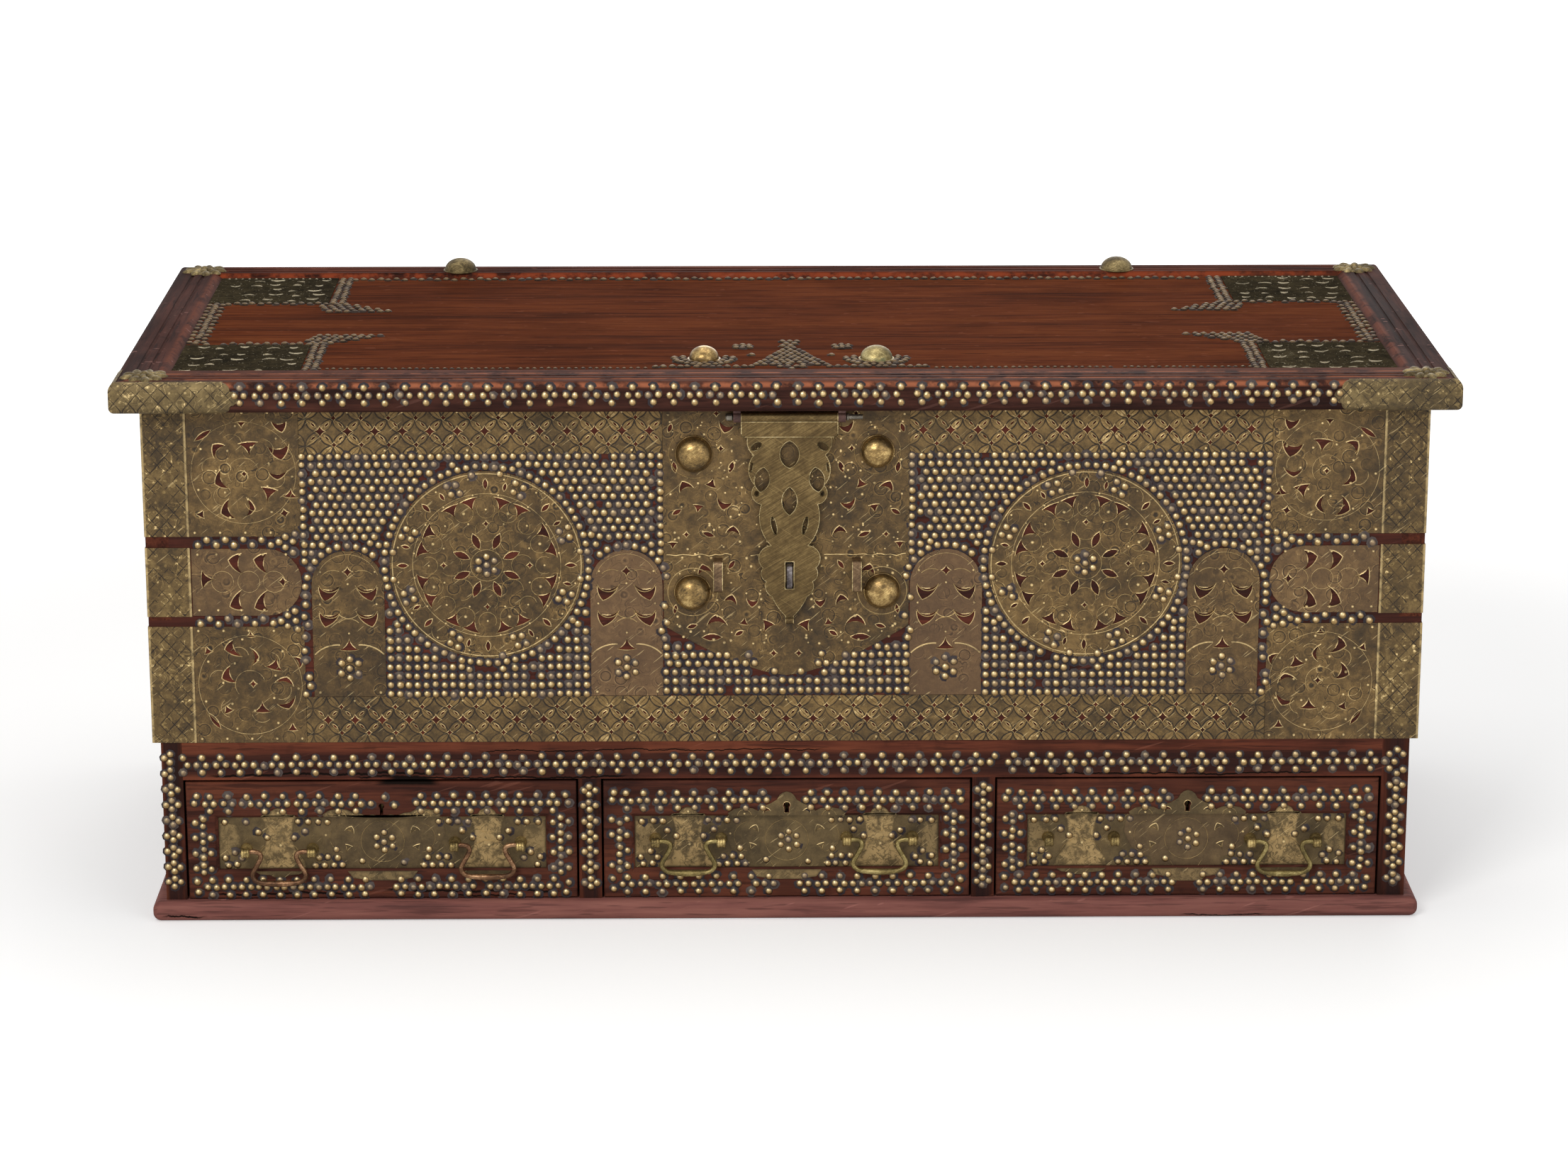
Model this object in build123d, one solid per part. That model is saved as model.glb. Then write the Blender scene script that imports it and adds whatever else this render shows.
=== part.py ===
from build123d import *
import os

# Brass-mounted dowry chest: a hardwood box over a case of three drawers, with a framed lid.
# Millimetres. X runs along the front, -Y is the front, +Z is up, and the origin is on the
# floor under the middle of the lid.

# ------------------------------------------------------------------ driving sizes: overall
lid_length = 1270.0  # over the brass straps at the ends
lid_depth = 560.0  # from the straps at the front to the wood at the back
chest_height = 540.0  # floor to the top of the lid's rails
sheet = 0.8  # thickness of the brass sheet
fit_gap = 0.1  # round a tenon, shank or tongue in its own mortise
pivot_gap = 0.08  # radial play of every pin in its knuckle or eye

# ------------------------------------------------------------------ lid
lid_edge_height = 29.0
lid_front_rail = 62.0  # rail widths seen from above
lid_back_rail = 46.0
lid_end_rail = 50.0
lid_panel_drop = 5.0  # the panel lies this much below the rails
lid_panel_thick = 17.0
lid_front_overhang = 28.0
lid_back_overhang = 18.0
lid_front_gap = 2.0  # between the lip and the walls of the box
lid_back_gap = 4.0
lid_end_gap = 2.0
lid_nose_top = 8.0  # rounding of the upper outer edge
lid_nose_foot = 6.0
lid_rail_bevel = 6.0  # width of the slope down to the panel
lid_quirk = 1.8  # radius of the grooves run along the rails
lid_quirk_near = 20.0  # their distances from the outer edge
lid_quirk_far = 31.0
tongue_reach = 8.0
tongue_thick = 6.0

# ------------------------------------------------------------------ box
body_end_set = 26.0  # walls stand in from the lid's ends by this much
wall = 22.0
dovetail_count = 6
dovetail_root = 30.0
dovetail_flare = 3.5  # how far each flank spreads over the wall's thickness

# ------------------------------------------------------------------ drawer case
base_end_reach = 6.0  # past the walls at each end
base_thick = 20.0
base_nosing = 10.0
base_round = 8.0
base_corner = 6.0
case_end_set = 7.0  # in from the walls at each end
case_height = 160.0
case_left = 20.0  # thickness of the end boards, seen as stiles at the front
case_right = 26.0
case_back_thick = 20.0
divider = 22.0
bay_left_more = 9.7  # the left bay is wider, and the middle one narrower, than a third of the case
bay_middle_less = 12.3
rail_height = 38.0
rail_tenon = 8.0
rail_tenon_thick = 10.0
rail_shoulder = 6.0
floor_thick = 18.0

# ------------------------------------------------------------------ drawers
drawer_side_gap = 2.0
drawer_foot_gap = 0.8
drawer_top_gap = 2.5
drawer_back_gap = 24.0
drawer_front = 24.0
drawer_wall = 12.0
drawer_wall_drop = 8.0  # the sides stop below the top of the front
drawer_bottom = 8.0
drawer_bottom_lift = 5.0
drawer_groove = 4.0
drawer_edge_round = 2.0
panel_sink = 6.0
panel_bevel = 3.0
panel_side_inset = 30.0
panel_top_inset = 36.5
panel_foot_inset = 29.0

# ------------------------------------------------------------------ drawer locks
lock_length = 60.0
lock_thick = 10.0
lock_face = 2.2
bolt_length = 16.0
bolt_thick = 5.0
bolt_height = 38.0
bolt_sink = 0.3  # the bolt's end lies just under the drawer's top edge
bolt_travel = 7.5
bolt_play = 0.3
strike_play = 2.0
key_drop = 25.0  # keyhole below the drawer's top edge
key_bow = 2.8
key_slot = 3.2
key_slot_height = 9.0
lock_over_key = 14.4  # lock case above and below the keyhole
lock_under_key = 21.6
scutcheon_foot = 38.0  # half-width of the keyhole plate where it meets the panel
scutcheon_waist = 9.0
scutcheon_head = 13.0  # keyhole to the top of its plate
scutcheon_sweep = 0.8  # fullness of its curves
tab_width = 22.0  # round tabs of the panel's sheet, over and under each handle
tab_height = 10.0
foot_tab_width = 45.0
foot_tab_height = 8.0

# ------------------------------------------------------------------ swan-neck drop handles
handle_posts = 64.0
handle_reach = 14.0  # the handle hangs this far in front of the sunk panel
handle_rod = 1.6
handle_neck = 15.0  # half-width at the pinched neck
handle_bulge = 26.0
handle_bulge_drop = 21.0
handle_foot = 17.0
handle_drop = 30.5
handle_bends = (5.0, 7.0, 6.0)
handle_grip = 2.4
bend_steps = 3  # flats from one straight to the next
post_shank = 3.2
post_head_length = 7.0
post_head_height = 9.0
post_nose = 3.6
post_chamfer = 1.0
post_bury = 12.0
left_drawer_handles = ((-100.0, 49.2), (102.0, 55.2))  # distance from the middle, height over the foot
middle_drawer_handles = ((-95.5, 58.2), (90.0, 59.2))
right_drawer_handles = ((-102.5, 58.2), (94.0, 55.7))  # the left one has lost its bail

# ------------------------------------------------------------------ carrying handles
carry_below_top = 126.0
carry_posts = 112.0
carry_reach = 13.0
carry_rod = 4.0
carry_neck = 30.0
carry_bulge = 47.0
carry_bulge_drop = 38.0
carry_foot = 31.0
carry_drop = 56.0
carry_bends = (10.0, 14.0, 11.0)
carry_grip = 5.4
carry_shank = 5.0
carry_head_length = 12.0
carry_head_height = 14.0
carry_nose = 6.5
carry_chamfer = 1.5
carry_bury = 16.0
carry_rose = 15.0
carry_rose_thick = 1.6

# ------------------------------------------------------------------ hinges of the lid
hinge_left_x = -336.0
hinge_right_x = 354.0
hinge_length = 60.0
hinge_leaf = 2.4
hinge_leaf_drop = 64.0
hinge_leaf_corner = 10.0
hinge_flap = 27.0
hinge_pin = 2.9
hinge_knuckle_wall = 2.1
hinge_pin_head = 4.0
hinge_pin_head_thick = 1.6
hinge_play = 0.4  # off the wall, between knuckles and under the lip
riser_gap = 0.6

# ------------------------------------------------------------------ hasp
hasp_x = 3.0
hasp_plate = 2.4
hasp_roll_length = 91.0
hasp_flap = 19.0  # how far the front flap hangs below the pin
hasp_pin = 2.5
hasp_pin_out = 7.5  # in front of the wall
hasp_pin_drop = 9.0  # below the lip of the lid
hasp_knob = 3.6
hasp_pin_tail = 16.0
hasp_flap_round = 3.2
hasp_reach = 199.5  # from the pin to the curled tip
hasp_curl = 3.0
hasp_curl_length = 7.4
hasp_slot_drop = 155.0  # from the pin to the middle of the slot
hasp_slot_length = 27.0
hasp_slot = 8.5
hasp_cusps = (  # half-width and drop below the pin of the notches between lobes
    (38.0, 16.0), (33.6, 37.0), (32.5, 66.5), (26.6, 85.0), (17.3, 125.7), (25.0, 147.5),
    (21.9, 161.0), (16.6, 175.7), (3.7, 195.0),
)
hasp_lobes = (  # the fullest point of each lobe, from the flap down
    (40.0, 24.5), (38.7, 51.0), (35.5, 76.5), (27.8, 105.0), (29.0, 136.0), (26.8, 154.0),
    (22.8, 167.5), (10.5, 187.0),
)
hasp_leaves = (  # pointed piercings: distance from the middle, drop, width, height, lean
    (0.0, 36.5, 18.7, 27.0, 0.0), (0.0, 82.0, 14.8, 28.0, 0.0),
    (26.0, 61.0, 14.8, 24.8, 8.0), (-26.0, 61.0, 14.8, 24.8, -8.0),
)
hasp_eyelets = (  # oval piercings of the right half: distance, drop, width, height, lean
    (31.5, 28.5, 11.0, 7.2, -35.0), (36.4, 49.0, 3.4, 9.2, 8.0), (31.0, 74.5, 4.2, 5.6, 0.0),
    (14.8, 106.0, 17.6, 5.2, 78.0),
)
hasp_eye_length = 7.0
hasp_eye = 5.2
hasp_eye_shank = 6.0
hasp_eye_bury = 12.0
hasp_eye_gap = 0.5

# ------------------------------------------------------------------ staples and bosses
staple_tall = 24.0
staple_width = 5.0
staple_reach = 18.0
staple_bar = 3.5
staple_bury = 12.0
staple_bow = 3.0  # the bow's corner radius is the reach over this
loop_tall = 31.6
loop_width = 8.5
loop_reach = 15.0
loop_bar = 2.6
loop_left_x = -65.0
loop_right_x = 67.0
boss_height = 14.0
boss_flange = 1.6
boss_lip = 1.5
boss_nail = 2.0
boss_nail_length = 15.0
front_boss_places = (  # x, drop below the hasp's pin, radius
    (-87.4, 37.0, 18.4), (86.3, 35.0, 16.5), (-89.4, 173.0, 18.0), (91.5, 172.0, 18.0),
)
lid_boss_height = 13.0
lid_boss_front_set = 123.2  # from the front and back edges of the lid
lid_boss_back_set = 27.0
lid_boss_left = (-78.0, 16.0)  # x and radius
lid_boss_right = (88.0, 17.2)
hinge_boss = 18.0

# ------------------------------------------------------------------ sheet brass of the front
band_length = 42.0
band_return = 15.0
band_low_gap = (116.0, 126.0)  # bare wood between the bands, above the drawer case
band_high_gap = (194.0, 205.0)
brass_top_gap = 1.0  # under the lip of the lid
field_inner = 117.0  # tacked blocks, measured from the middle
field_outer = 460.0
foot_strip = 46.0
head_strip = 46.0
seam = 1.0  # between neighbouring sheets
medallion = 92.0
medallion_lift = 11.0  # above the middle of the field
medallion_petals = 8
medallion_petal_width = 13.0
medallion_petal_length = 34.0
medallion_petal_ring = 50.0
arch_width = 69.0
arch_rise = 145.0
arch_outer_x = 418.0
arch_inner_x = 152.5
arch_leaf_width = 12.0  # pierced leaves in the head of each arch
arch_leaf_length = 30.0
arch_leaf_lean = 35.0
arch_leaf_side = 15.0
arch_leaf_drop = 40.0
centre_shoulder = 70.0  # foot of the plate behind the hasp, over the bottom strip
centre_point = 20.0
centre_bulge = 8.0

# ------------------------------------------------------------------ sheet brass of the lid
lid_plate_length = 122.0
lid_plate_depth = 126.0
palmette = 9.0
palmette_spread = 15.0
palmette_setback = 30.0
strap_length = 121.0
strap_return = 60.0
strap_lobe = 7.0

# ------------------------------------------------------------------ levels and faces that follow
body_length = lid_length - 2 * body_end_set
base_length = body_length + 2 * base_end_reach
case_length = body_length - 2 * case_end_set
lid_front_y = -lid_depth / 2 + sheet
lid_back_y = lid_depth / 2
lid_end_x = lid_length / 2 - sheet
lid_lip_z = chest_height - lid_edge_height
panel_top_z = chest_height - lid_panel_drop
wall_top_z = panel_top_z - lid_panel_thick
front_y = -lid_depth / 2 + lid_front_overhang
back_y = lid_depth / 2 - lid_back_overhang
front_lip = front_y - lid_front_gap - lid_front_y
back_lip = lid_back_y - back_y - lid_back_gap
end_lip = lid_end_x - body_length / 2 - lid_end_gap
case_top_z = base_thick + case_height
rail_foot_z = case_top_z - rail_height
floor_foot_z = case_top_z - floor_thick
rail_back_y = front_y + wall
case_inner_left = -case_length / 2 + case_left
case_inner_right = case_length / 2 - case_right
case_back_y = back_y - case_back_thick
bay_third = (case_inner_right - case_inner_left - 2 * divider) / 3
divider_left_x = case_inner_left + bay_third + bay_left_more
divider_right_x = divider_left_x + divider + bay_third - bay_middle_less
bays = (
    (case_inner_left, divider_left_x),
    (divider_left_x + divider, divider_right_x),
    (divider_right_x + divider, case_inner_right),
)
drawer_foot_z = base_thick + drawer_foot_gap
drawer_top_z = rail_foot_z - drawer_top_gap
drawer_front_back_y = front_y + drawer_front
drawer_end_y = case_back_y - drawer_back_gap
panel_y = front_y + panel_sink
key_z = drawer_top_z - key_drop
carry_height = wall_top_z - carry_below_top
handle_sets = (left_drawer_handles, middle_drawer_handles, right_drawer_handles)
lost_bail = "drawer_3_bail_left"
hinge_knuckle = hinge_pin + hinge_knuckle_wall
hinge_axis_y = back_y + hinge_knuckle + hinge_play
hinge_axis_z = lid_lip_z - hinge_knuckle - hinge_play
hasp_pin_y = front_y - hasp_pin_out
hasp_pin_z = lid_lip_z - hasp_pin_drop
staple_height = hasp_pin_z - hasp_slot_drop
brass_face_y = front_y - sheet
brass_top_z = lid_lip_z - brass_top_gap
band_inner_x = body_length / 2 - band_length
field_foot = case_top_z + foot_strip
field_head = brass_top_z - head_strip
medallion_x = (arch_inner_x + arch_outer_x) / 2
medallion_z = (field_foot + field_head) / 2 + medallion_lift


# ------------------------------------------------------------------ helpers
def block(x, y, z):
    """A squared board between the low and high values of x, y and z."""
    size = [high - low for low, high in (x, y, z)]
    middle = [(low + high) / 2 for low, high in (x, y, z)]
    return Pos(*middle) * Box(*size)


def grown(span, by):
    """The span (low, high) let out by the same amount at both ends."""
    return span[0] - by, span[1] + by


def rod_along(axis, centre, radius, length):
    """A round bar centred on a point and lying along X, Y or Z."""
    turn = {"x": Rot(0, 90, 0), "y": Rot(90, 0, 0), "z": Rot(0, 0, 0)}[axis]
    return Pos(*centre) * turn * Cylinder(radius, length)


def upright(sketch, face_y, thick):
    """A plate in the plane of the front: sketch x and y become X and Z; it thickens towards +Y."""
    plane = Plane(origin=(0, face_y, 0), x_dir=(1, 0, 0), z_dir=(0, -1, 0))
    return extrude(plane * sketch, amount=-thick)


def box_sketch(x, z):
    """A rectangle of the front, between low and high values."""
    return Pos((x[0] + x[1]) / 2, (z[0] + z[1]) / 2) * Rectangle(x[1] - x[0], z[1] - z[0])


def mirrored(shape):
    """The same shape on the other side of the chest's middle."""
    return mirror(shape, about=Plane.YZ)


# ------------------------------------------------------------------ lid
def rail_profile(width, lip):
    """Section of a lid rail: x is the distance in from the outer edge, y is the height."""
    inner = [(width - lid_rail_bevel, chest_height), (width, panel_top_z), (width, wall_top_z)]
    outline = [(0, lid_lip_z), (0, chest_height), *inner, (lip, wall_top_z), (lip, lid_lip_z)]
    section = make_face(Polyline(*outline, close=True))
    outer = section.vertices().group_by(Axis.X)[0].sort_by(Axis.Y)
    section = fillet(outer[1], lid_nose_top)
    outer = section.vertices().group_by(Axis.X)[0].sort_by(Axis.Y)
    section = fillet(outer[0], lid_nose_foot)
    for offset in (lid_quirk_near, lid_quirk_far):
        section -= Pos(offset, chest_height) * Circle(lid_quirk)
    return section


def tongue_band(play):
    """Low and high edge of the panel's tongue, let out by the play."""
    middle = (panel_top_z + wall_top_z) / 2
    return grown((middle - tongue_thick / 2, middle + tongue_thick / 2), play)


def lid_corners():
    """Outer and inner corners of the lid's frame, clockwise from the front left."""
    outer_x, inner_x = lid_end_x, lid_end_x - lid_end_rail
    front, back = lid_front_y, lid_back_y
    inner_front, inner_back = lid_front_y + lid_front_rail, lid_back_y - lid_back_rail
    outer = [(-outer_x, front), (-outer_x, back), (outer_x, back), (outer_x, front)]
    inner = [(-inner_x, inner_front), (-inner_x, inner_back), (inner_x, inner_back), (inner_x, inner_front)]
    return outer, inner


def rail_plane(side):
    """Where a rail's section stands, so that its x runs inward from the outer edge."""
    origin, inward, along = {
        "front": ((-lid_end_x, lid_front_y, 0), (0, 1, 0), (1, 0, 0)),
        "left": ((-lid_end_x, lid_back_y, 0), (1, 0, 0), (0, -1, 0)),
        "back": ((lid_end_x, lid_back_y, 0), (0, -1, 0), (-1, 0, 0)),
        "right": ((lid_end_x, lid_front_y, 0), (-1, 0, 0), (0, 1, 0)),
    }[side]
    return Plane(origin=origin, x_dir=inward, z_dir=along)


def mitred_rail(side):
    """One rail of the lid's frame, run to its section, mitred, and grooved for the panel."""
    width, lip = {
        "front": (lid_front_rail, front_lip),
        "back": (lid_back_rail, back_lip),
        "left": (lid_end_rail, end_lip),
        "right": (lid_end_rail, end_lip),
    }[side]
    length = 2 * lid_end_x if side in ("front", "back") else lid_back_y - lid_front_y
    bar = extrude(rail_plane(side) * rail_profile(width, lip), amount=length)
    outer, inner = lid_corners()
    first = {"left": 0, "back": 1, "right": 2, "front": 3}[side]
    then = (first + 1) % 4
    plan = make_face(Polyline(outer[first], outer[then], inner[then], inner[first], close=True))
    bar &= extrude(plan, amount=chest_height)
    return bar - panel_board(tongue_reach + fit_gap, fit_gap)


def panel_board(reach, play):
    """The lid's panel with a tongue that stands out all round by reach."""
    _, inner = lid_corners()
    x, y = (inner[0][0], inner[2][0]), (inner[0][1], inner[1][1])
    board = block(x, y, (wall_top_z, panel_top_z))
    return board + block(grown(x, reach), grown(y, reach), tongue_band(play))


def lid_front_rail_part():
    """Front rail, with mortises for the two eyes that carry the hasp."""
    return mitred_rail("front") - hasp_eye_shanks(fit_gap)


def lid_back_rail_part():
    """Back rail, let in on its underside for the hinge flaps."""
    rail = mitred_rail("back")
    for x in (hinge_left_x, hinge_right_x):
        rail -= hinge_flap_block(x, fit_gap)
    return rail - lid_boss_nails(fit_gap)


def lid_panel_part():
    """Panel with its tongue, drilled for the nails of the front bosses."""
    return panel_board(tongue_reach, 0) - lid_boss_nails(fit_gap)


def boss(radius, height):
    """A domed boss on its round flange, rising along +Z from the origin, with its nail below."""
    dome_foot = radius - boss_lip
    rise = height - boss_flange
    cap = (dome_foot**2 + rise**2) / (2 * rise)
    dome = Pos(0, 0, height - cap) * Sphere(cap)
    dome &= Pos(0, 0, boss_flange) * extrude(Circle(dome_foot), amount=rise)
    rim = extrude(Circle(radius), amount=boss_flange)
    rim = chamfer(rim.edges().sort_by(Axis.Z)[-1], boss_flange / 2)
    nail = extrude(Circle(boss_nail), amount=-boss_nail_length)
    return rim + dome + nail


def lid_boss_list():
    """x, y, seat height and radius of the four bosses on the lid."""
    front_row, back_row = lid_front_y + lid_boss_front_set, lid_back_y - lid_boss_back_set
    front = [(x, front_row, panel_top_z, radius) for x, radius in (lid_boss_left, lid_boss_right)]
    back = [(x, back_row, chest_height, hinge_boss) for x in (hinge_left_x, hinge_right_x)]
    return front + back


def lid_boss_nails(play):
    """The nails of the lid's bosses, thickened by the play."""
    bars = []
    for x, y, seat, _ in lid_boss_list():
        reach = boss_nail_length + play
        bars.append(Pos(x, y, seat) * extrude(Circle(boss_nail + play), amount=-reach))
    return bars


def lid_bosses():
    """Two bosses near the front edge and one over each hinge."""
    return [Pos(x, y, seat) * boss(radius, lid_boss_height) for x, y, seat, radius in lid_boss_list()]


def lid_corner_plates():
    """Sheets in the corners of the panel, and a palmette on each mitre of the frame."""
    outer, inner = lid_corners()
    plates = []
    for (ox, oy), (ix, iy) in zip(outer, inner):
        right = 1 if ix > 0 else -1
        behind = 1 if iy > 0 else -1
        x = sorted((ix, ix - right * lid_plate_length))
        y = sorted((iy, iy - behind * lid_plate_depth))
        plates.append(block(x, y, (panel_top_z, panel_top_z + sheet)))
        centre = Pos(ox - right * palmette_setback, oy - behind * palmette_setback, chest_height)
        fan = Circle(palmette)
        for angle in range(0, 360, 60):
            fan += Rot(0, 0, angle) * Pos(palmette_spread, 0) * Circle(palmette)
        plates.append(centre * extrude(fan, amount=sheet))
    return plates


def strap_profile():
    """Section of the strap: a sheet wrapped round the nose of the rail."""
    section = rail_profile(lid_front_rail, front_lip)
    wrapped = offset(section, amount=sheet) - section
    reach = min(lid_nose_top, lid_nose_foot)
    height = (lid_lip_z - 2 * sheet, chest_height + 2 * sheet)
    return wrapped & box_sketch((-2 * sheet, reach), height)


def strap_mask():
    """Front outline of a left-hand strap: straight, then a trefoil at its inner end."""
    start = -lid_length / 2
    neck = start + strap_length - 2 * strap_lobe
    middle = (lid_lip_z + chest_height) / 2
    mask = box_sketch((start, neck), (lid_lip_z - 2 * sheet, chest_height + 2 * sheet))
    for along, up in ((0, 1), (0, -1), (1, 0)):
        mask += Pos(neck + along * strap_lobe, middle + up * strap_lobe) * Circle(strap_lobe)
    return mask


def lid_edge_straps():
    """Straps wrapped round the two front corners of the lid, each returning along its end."""
    outer, inner = lid_corners()
    run = 2 * lid_end_x
    front = extrude(rail_plane("front") * strap_profile(), amount=run / 2, both=True)
    front &= upright(strap_mask(), -lid_depth / 2, lid_nose_top)
    side = extrude(rail_plane("left") * strap_profile(), amount=2 * run)
    return_y = (-lid_depth / 2, -lid_depth / 2 + strap_return)
    side &= block((-lid_length / 2, 0), return_y, (0, 2 * chest_height))
    (ox, oy), (ix, iy) = outer[0], inner[0]
    slope = (iy - oy) / (ix - ox)
    far_y = oy - lid_depth
    mitre = [(ox - sheet, oy - sheet * slope), (0, oy - ox * slope), (0, far_y), (ox - sheet, far_y)]
    wedge = make_face(Polyline(*mitre, close=True))
    corner = extrude(wedge, amount=2 * chest_height)
    strap = (front & corner) + (side - corner)
    return [strap, mirrored(strap)]


# ------------------------------------------------------------------ box
def dovetails(face_y, outward):
    """Tails of a side wall that pass through the front or back wall at its right-hand end."""
    pitch = (wall_top_z - case_top_z) / dovetail_count
    tails = []
    for i in range(dovetail_count):
        middle = case_top_z + (i + 0.5) * pitch
        root, tip = dovetail_root / 2, dovetail_root / 2 + dovetail_flare
        inside = face_y - outward * wall
        below, above = (inside, middle - root), (inside, middle + root)
        flare = Polyline(below, (face_y, middle - tip), (face_y, middle + tip), above, close=True)
        plane = Plane(origin=(body_length / 2 - wall, 0, 0), x_dir=(0, 1, 0), z_dir=(1, 0, 0))
        tails.append(extrude(plane * make_face(flare), amount=wall))
    return tails


def side_panel():
    """Right-hand wall of the box with its dovetails, drilled for the carrying handle."""
    x = (body_length / 2 - wall, body_length / 2)
    board = block(x, (front_y + wall, back_y - wall), (case_top_z, wall_top_z))
    for tail in dovetails(front_y, -1) + dovetails(back_y, 1):
        board += tail
    for y in (-carry_posts / 2, carry_posts / 2):
        depth = carry_bury + fit_gap
        centre = (body_length / 2 - depth / 2, y, carry_height)
        board -= rod_along("x", centre, carry_shank + fit_gap, depth)
    return board


def end_wall(y):
    """Front or back wall of the box between two faces, socketed for the tails of the sides."""
    board = block((-body_length / 2, body_length / 2), y, (case_top_z, wall_top_z))
    tails = dovetails(front_y, -1) if y[0] < 0 else dovetails(back_y, 1)
    for tail in tails:
        board -= tail
        board -= mirrored(tail)
    return board


def front_panel():
    """Front wall, mortised for the staples and drilled for the bosses."""
    board = end_wall((front_y, front_y + wall))
    for leg in all_staple_legs() + front_boss_nails(fit_gap):
        board -= leg
    return board


def back_panel():
    """Back wall of the box."""
    return end_wall((back_y - wall, back_y))


def chest_floor():
    """Floor of the box, lying on the dividers between the end boards of the case."""
    return block((case_inner_left, case_inner_right), (rail_back_y, case_back_y), (floor_foot_z, case_top_z))


# ------------------------------------------------------------------ drawer case
def base_board():
    """Base with a rounded nosing along the front and ends."""
    y = (front_y - base_nosing, back_y)
    board = block((-base_length / 2, base_length / 2), y, (0, base_thick))
    board = fillet(board.edges().filter_by(Axis.Z).group_by(Axis.Y)[0], base_corner)
    rims = board.faces().sort_by(Axis.Z)
    nosing = [e for face in (rims[0], rims[-1]) for e in face.edges() if e.center().Y < back_y - base_round]
    return fillet(nosing, base_round)


def rail_tenon_block(x, play):
    """A tenon of the front rail, between two values of x."""
    y = (front_y + rail_shoulder, front_y + rail_shoulder + rail_tenon_thick)
    z = (rail_foot_z + rail_shoulder, case_top_z - rail_shoulder)
    return block(x, grown(y, play), grown(z, play))


def case_side(x, inner, outward):
    """End board of the case, mortised for the front rail."""
    board = block(x, (front_y, back_y), (base_thick, case_top_z))
    reach = sorted((inner, inner + outward * (rail_tenon + fit_gap)))
    return board - rail_tenon_block(reach, fit_gap)


def case_back():
    """Back board of the drawer case."""
    x = (case_inner_left, case_inner_right)
    return block(x, (case_back_y, back_y), (base_thick, case_top_z))


def drawer_dividers():
    """Boards between the drawers, notched under the front rail."""
    boards = []
    for left, right in zip(bays, bays[1:]):
        x = (left[1], right[0])
        board = block(x, (front_y, case_back_y), (base_thick, floor_foot_z))
        boards.append(board - block(x, (front_y, rail_back_y), (rail_foot_z, floor_foot_z)))
    return boards


def front_rail():
    """Rail over the drawers, tenoned into the case and mortised below for the lock bolts."""
    rail = block((case_inner_left, case_inner_right), (front_y, rail_back_y), (rail_foot_z, case_top_z))
    rail += rail_tenon_block((case_inner_left - rail_tenon, case_inner_left), 0)
    rail += rail_tenon_block((case_inner_right, case_inner_right + rail_tenon), 0)
    for bay in bays:
        x, y = bolt_plan(bay, strike_play)
        depth = (rail_foot_z, rail_foot_z + bolt_travel + strike_play)
        rail -= block(x, (y[0], rail_back_y), depth)
    return rail


# ------------------------------------------------------------------ drawers
def bay_middle_x(bay):
    """Middle of a drawer bay."""
    return (bay[0] + bay[1]) / 2


def panel_span(bay):
    """Low and high x and z of the sunk panel in a drawer's front."""
    x = grown(bay, -drawer_side_gap - panel_side_inset)
    return x, (drawer_foot_z + panel_foot_inset, drawer_top_z - panel_top_inset)


def keyhole(bay, play):
    """Round bow and slot of a keyhole, as a sketch of the front."""
    x = bay_middle_x(bay)
    slot_x = grown((x - key_slot / 2, x + key_slot / 2), play)
    slot = box_sketch(slot_x, (key_z - key_slot_height - play, key_z))
    return slot + Pos(x, key_z) * Circle(key_bow + play)


def drawer_bottom_board(bay, play):
    """The bottom of a drawer, let into grooves all round."""
    reach = drawer_groove + play
    x = grown(bay, -drawer_side_gap - drawer_wall + reach)
    y = (drawer_front_back_y - reach, drawer_end_y - drawer_wall + reach)
    z = (drawer_foot_z + drawer_bottom_lift, drawer_foot_z + drawer_bottom_lift + drawer_bottom)
    return block(x, y, grown(z, play))


def lock_span(bay):
    """Low and high x, y and z of a lock's case, let in flush with the back of the front."""
    x = bay_middle_x(bay)
    y = (drawer_front_back_y - lock_thick, drawer_front_back_y)
    return (x - lock_length / 2, x + lock_length / 2), y, (key_z - lock_under_key, key_z + lock_over_key)


def bolt_plan(bay, play):
    """Low and high x and y of a lock's bolt, let out by the play."""
    x = bay_middle_x(bay)
    low = drawer_front_back_y - lock_thick + lock_face + bolt_play
    return grown((x - bolt_length / 2, x + bolt_length / 2), play), grown((low, low + bolt_thick), play)


def lock_bolt(bay):
    """Bolt of a drawer's lock, drawn down."""
    x, y = bolt_plan(bay, 0)
    top = drawer_top_z - bolt_sink
    return block(x, y, (top - bolt_height, top))


def drawer_lock(bay):
    """Lock case: a thick plate with a keyed face and a channel for the bolt, open at the top."""
    x, y, z = lock_span(bay)
    case = block(x, y, z)
    bolt_x, bolt_y = bolt_plan(bay, bolt_play)
    case -= block(bolt_x, bolt_y, (drawer_top_z - bolt_sink - bolt_height - bolt_play, drawer_top_z))
    return case - upright(keyhole(bay, 0), y[0], lock_face)


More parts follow.
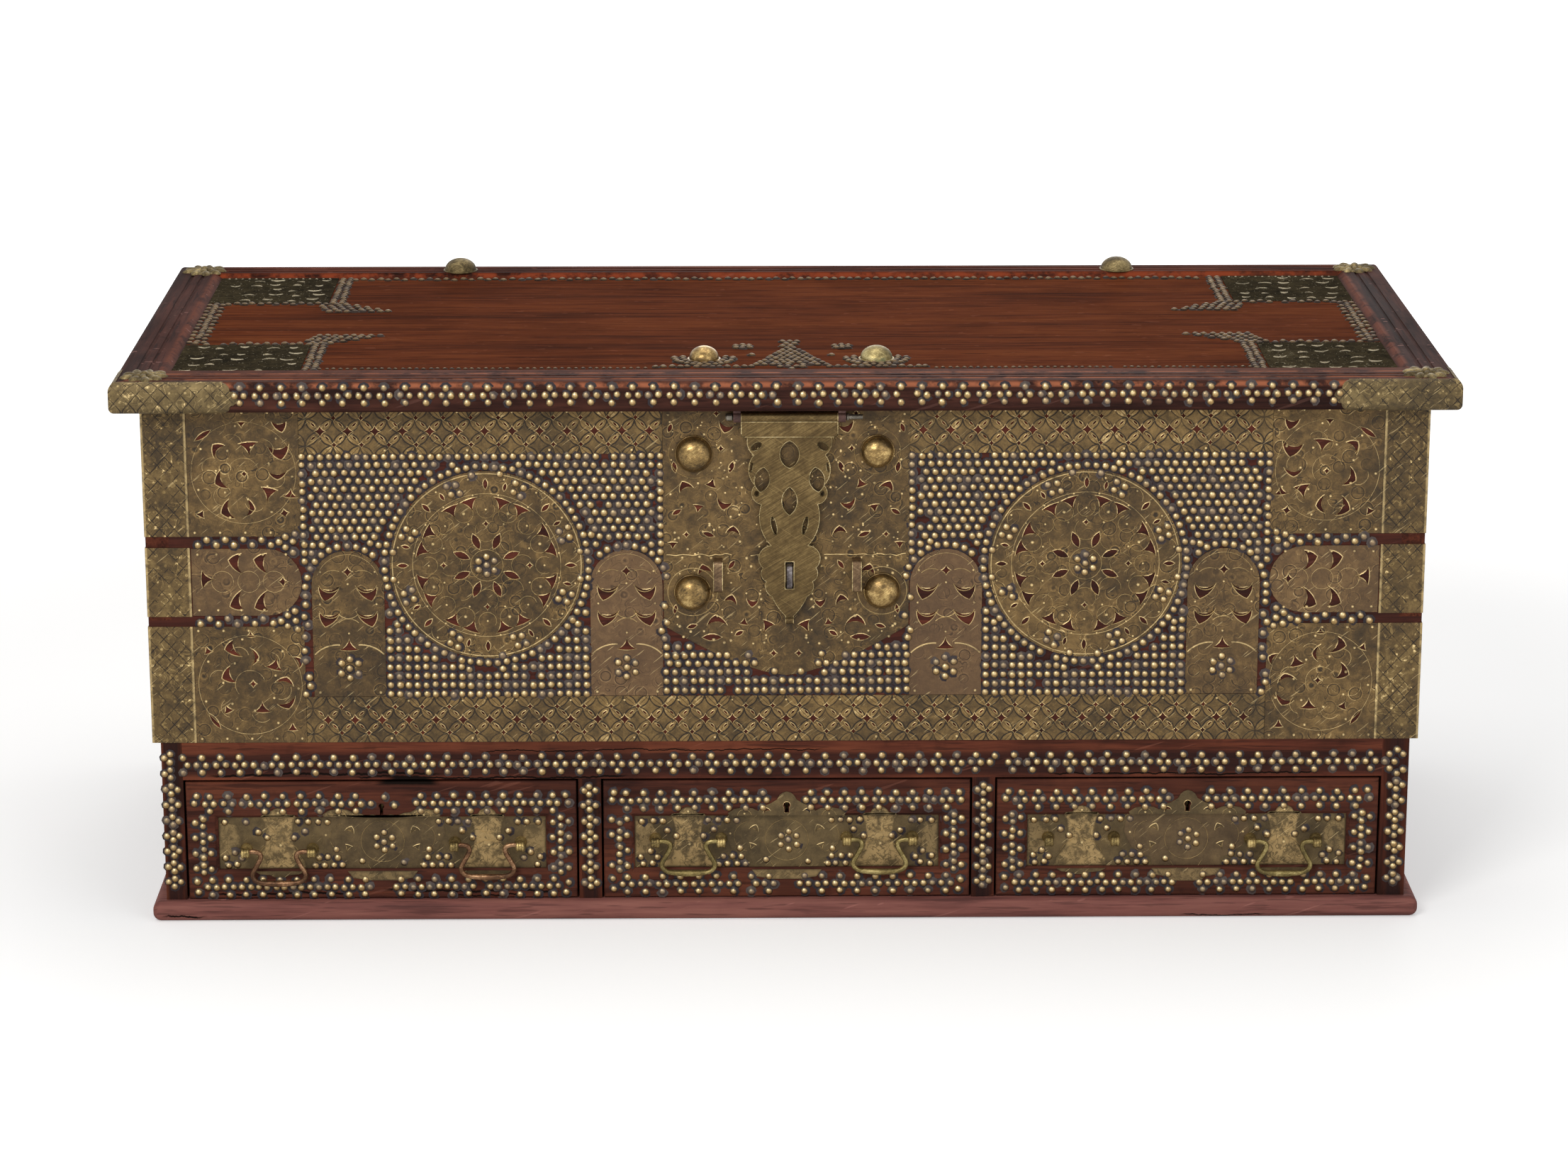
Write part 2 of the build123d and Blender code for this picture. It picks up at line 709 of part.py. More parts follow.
def drawer_front_board(bay, handles):
    """Drawer front with a sunk, bevelled panel, keyhole, lock pocket and holes for the posts."""
    x = grown(bay, -drawer_side_gap)
    board = block(x, (front_y, drawer_front_back_y), (drawer_foot_z, drawer_top_z))
    board = fillet(board.faces().sort_by(Axis.Y)[0].edges(), drawer_edge_round)
    px, pz = panel_span(bay)
    board -= block(px, (front_y, panel_y), pz)
    rim = [e for e in board.faces().sort_by(Axis.Y)[0].inner_wires()[0].edges()]
    board = chamfer(rim, panel_bevel)
    board -= drawer_bottom_board(bay, fit_gap)
    lx, ly, lz = lock_span(bay)
    board -= block(grown(lx, fit_gap), (ly[0] - fit_gap, ly[1]), grown(lz, fit_gap))
    bolt_x, bolt_y = bolt_plan(bay, bolt_play)
    board -= block(bolt_x, bolt_y, (lz[1], drawer_top_z))
    board -= upright(keyhole(bay, 0), front_y, ly[0] - front_y)
    for hole in post_shanks(bay, handles, fit_gap):
        board -= hole
    return board


def drawer_walls(bay):
    """Sides and back of a drawer, grooved for its bottom."""
    outer = grown(bay, -drawer_side_gap)
    z = (drawer_foot_z, drawer_top_z - drawer_wall_drop)
    y = (drawer_front_back_y, drawer_end_y)
    left = block((outer[0], outer[0] + drawer_wall), y, z)
    right = block((outer[1] - drawer_wall, outer[1]), y, z)
    back = block(grown(outer, -drawer_wall), (drawer_end_y - drawer_wall, drawer_end_y), z)
    groove = drawer_bottom_board(bay, fit_gap)
    return [board - groove for board in (left, right, back)]


def scutcheon(bay, broken):
    """Keyhole plate on the raised frame: an ogee rising from the panel to a narrow head."""
    x = bay_middle_x(bay)
    foot = panel_span(bay)[1][1] + panel_bevel
    head = key_z + scutcheon_head
    shoulder = (foot + key_z) / 2
    flank, waist = x + scutcheon_foot, x + scutcheon_waist
    lower, upper = x + scutcheon_foot * scutcheon_sweep, x + scutcheon_waist * scutcheon_sweep
    right = [
        ThreePointArc((flank, foot), (lower, shoulder), (waist, key_z)),
        ThreePointArc((waist, key_z), (upper, (key_z + head) / 2), (x, head)),
        Polyline((x, head), (x, foot), (flank, foot)),
    ]
    half = make_face(Curve() + right)
    plate = half + mirror(half, about=Plane(origin=(x, 0, 0), z_dir=(1, 0, 0)))
    if broken:
        plate &= box_sketch((x - scutcheon_foot, flank), (foot, shoulder))
    return upright(plate - keyhole(bay, 0), brass_face_y, sheet)


def frame_tabs(bay, handles):
    """Round tabs of brass that lap onto the raised frame, over and under each handle."""
    _, (foot, head) = panel_span(bay)
    tabs = []
    for offset_x, _ in handles:
        x = bay_middle_x(bay) + offset_x
        over, under = head + panel_bevel, foot - panel_bevel
        upper = Pos(x, over) * Ellipse(tab_width / 2, tab_height)
        upper &= box_sketch(grown((x, x), tab_width), (over, over + tab_height))
        lower = Pos(x, under) * Ellipse(foot_tab_width / 2, foot_tab_height)
        lower &= box_sketch(grown((x, x), foot_tab_width), (under - foot_tab_height, under))
        tabs += [upright(tab, brass_face_y, sheet) for tab in (upper, lower)]
    return tabs


def post_shanks(bay, handles, play):
    """Shanks of a drawer's handle posts, from their heads into the wood."""
    bars = []
    for offset_x, height in handles:
        for side in (-1, 1):
            x = bay_middle_x(bay) + offset_x + side * handle_posts / 2
            ends = (panel_y - handle_reach, panel_y + post_bury + play)
            centre = (x, (ends[0] + ends[1]) / 2, drawer_foot_z + height)
            bars.append(rod_along("y", centre, post_shank + play, ends[1] - ends[0]))
    return bars


def eye_post(x, height, shank):
    """A shank with a squared, chamfered head bored for the pin of a drop handle."""
    y = panel_y - handle_reach
    spans = [(v - s / 2, v + s / 2) for v, s in ((x, post_head_length), (height, post_head_height))]
    head = block(spans[0], (y - post_nose, y + post_nose), spans[1])
    head = chamfer(head.faces().sort_by(Axis.Y)[0].edges(), post_chamfer)
    return head + shank - rod_along("x", (x, y, height), handle_rod + pivot_gap, post_head_length)


def drawer_brass(bay, handles, broken):
    """Sheet over the sunk panel, keyhole plate, and the posts of the two drop handles."""
    px, pz = panel_span(bay)
    plate = upright(box_sketch(px, pz), panel_y - sheet, sheet)
    for hole in post_shanks(bay, handles, fit_gap):
        plate -= hole
    pieces = [plate, scutcheon(bay, broken), *frame_tabs(bay, handles)]
    shanks = post_shanks(bay, handles, 0)
    places = [(bay_middle_x(bay) + x + side * handle_posts / 2, z) for x, z in handles for side in (-1, 1)]
    for (x, z), shank in zip(places, shanks):
        pieces.append(eye_post(x, drawer_foot_z + z, shank))
    return pieces


# ------------------------------------------------------------------ swan-neck handles
def bent_bar(corners, bends, radius):
    """A bar of eight flats bent in the XZ plane round the corners, each bend made in even steps."""
    path = FilletPolyline(*[(x, 0, z) for x, z in corners], radius=bends)
    points = [path @ 0]
    for edge in path.edges():
        steps = 1 if edge.geom_type == GeomType.LINE else bend_steps
        points += [edge @ (i / steps) for i in range(1, steps + 1)]
    line = Polyline(*points)
    section = Plane(origin=line @ 0, x_dir=(0, 1, 0), z_dir=line % 0) * RegularPolygon(radius, 8)
    return sweep(section, path=line, transition=Transition.RIGHT)


def swan_bail(posts, head, neck, bulge, bulge_drop, foot, drop, bends, rod, grip):
    """A drop handle in the XZ plane: round pins in the posts, pinched neck, bowed foot with a swell."""
    seat, tip = posts / 2 - head / 2, posts / 2 + head / 4
    half = [(seat, 0), (neck, 0), (bulge, -bulge_drop), (foot, -drop)]
    corners = half + [(-x, z) for x, z in reversed(half)]
    bail = bent_bar(corners, [*bends, *reversed(bends)], rod)
    for side in (-1, 1):
        bail += rod_along("x", (side * (seat + tip) / 2, 0, 0), rod, tip - seat)
    outline = [(-foot, 0), (-foot, rod), (-foot / 3, grip), (foot / 3, grip), (foot, rod), (foot, 0)]
    swell = revolve(make_face(Polyline(*outline, close=True)), axis=Axis.X)
    return bail + Pos(0, 0, -drop) * swell


def drawer_bail(x, height):
    """Drop handle of a drawer, hanging from its posts."""
    bail = swan_bail(
        handle_posts, post_head_length, handle_neck, handle_bulge, handle_bulge_drop,
        handle_foot, handle_drop, handle_bends, handle_rod, handle_grip,
    )
    return Pos(x, panel_y - handle_reach, height) * bail


def carrying_handle():
    """Carrying handle of the right-hand wall, hanging from its posts."""
    bail = swan_bail(
        carry_posts, carry_head_length, carry_neck, carry_bulge, carry_bulge_drop,
        carry_foot, carry_drop, carry_bends, carry_rod, carry_grip,
    )
    return Pos(body_length / 2 + carry_reach, 0, carry_height) * Rot(0, 0, 90) * bail


def carry_post(y):
    """Post of a carrying handle on its round plate, let into the right-hand wall."""
    wall_x = body_length / 2
    x = wall_x + carry_reach
    spans = [(v - s / 2, v + s / 2) for v, s in ((y, carry_head_length), (carry_height, carry_head_height))]
    head = block((x - carry_nose, x + carry_nose), spans[0], spans[1])
    head = chamfer(head.faces().sort_by(Axis.X)[-1].edges(), carry_chamfer)
    length = carry_bury + carry_reach
    shank = rod_along("x", (wall_x - carry_bury + length / 2, y, carry_height), carry_shank, length)
    rose = rod_along("x", (wall_x + carry_rose_thick / 2, y, carry_height), carry_rose, carry_rose_thick)
    bore = rod_along("y", (x, y, carry_height), carry_rod + pivot_gap, carry_head_length)
    return head + shank + rose - bore


def side_handle_mounts():
    """The four posts of the carrying handles."""
    right = [carry_post(y) for y in (-carry_posts / 2, carry_posts / 2)]
    return right + [mirrored(post) for post in right]


# ------------------------------------------------------------------ hinges of the lid
def on_hinge_axis(x, radius):
    """A cylinder on the hinges' axis, between two values of x."""
    return rod_along("x", ((x[0] + x[1]) / 2, hinge_axis_y, hinge_axis_z), radius, x[1] - x[0])


def knuckle_half():
    """Half the length of the middle knuckle."""
    return hinge_length / 6


def hinge_body_leaves():
    """Leaves on the back wall, each with two outer knuckles, and rounded feet."""
    leaves = []
    for x in (hinge_left_x, hinge_right_x):
        span = (x - hinge_length / 2, x + hinge_length / 2)
        middle = grown((x - knuckle_half(), x + knuckle_half()), hinge_play)
        leaf = block(span, (back_y, back_y + hinge_leaf), (hinge_axis_z - hinge_leaf_drop, hinge_axis_z))
        leaf = fillet(leaf.edges().filter_by(Axis.Y).group_by(Axis.Z)[0], hinge_leaf_corner)
        notch = (hinge_axis_z - hinge_knuckle - hinge_play, hinge_axis_z)
        leaf -= block(middle, (back_y, back_y + hinge_leaf), notch)
        for ends in ((span[0], middle[0]), (middle[1], span[1])):
            leaf += on_hinge_axis(ends, hinge_knuckle)
        leaves.append(leaf - on_hinge_axis(span, hinge_pin + pivot_gap))
    return leaves


def hinge_pins():
    """Pins of the two hinges, headed at both ends."""
    pins = []
    for x in (hinge_left_x, hinge_right_x):
        seat = hinge_length / 2 + pivot_gap
        pin = on_hinge_axis((x - seat, x + seat), hinge_pin)
        pin += on_hinge_axis((x - seat - hinge_pin_head_thick, x - seat), hinge_pin_head)
        pins.append(pin + on_hinge_axis((x + seat, x + seat + hinge_pin_head_thick), hinge_pin_head))
    return pins


def hinge_flap_block(x, play):
    """The flap of a lid leaf, let in flush with the underside of the back rail."""
    riser_back = back_y + riser_gap + hinge_leaf
    flap_x = grown((x - hinge_length / 2, x + hinge_length / 2), play)
    flap_y = grown((riser_back - hinge_flap, riser_back), play)
    return block(flap_x, flap_y, (wall_top_z, wall_top_z + hinge_leaf + play))


def hinge_lid_leaves():
    """Cranked leaves of the lid: knuckle, riser behind the wall, and flap under the rail."""
    leaves = []
    for x in (hinge_left_x, hinge_right_x):
        middle = (x - knuckle_half(), x + knuckle_half())
        riser_y = (back_y + riser_gap, back_y + riser_gap + hinge_leaf)
        leaf = hinge_flap_block(x, 0) + block(middle, riser_y, (hinge_axis_z, wall_top_z))
        leaf += on_hinge_axis(middle, hinge_knuckle)
        leaves.append(leaf - on_hinge_axis(middle, hinge_pin + pivot_gap))
    return leaves


# ------------------------------------------------------------------ hasp
def hasp_side():
    """Right-hand edge of the hasp below its flap: scalloped lobes between cusps, from top to tip."""
    cusps = [(x, -drop) for x, drop in hasp_cusps]
    lobes = [(x, -drop) for x, drop in hasp_lobes]
    return [ThreePointArc(start, fullest, end) for start, fullest, end in zip(cusps, lobes, cusps[1:])]


def vesica(width, height):
    """A pointed oval, the overlap of two equal circles."""
    radius = (width**2 + height**2) / (4 * width)
    shift = radius - width / 2
    return Pos(-shift, 0) * Circle(radius) & Pos(shift, 0) * Circle(radius)


def hasp_piercings():
    """Cut-outs of the hasp, measured from the middle of its pin."""
    cuts = Pos(0, -hasp_slot_drop) * Rectangle(hasp_slot, hasp_slot_length)
    for x, drop, width, height, lean in hasp_leaves:
        cuts += Pos(x, -drop) * Rot(0, 0, lean) * vesica(width, height)
    for x, drop, width, height, lean in hasp_eyelets:
        eyelet = Pos(x, -drop) * Rot(0, 0, lean) * Ellipse(width / 2, height / 2)
        cuts += [eyelet, mirror(eyelet, about=Plane.YZ)]
    return cuts


def hasp_plate_part():
    """The hasp: a pierced and scalloped plate rolled round its pin, with a flap and a curled tip."""
    right = hasp_side()
    top, tip = right[0] @ 0, right[-1] @ 1
    rest = Polyline(tip, (tip.X, -hasp_reach), (0, -hasp_reach), (0, 0), (top.X, 0), top)
    half = make_face(Curve() + [*right, rest])
    outline = half + mirror(half, about=Plane.YZ) - hasp_piercings()
    solid = upright(Pos(hasp_x, hasp_pin_z) * outline, hasp_pin_y, hasp_plate)
    length = (hasp_x - hasp_roll_length / 2, hasp_x + hasp_roll_length / 2)
    flap = block(length, (hasp_pin_y - hasp_plate, hasp_pin_y), (hasp_pin_z - hasp_flap, hasp_pin_z))
    solid += fillet(flap.edges().filter_by(Axis.Y).group_by(Axis.Z)[0], hasp_flap_round)
    solid += block(length, (hasp_pin_y, hasp_pin_y + hasp_plate), (hasp_pin_z - hasp_flap / 2, hasp_pin_z))
    bore = hasp_pin + pivot_gap
    solid += rod_along("x", (hasp_x, hasp_pin_y, hasp_pin_z), bore + hasp_plate, hasp_roll_length)
    curl = (hasp_x, hasp_pin_y + hasp_plate - hasp_curl, hasp_pin_z - hasp_reach)
    solid += rod_along("x", curl, hasp_curl, hasp_curl_length)
    return solid - rod_along("x", (hasp_x, hasp_pin_y, hasp_pin_z), bore, hasp_roll_length)


def hasp_eye_places():
    """x of the two eyes, just outside the ends of the hasp's roll."""
    reach = hasp_roll_length / 2 + hasp_eye_gap + hasp_eye_length / 2
    return hasp_x - reach, hasp_x + reach


def hasp_eye_shanks(play):
    """Shanks of the eyes, driven up into the lip of the lid."""
    shanks = Part()
    for x in hasp_eye_places():
        x_span = grown((x - hasp_eye_length / 2, x + hasp_eye_length / 2), play)
        y_span = grown((hasp_pin_y - hasp_eye_shank / 2, hasp_pin_y + hasp_eye_shank / 2), play)
        shanks += block(x_span, y_span, (hasp_pin_z, lid_lip_z + hasp_eye_bury + play))
    return shanks


def hasp_eye_staples():
    """The two eyes that carry the hasp's pin."""
    shanks = hasp_eye_shanks(0).solids().sort_by(Axis.X)
    eyes = []
    for x, shank in zip(hasp_eye_places(), shanks):
        eye = rod_along("x", (x, hasp_pin_y, hasp_pin_z), hasp_eye, hasp_eye_length) + shank
        eyes.append(eye - rod_along("x", (x, hasp_pin_y, hasp_pin_z), hasp_pin + pivot_gap, hasp_eye_length))
    return eyes


def hasp_pin_part():
    """Pin of the hasp, turned with a knob at the left and a beaded tail at the right."""
    left, right = (x + side * (hasp_eye_length / 2 + fit_gap) for x, side in zip(hasp_eye_places(), (-1, 1)))
    tail = right + hasp_pin_tail
    pin = rod_along("x", ((left + tail) / 2, hasp_pin_y, hasp_pin_z), hasp_pin, tail - left)
    for start, length in ((left - 2 * hasp_knob, 2 * hasp_knob), (right, hasp_knob)):
        bead = rod_along("x", (start + length / 2, hasp_pin_y, hasp_pin_z), hasp_knob, length)
        pin += chamfer(bead.edges().filter_by(GeomType.CIRCLE), hasp_knob / 3)
    return pin


# ------------------------------------------------------------------ staples and front bosses
def staple_list():
    """x, height of the loop, width of the strap, thickness and reach of every staple."""
    lock = (hasp_x, staple_tall, staple_width, staple_bar, staple_reach)
    left = (loop_left_x, loop_tall, loop_width, loop_bar, loop_reach)
    right = (loop_right_x, loop_tall, loop_width, loop_bar, loop_reach)
    return lock, left, right


def staple_legs(x, tall, width, bar, play):
    """The two legs of a staple, from the brass face into the wood."""
    legs = Part()
    for side in (-1, 1):
        middle = staple_height + side * (tall - bar) / 2
        z = grown((middle - bar / 2, middle + bar / 2), play)
        y = (brass_face_y - play, front_y + staple_bury + play)
        legs += block(grown((x - width / 2, x + width / 2), play), y, z)
    return legs


def all_staple_legs():
    """Mortises for the legs of every staple."""
    return [staple_legs(x, tall, width, bar, fit_gap) for x, tall, width, bar, _ in staple_list()]


def staple(x, tall, width, bar, reach):
    """A staple whose eye is open along X: two legs joined by a rounded bow."""
    nose = front_y - reach
    z = (staple_height - tall / 2, staple_height + tall / 2)
    bow = block((x - width / 2, x + width / 2), (nose, brass_face_y), z)
    bow = fillet(bow.edges().filter_by(Axis.X).group_by(Axis.Y)[0], reach / staple_bow)
    eye = block((x - width / 2, x + width / 2), (nose + bar, brass_face_y), grown(z, -bar))
    bow -= fillet(eye.edges().filter_by(Axis.X).group_by(Axis.Y)[0], reach / staple_bow - bar / 2)
    return bow + staple_legs(x, tall, width, bar, 0)


def lock_staple():
    """Staple that stands through the slot of the hasp and takes the padlock."""
    return staple(*staple_list()[0])


def side_staples():
    """The two tall staples beside the hasp."""
    return [staple(*spec) for spec in staple_list()[1:]]


def front_boss_nails(play):
    """Nails of the front bosses, from the brass into the wood."""
    bars = []
    for x, drop, _ in front_boss_places:
        length = boss_nail_length + play
        centre = (x, brass_face_y + length / 2, hasp_pin_z - drop)
        bars.append(rod_along("y", centre, boss_nail + play, length))
    return bars


def front_bosses():
    """Four domed bosses round the hasp."""
    bosses = []
    for x, drop, radius in front_boss_places:
        bosses.append(Pos(x, brass_face_y, hasp_pin_z - drop) * Rot(90, 0, 0) * boss(radius, boss_height))
    return bosses


# ------------------------------------------------------------------ sheet brass of the front
def front_corner_bands():
    """Bands folded round the front corners, in three lengths with bare wood between."""
    low, high = [(case_top_z + foot, case_top_z + head) for foot, head in (band_low_gap, band_high_gap)]
    heights = ((case_top_z, low[0]), (low[1], high[0]), (high[1], brass_top_z))
    half = body_length / 2
    bands = []
    for z in heights:
        band = block((band_inner_x, half + sheet), (brass_face_y, front_y), z)
        band += block((half, half + sheet), (brass_face_y, front_y + band_return), z)
        bands += [band, mirrored(band)]
    return bands


def front_border_plates():
    """Strips over and under the tacked blocks, trimmed to clear the medallions, and the end plates."""
    end = (field_outer + seam, band_inner_x - seam)
    pieces = [
        box_sketch((-field_outer, field_outer), (case_top_z, field_foot - seam)),
        box_sketch((field_inner + seam, field_outer), (field_head + seam, brass_top_z)),
        box_sketch(end, (case_top_z, case_top_z + band_low_gap[0])),
        box_sketch(end, (case_top_z + band_high_gap[1], brass_top_z)),
        cartouche(end),
    ]
    for i in (0, 1):
        for x in (-medallion_x, medallion_x):
            pieces[i] -= Pos(x, medallion_z) * Circle(medallion + seam)
    plates = [upright(piece, brass_face_y, sheet) for piece in pieces]
    return plates + [mirrored(plate) for plate in plates[1:]]


def cartouche(x):
    """The middle end plate, bowed out at its inner end."""
    z = (case_top_z + band_low_gap[1] + seam, case_top_z + band_high_gap[0] - seam)
    middle = (z[0] + z[1]) / 2
    neck = x[0] + (z[1] - z[0]) / 2
    bow = ThreePointArc((neck, z[0]), (x[0], middle), (neck, z[1]))
    rest = Polyline((neck, z[1]), (x[1], z[1]), (x[1], z[0]), (neck, z[0]))
    return make_face(Curve() + [bow, rest])


def front_centre_plate():
    """Plate behind the hasp, its foot drawn down to a blunt point."""
    point, shoulder = field_foot + centre_point, field_foot + centre_shoulder
    dip = (field_inner / 2, (point + shoulder) / 2 - centre_bulge)
    sides = Polyline((0, point), (0, brass_top_z), (field_inner, brass_top_z), (field_inner, shoulder))
    half = make_face(Curve() + [sides, ThreePointArc((field_inner, shoulder), dip, (0, point))])
    plate = upright(half + mirror(half, about=Plane.YZ), brass_face_y, sheet)
    for leg in all_staple_legs() + front_boss_nails(fit_gap):
        plate -= leg
    return plate


def medallion_plates():
    """Round plates of the two medallions, each pierced with a ring of petals."""
    disc = Circle(medallion)
    for i in range(medallion_petals):
        petal = Pos(0, medallion_petal_ring) * vesica(medallion_petal_width, medallion_petal_length)
        disc -= Rot(0, 0, 360 * i / medallion_petals) * petal
    return [upright(Pos(x, medallion_z) * disc, brass_face_y, sheet) for x in (-medallion_x, medallion_x)]


def arch_plates():
    """Four round-headed plates standing beside the medallions, each pierced with two leaves."""
    spring = arch_rise - arch_width / 2
    shape = box_sketch((-arch_width / 2, arch_width / 2), (0, spring))
    shape += Pos(0, spring) * Circle(arch_width / 2)
    for side in (-1, 1):
        place = Pos(side * arch_leaf_side, arch_rise - arch_leaf_drop) * Rot(0, 0, side * arch_leaf_lean)
        shape -= place * vesica(arch_leaf_width, arch_leaf_length)
    places = (-arch_outer_x, -arch_inner_x, arch_inner_x, arch_outer_x)
    return [upright(Pos(x, field_foot) * shape, brass_face_y, sheet) for x in places]


# ------------------------------------------------------------------ write the parts
def write(name, pieces):
    """Save one node; a list of pieces stays a group of separate solids."""
    solids = pieces if isinstance(pieces, list) else [pieces]
    bodies = [solid for piece in solids for solid in piece.solids()]
    shape = bodies[0] if len(bodies) == 1 else Compound(children=bodies)
    export_step(shape, f"parts/{name}.step")


def main():
    """Build every node of the chest."""
    os.makedirs("parts", exist_ok=True)
    half_case = case_length / 2
    nodes = {
        "base_board": base_board(),
        "case_side_left": case_side((-half_case, case_inner_left), case_inner_left, -1),
        "case_side_right": case_side((case_inner_right, half_case), case_inner_right, 1),
        "case_back": case_back(),
        "drawer_dividers": drawer_dividers(),
        "front_rail": front_rail(),
        "chest_floor": chest_floor(),
        "front_panel": front_panel(),
        "back_panel": back_panel(),
        "side_panel_left": mirrored(side_panel()),
        "side_panel_right": side_panel(),
        "front_corner_bands": front_corner_bands(),
        "front_border_plates": front_border_plates(),
        "front_centre_plate": front_centre_plate(),
        "medallion_plates": medallion_plates(),
        "arch_plates": arch_plates(),
        "front_bosses": front_bosses(),
        "lock_staple": lock_staple(),
        "side_staples": side_staples(),
        "hinge_body_leaves": hinge_body_leaves(),
        "hinge_pins": hinge_pins(),
        "side_handle_mounts": side_handle_mounts(),
        "lid_panel": lid_panel_part(),
        "lid_front_rail": lid_front_rail_part(),
        "lid_back_rail": lid_back_rail_part(),
        "lid_end_rail_left": mitred_rail("left"),
        "lid_end_rail_right": mitred_rail("right"),
        "lid_corner_plates": lid_corner_plates(),
        "lid_edge_straps": lid_edge_straps(),
        "lid_bosses": lid_bosses(),
        "hasp_eye_staples": hasp_eye_staples(),
        "hasp_pin": hasp_pin_part(),
        "hinge_lid_leaves": hinge_lid_leaves(),
        "hasp_plate": hasp_plate_part(),
        "side_handle_left": mirrored(carrying_handle()),
        "side_handle_right": carrying_handle(),
    }
    for number, (bay, handles) in enumerate(zip(bays, handle_sets), start=1):
        name = f"drawer_{number}"
        nodes[f"{name}_front"] = drawer_front_board(bay, handles)
        nodes[f"{name}_walls"] = drawer_walls(bay)
        nodes[f"{name}_bottom"] = drawer_bottom_board(bay, 0)
        nodes[f"{name}_brass"] = drawer_brass(bay, handles, broken=number == 1)
        nodes[f"{name}_lock"] = drawer_lock(bay)
        nodes[f"{name}_bolt"] = lock_bolt(bay)
        for side, (x, z) in zip(("left", "right"), handles):
            nodes[f"{name}_bail_{side}"] = drawer_bail(bay_middle_x(bay) + x, drawer_foot_z + z)
    del nodes[lost_bail]
    for name, pieces in nodes.items():
        write(name, pieces)


main()
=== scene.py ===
"""An arabic dowry chest: tack-studded hardwood, pierced sheet brass, a hasp and three drawers.

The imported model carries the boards, joints and main brass; this script dresses it with tacks, pierced and
engraved sheets, turned fittings and their finishes. Lengths in the classes are millimetres.
"""

import logging
import math
import random
from collections.abc import Callable, Iterable, Sequence
from dataclasses import dataclass, field
from enum import Enum
from functools import reduce
from typing import TypeAlias

import bmesh
import bpy
from mathutils import Matrix, Vector, noise


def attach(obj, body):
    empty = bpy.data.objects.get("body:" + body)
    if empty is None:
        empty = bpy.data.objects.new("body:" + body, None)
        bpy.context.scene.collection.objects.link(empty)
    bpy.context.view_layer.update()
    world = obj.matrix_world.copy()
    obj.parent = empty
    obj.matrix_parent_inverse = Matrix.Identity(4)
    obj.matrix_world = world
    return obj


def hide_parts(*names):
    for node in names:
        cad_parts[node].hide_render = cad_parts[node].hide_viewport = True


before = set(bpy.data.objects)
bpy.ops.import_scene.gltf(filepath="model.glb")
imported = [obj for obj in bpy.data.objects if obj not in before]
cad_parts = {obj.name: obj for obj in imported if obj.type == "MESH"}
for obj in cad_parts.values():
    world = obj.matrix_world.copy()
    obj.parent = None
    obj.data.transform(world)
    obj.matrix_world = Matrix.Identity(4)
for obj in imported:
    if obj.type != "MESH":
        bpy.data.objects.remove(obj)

MM = 0.001
FRONT_FACE = -252.0  # the front boards' outer face
SHEET_FACE = -252.8  # the brass over them
PANEL_TOP = 535.0  # the lid's sunk panel
RAIL_TOP = 540.0  # the lid's frame
RUBBED_SHEET = 0.3  # a sheet's gold share past which its edges stay dark
LIP_CREASE = 14.0  # an angle in degrees past which a pierced sheet's edges stay sharp
BURIED = -0.2  # level of a bump's foot, under its sheet's face
WELD = 1e-4  # corners nearer than this are one

Point: TypeAlias = tuple[float, float]
Place: TypeAlias = tuple[float, float, float]
Colour: TypeAlias = tuple[float, float, float]
Number: TypeAlias = "Value | float"
Material: TypeAlias = bpy.types.Material
Socket: TypeAlias = bpy.types.NodeSocket
log = logging.getLogger("dowry chest")


# ------------------------------------------------------------------ shader maths
class Nodes:
    """A node tree under construction."""

    def __init__(self, tree: bpy.types.NodeTree) -> None:
        """Empty the tree."""
        self.tree = tree
        tree.nodes.clear()

    def node(self, kind: str, settings: dict | None = None, inputs: dict | None = None) -> bpy.types.Node:
        """Add any node.

        Args:
            kind: The node's type.
            settings: Its own settings; "stops" holds a ramp's positions and colours.
            inputs: Values, sockets or wrapped values by input name or number.

        Returns:
            The node.
        """
        made = self.tree.nodes.new(kind)
        for name, value in (settings or {}).items():
            if name == "stops":
                self._set_stops(made.color_ramp, value)
            else:
                setattr(made, name, value)
        for key, value in (inputs or {}).items():
            socket = made.inputs[key]
            if isinstance(value, Value):
                self.tree.links.new(value.socket, socket)
            elif isinstance(value, Socket):
                self.tree.links.new(value, socket)
            elif isinstance(value, tuple) and socket.type == "RGBA":
                socket.default_value = (*value, 1.0)
            else:
                socket.default_value = value
        return made

    @staticmethod
    def _set_stops(ramp: bpy.types.ColorRamp, stops: Sequence[tuple[float, Colour]]) -> None:
        """Give a ramp its colours."""
        while len(ramp.elements) < len(stops):
            ramp.elements.new(1.0)
        for element, (position, colour) in zip(ramp.elements, stops):
            element.position, element.color = position, (*colour, 1.0)


def operator(operation: str, swapped: bool = False) -> Callable[["Value", Number], "Value"]:
    """Make a method that adds one kind of Math node.

    Args:
        operation: The node's operation.
        swapped: Whether the plain number comes first.

    Returns:
        The method.
    """

    def apply(self: "Value", other: Number) -> "Value":
        """Add the node."""
        return self.math(operation, *((other, self) if swapped else (self, other)))

    return apply


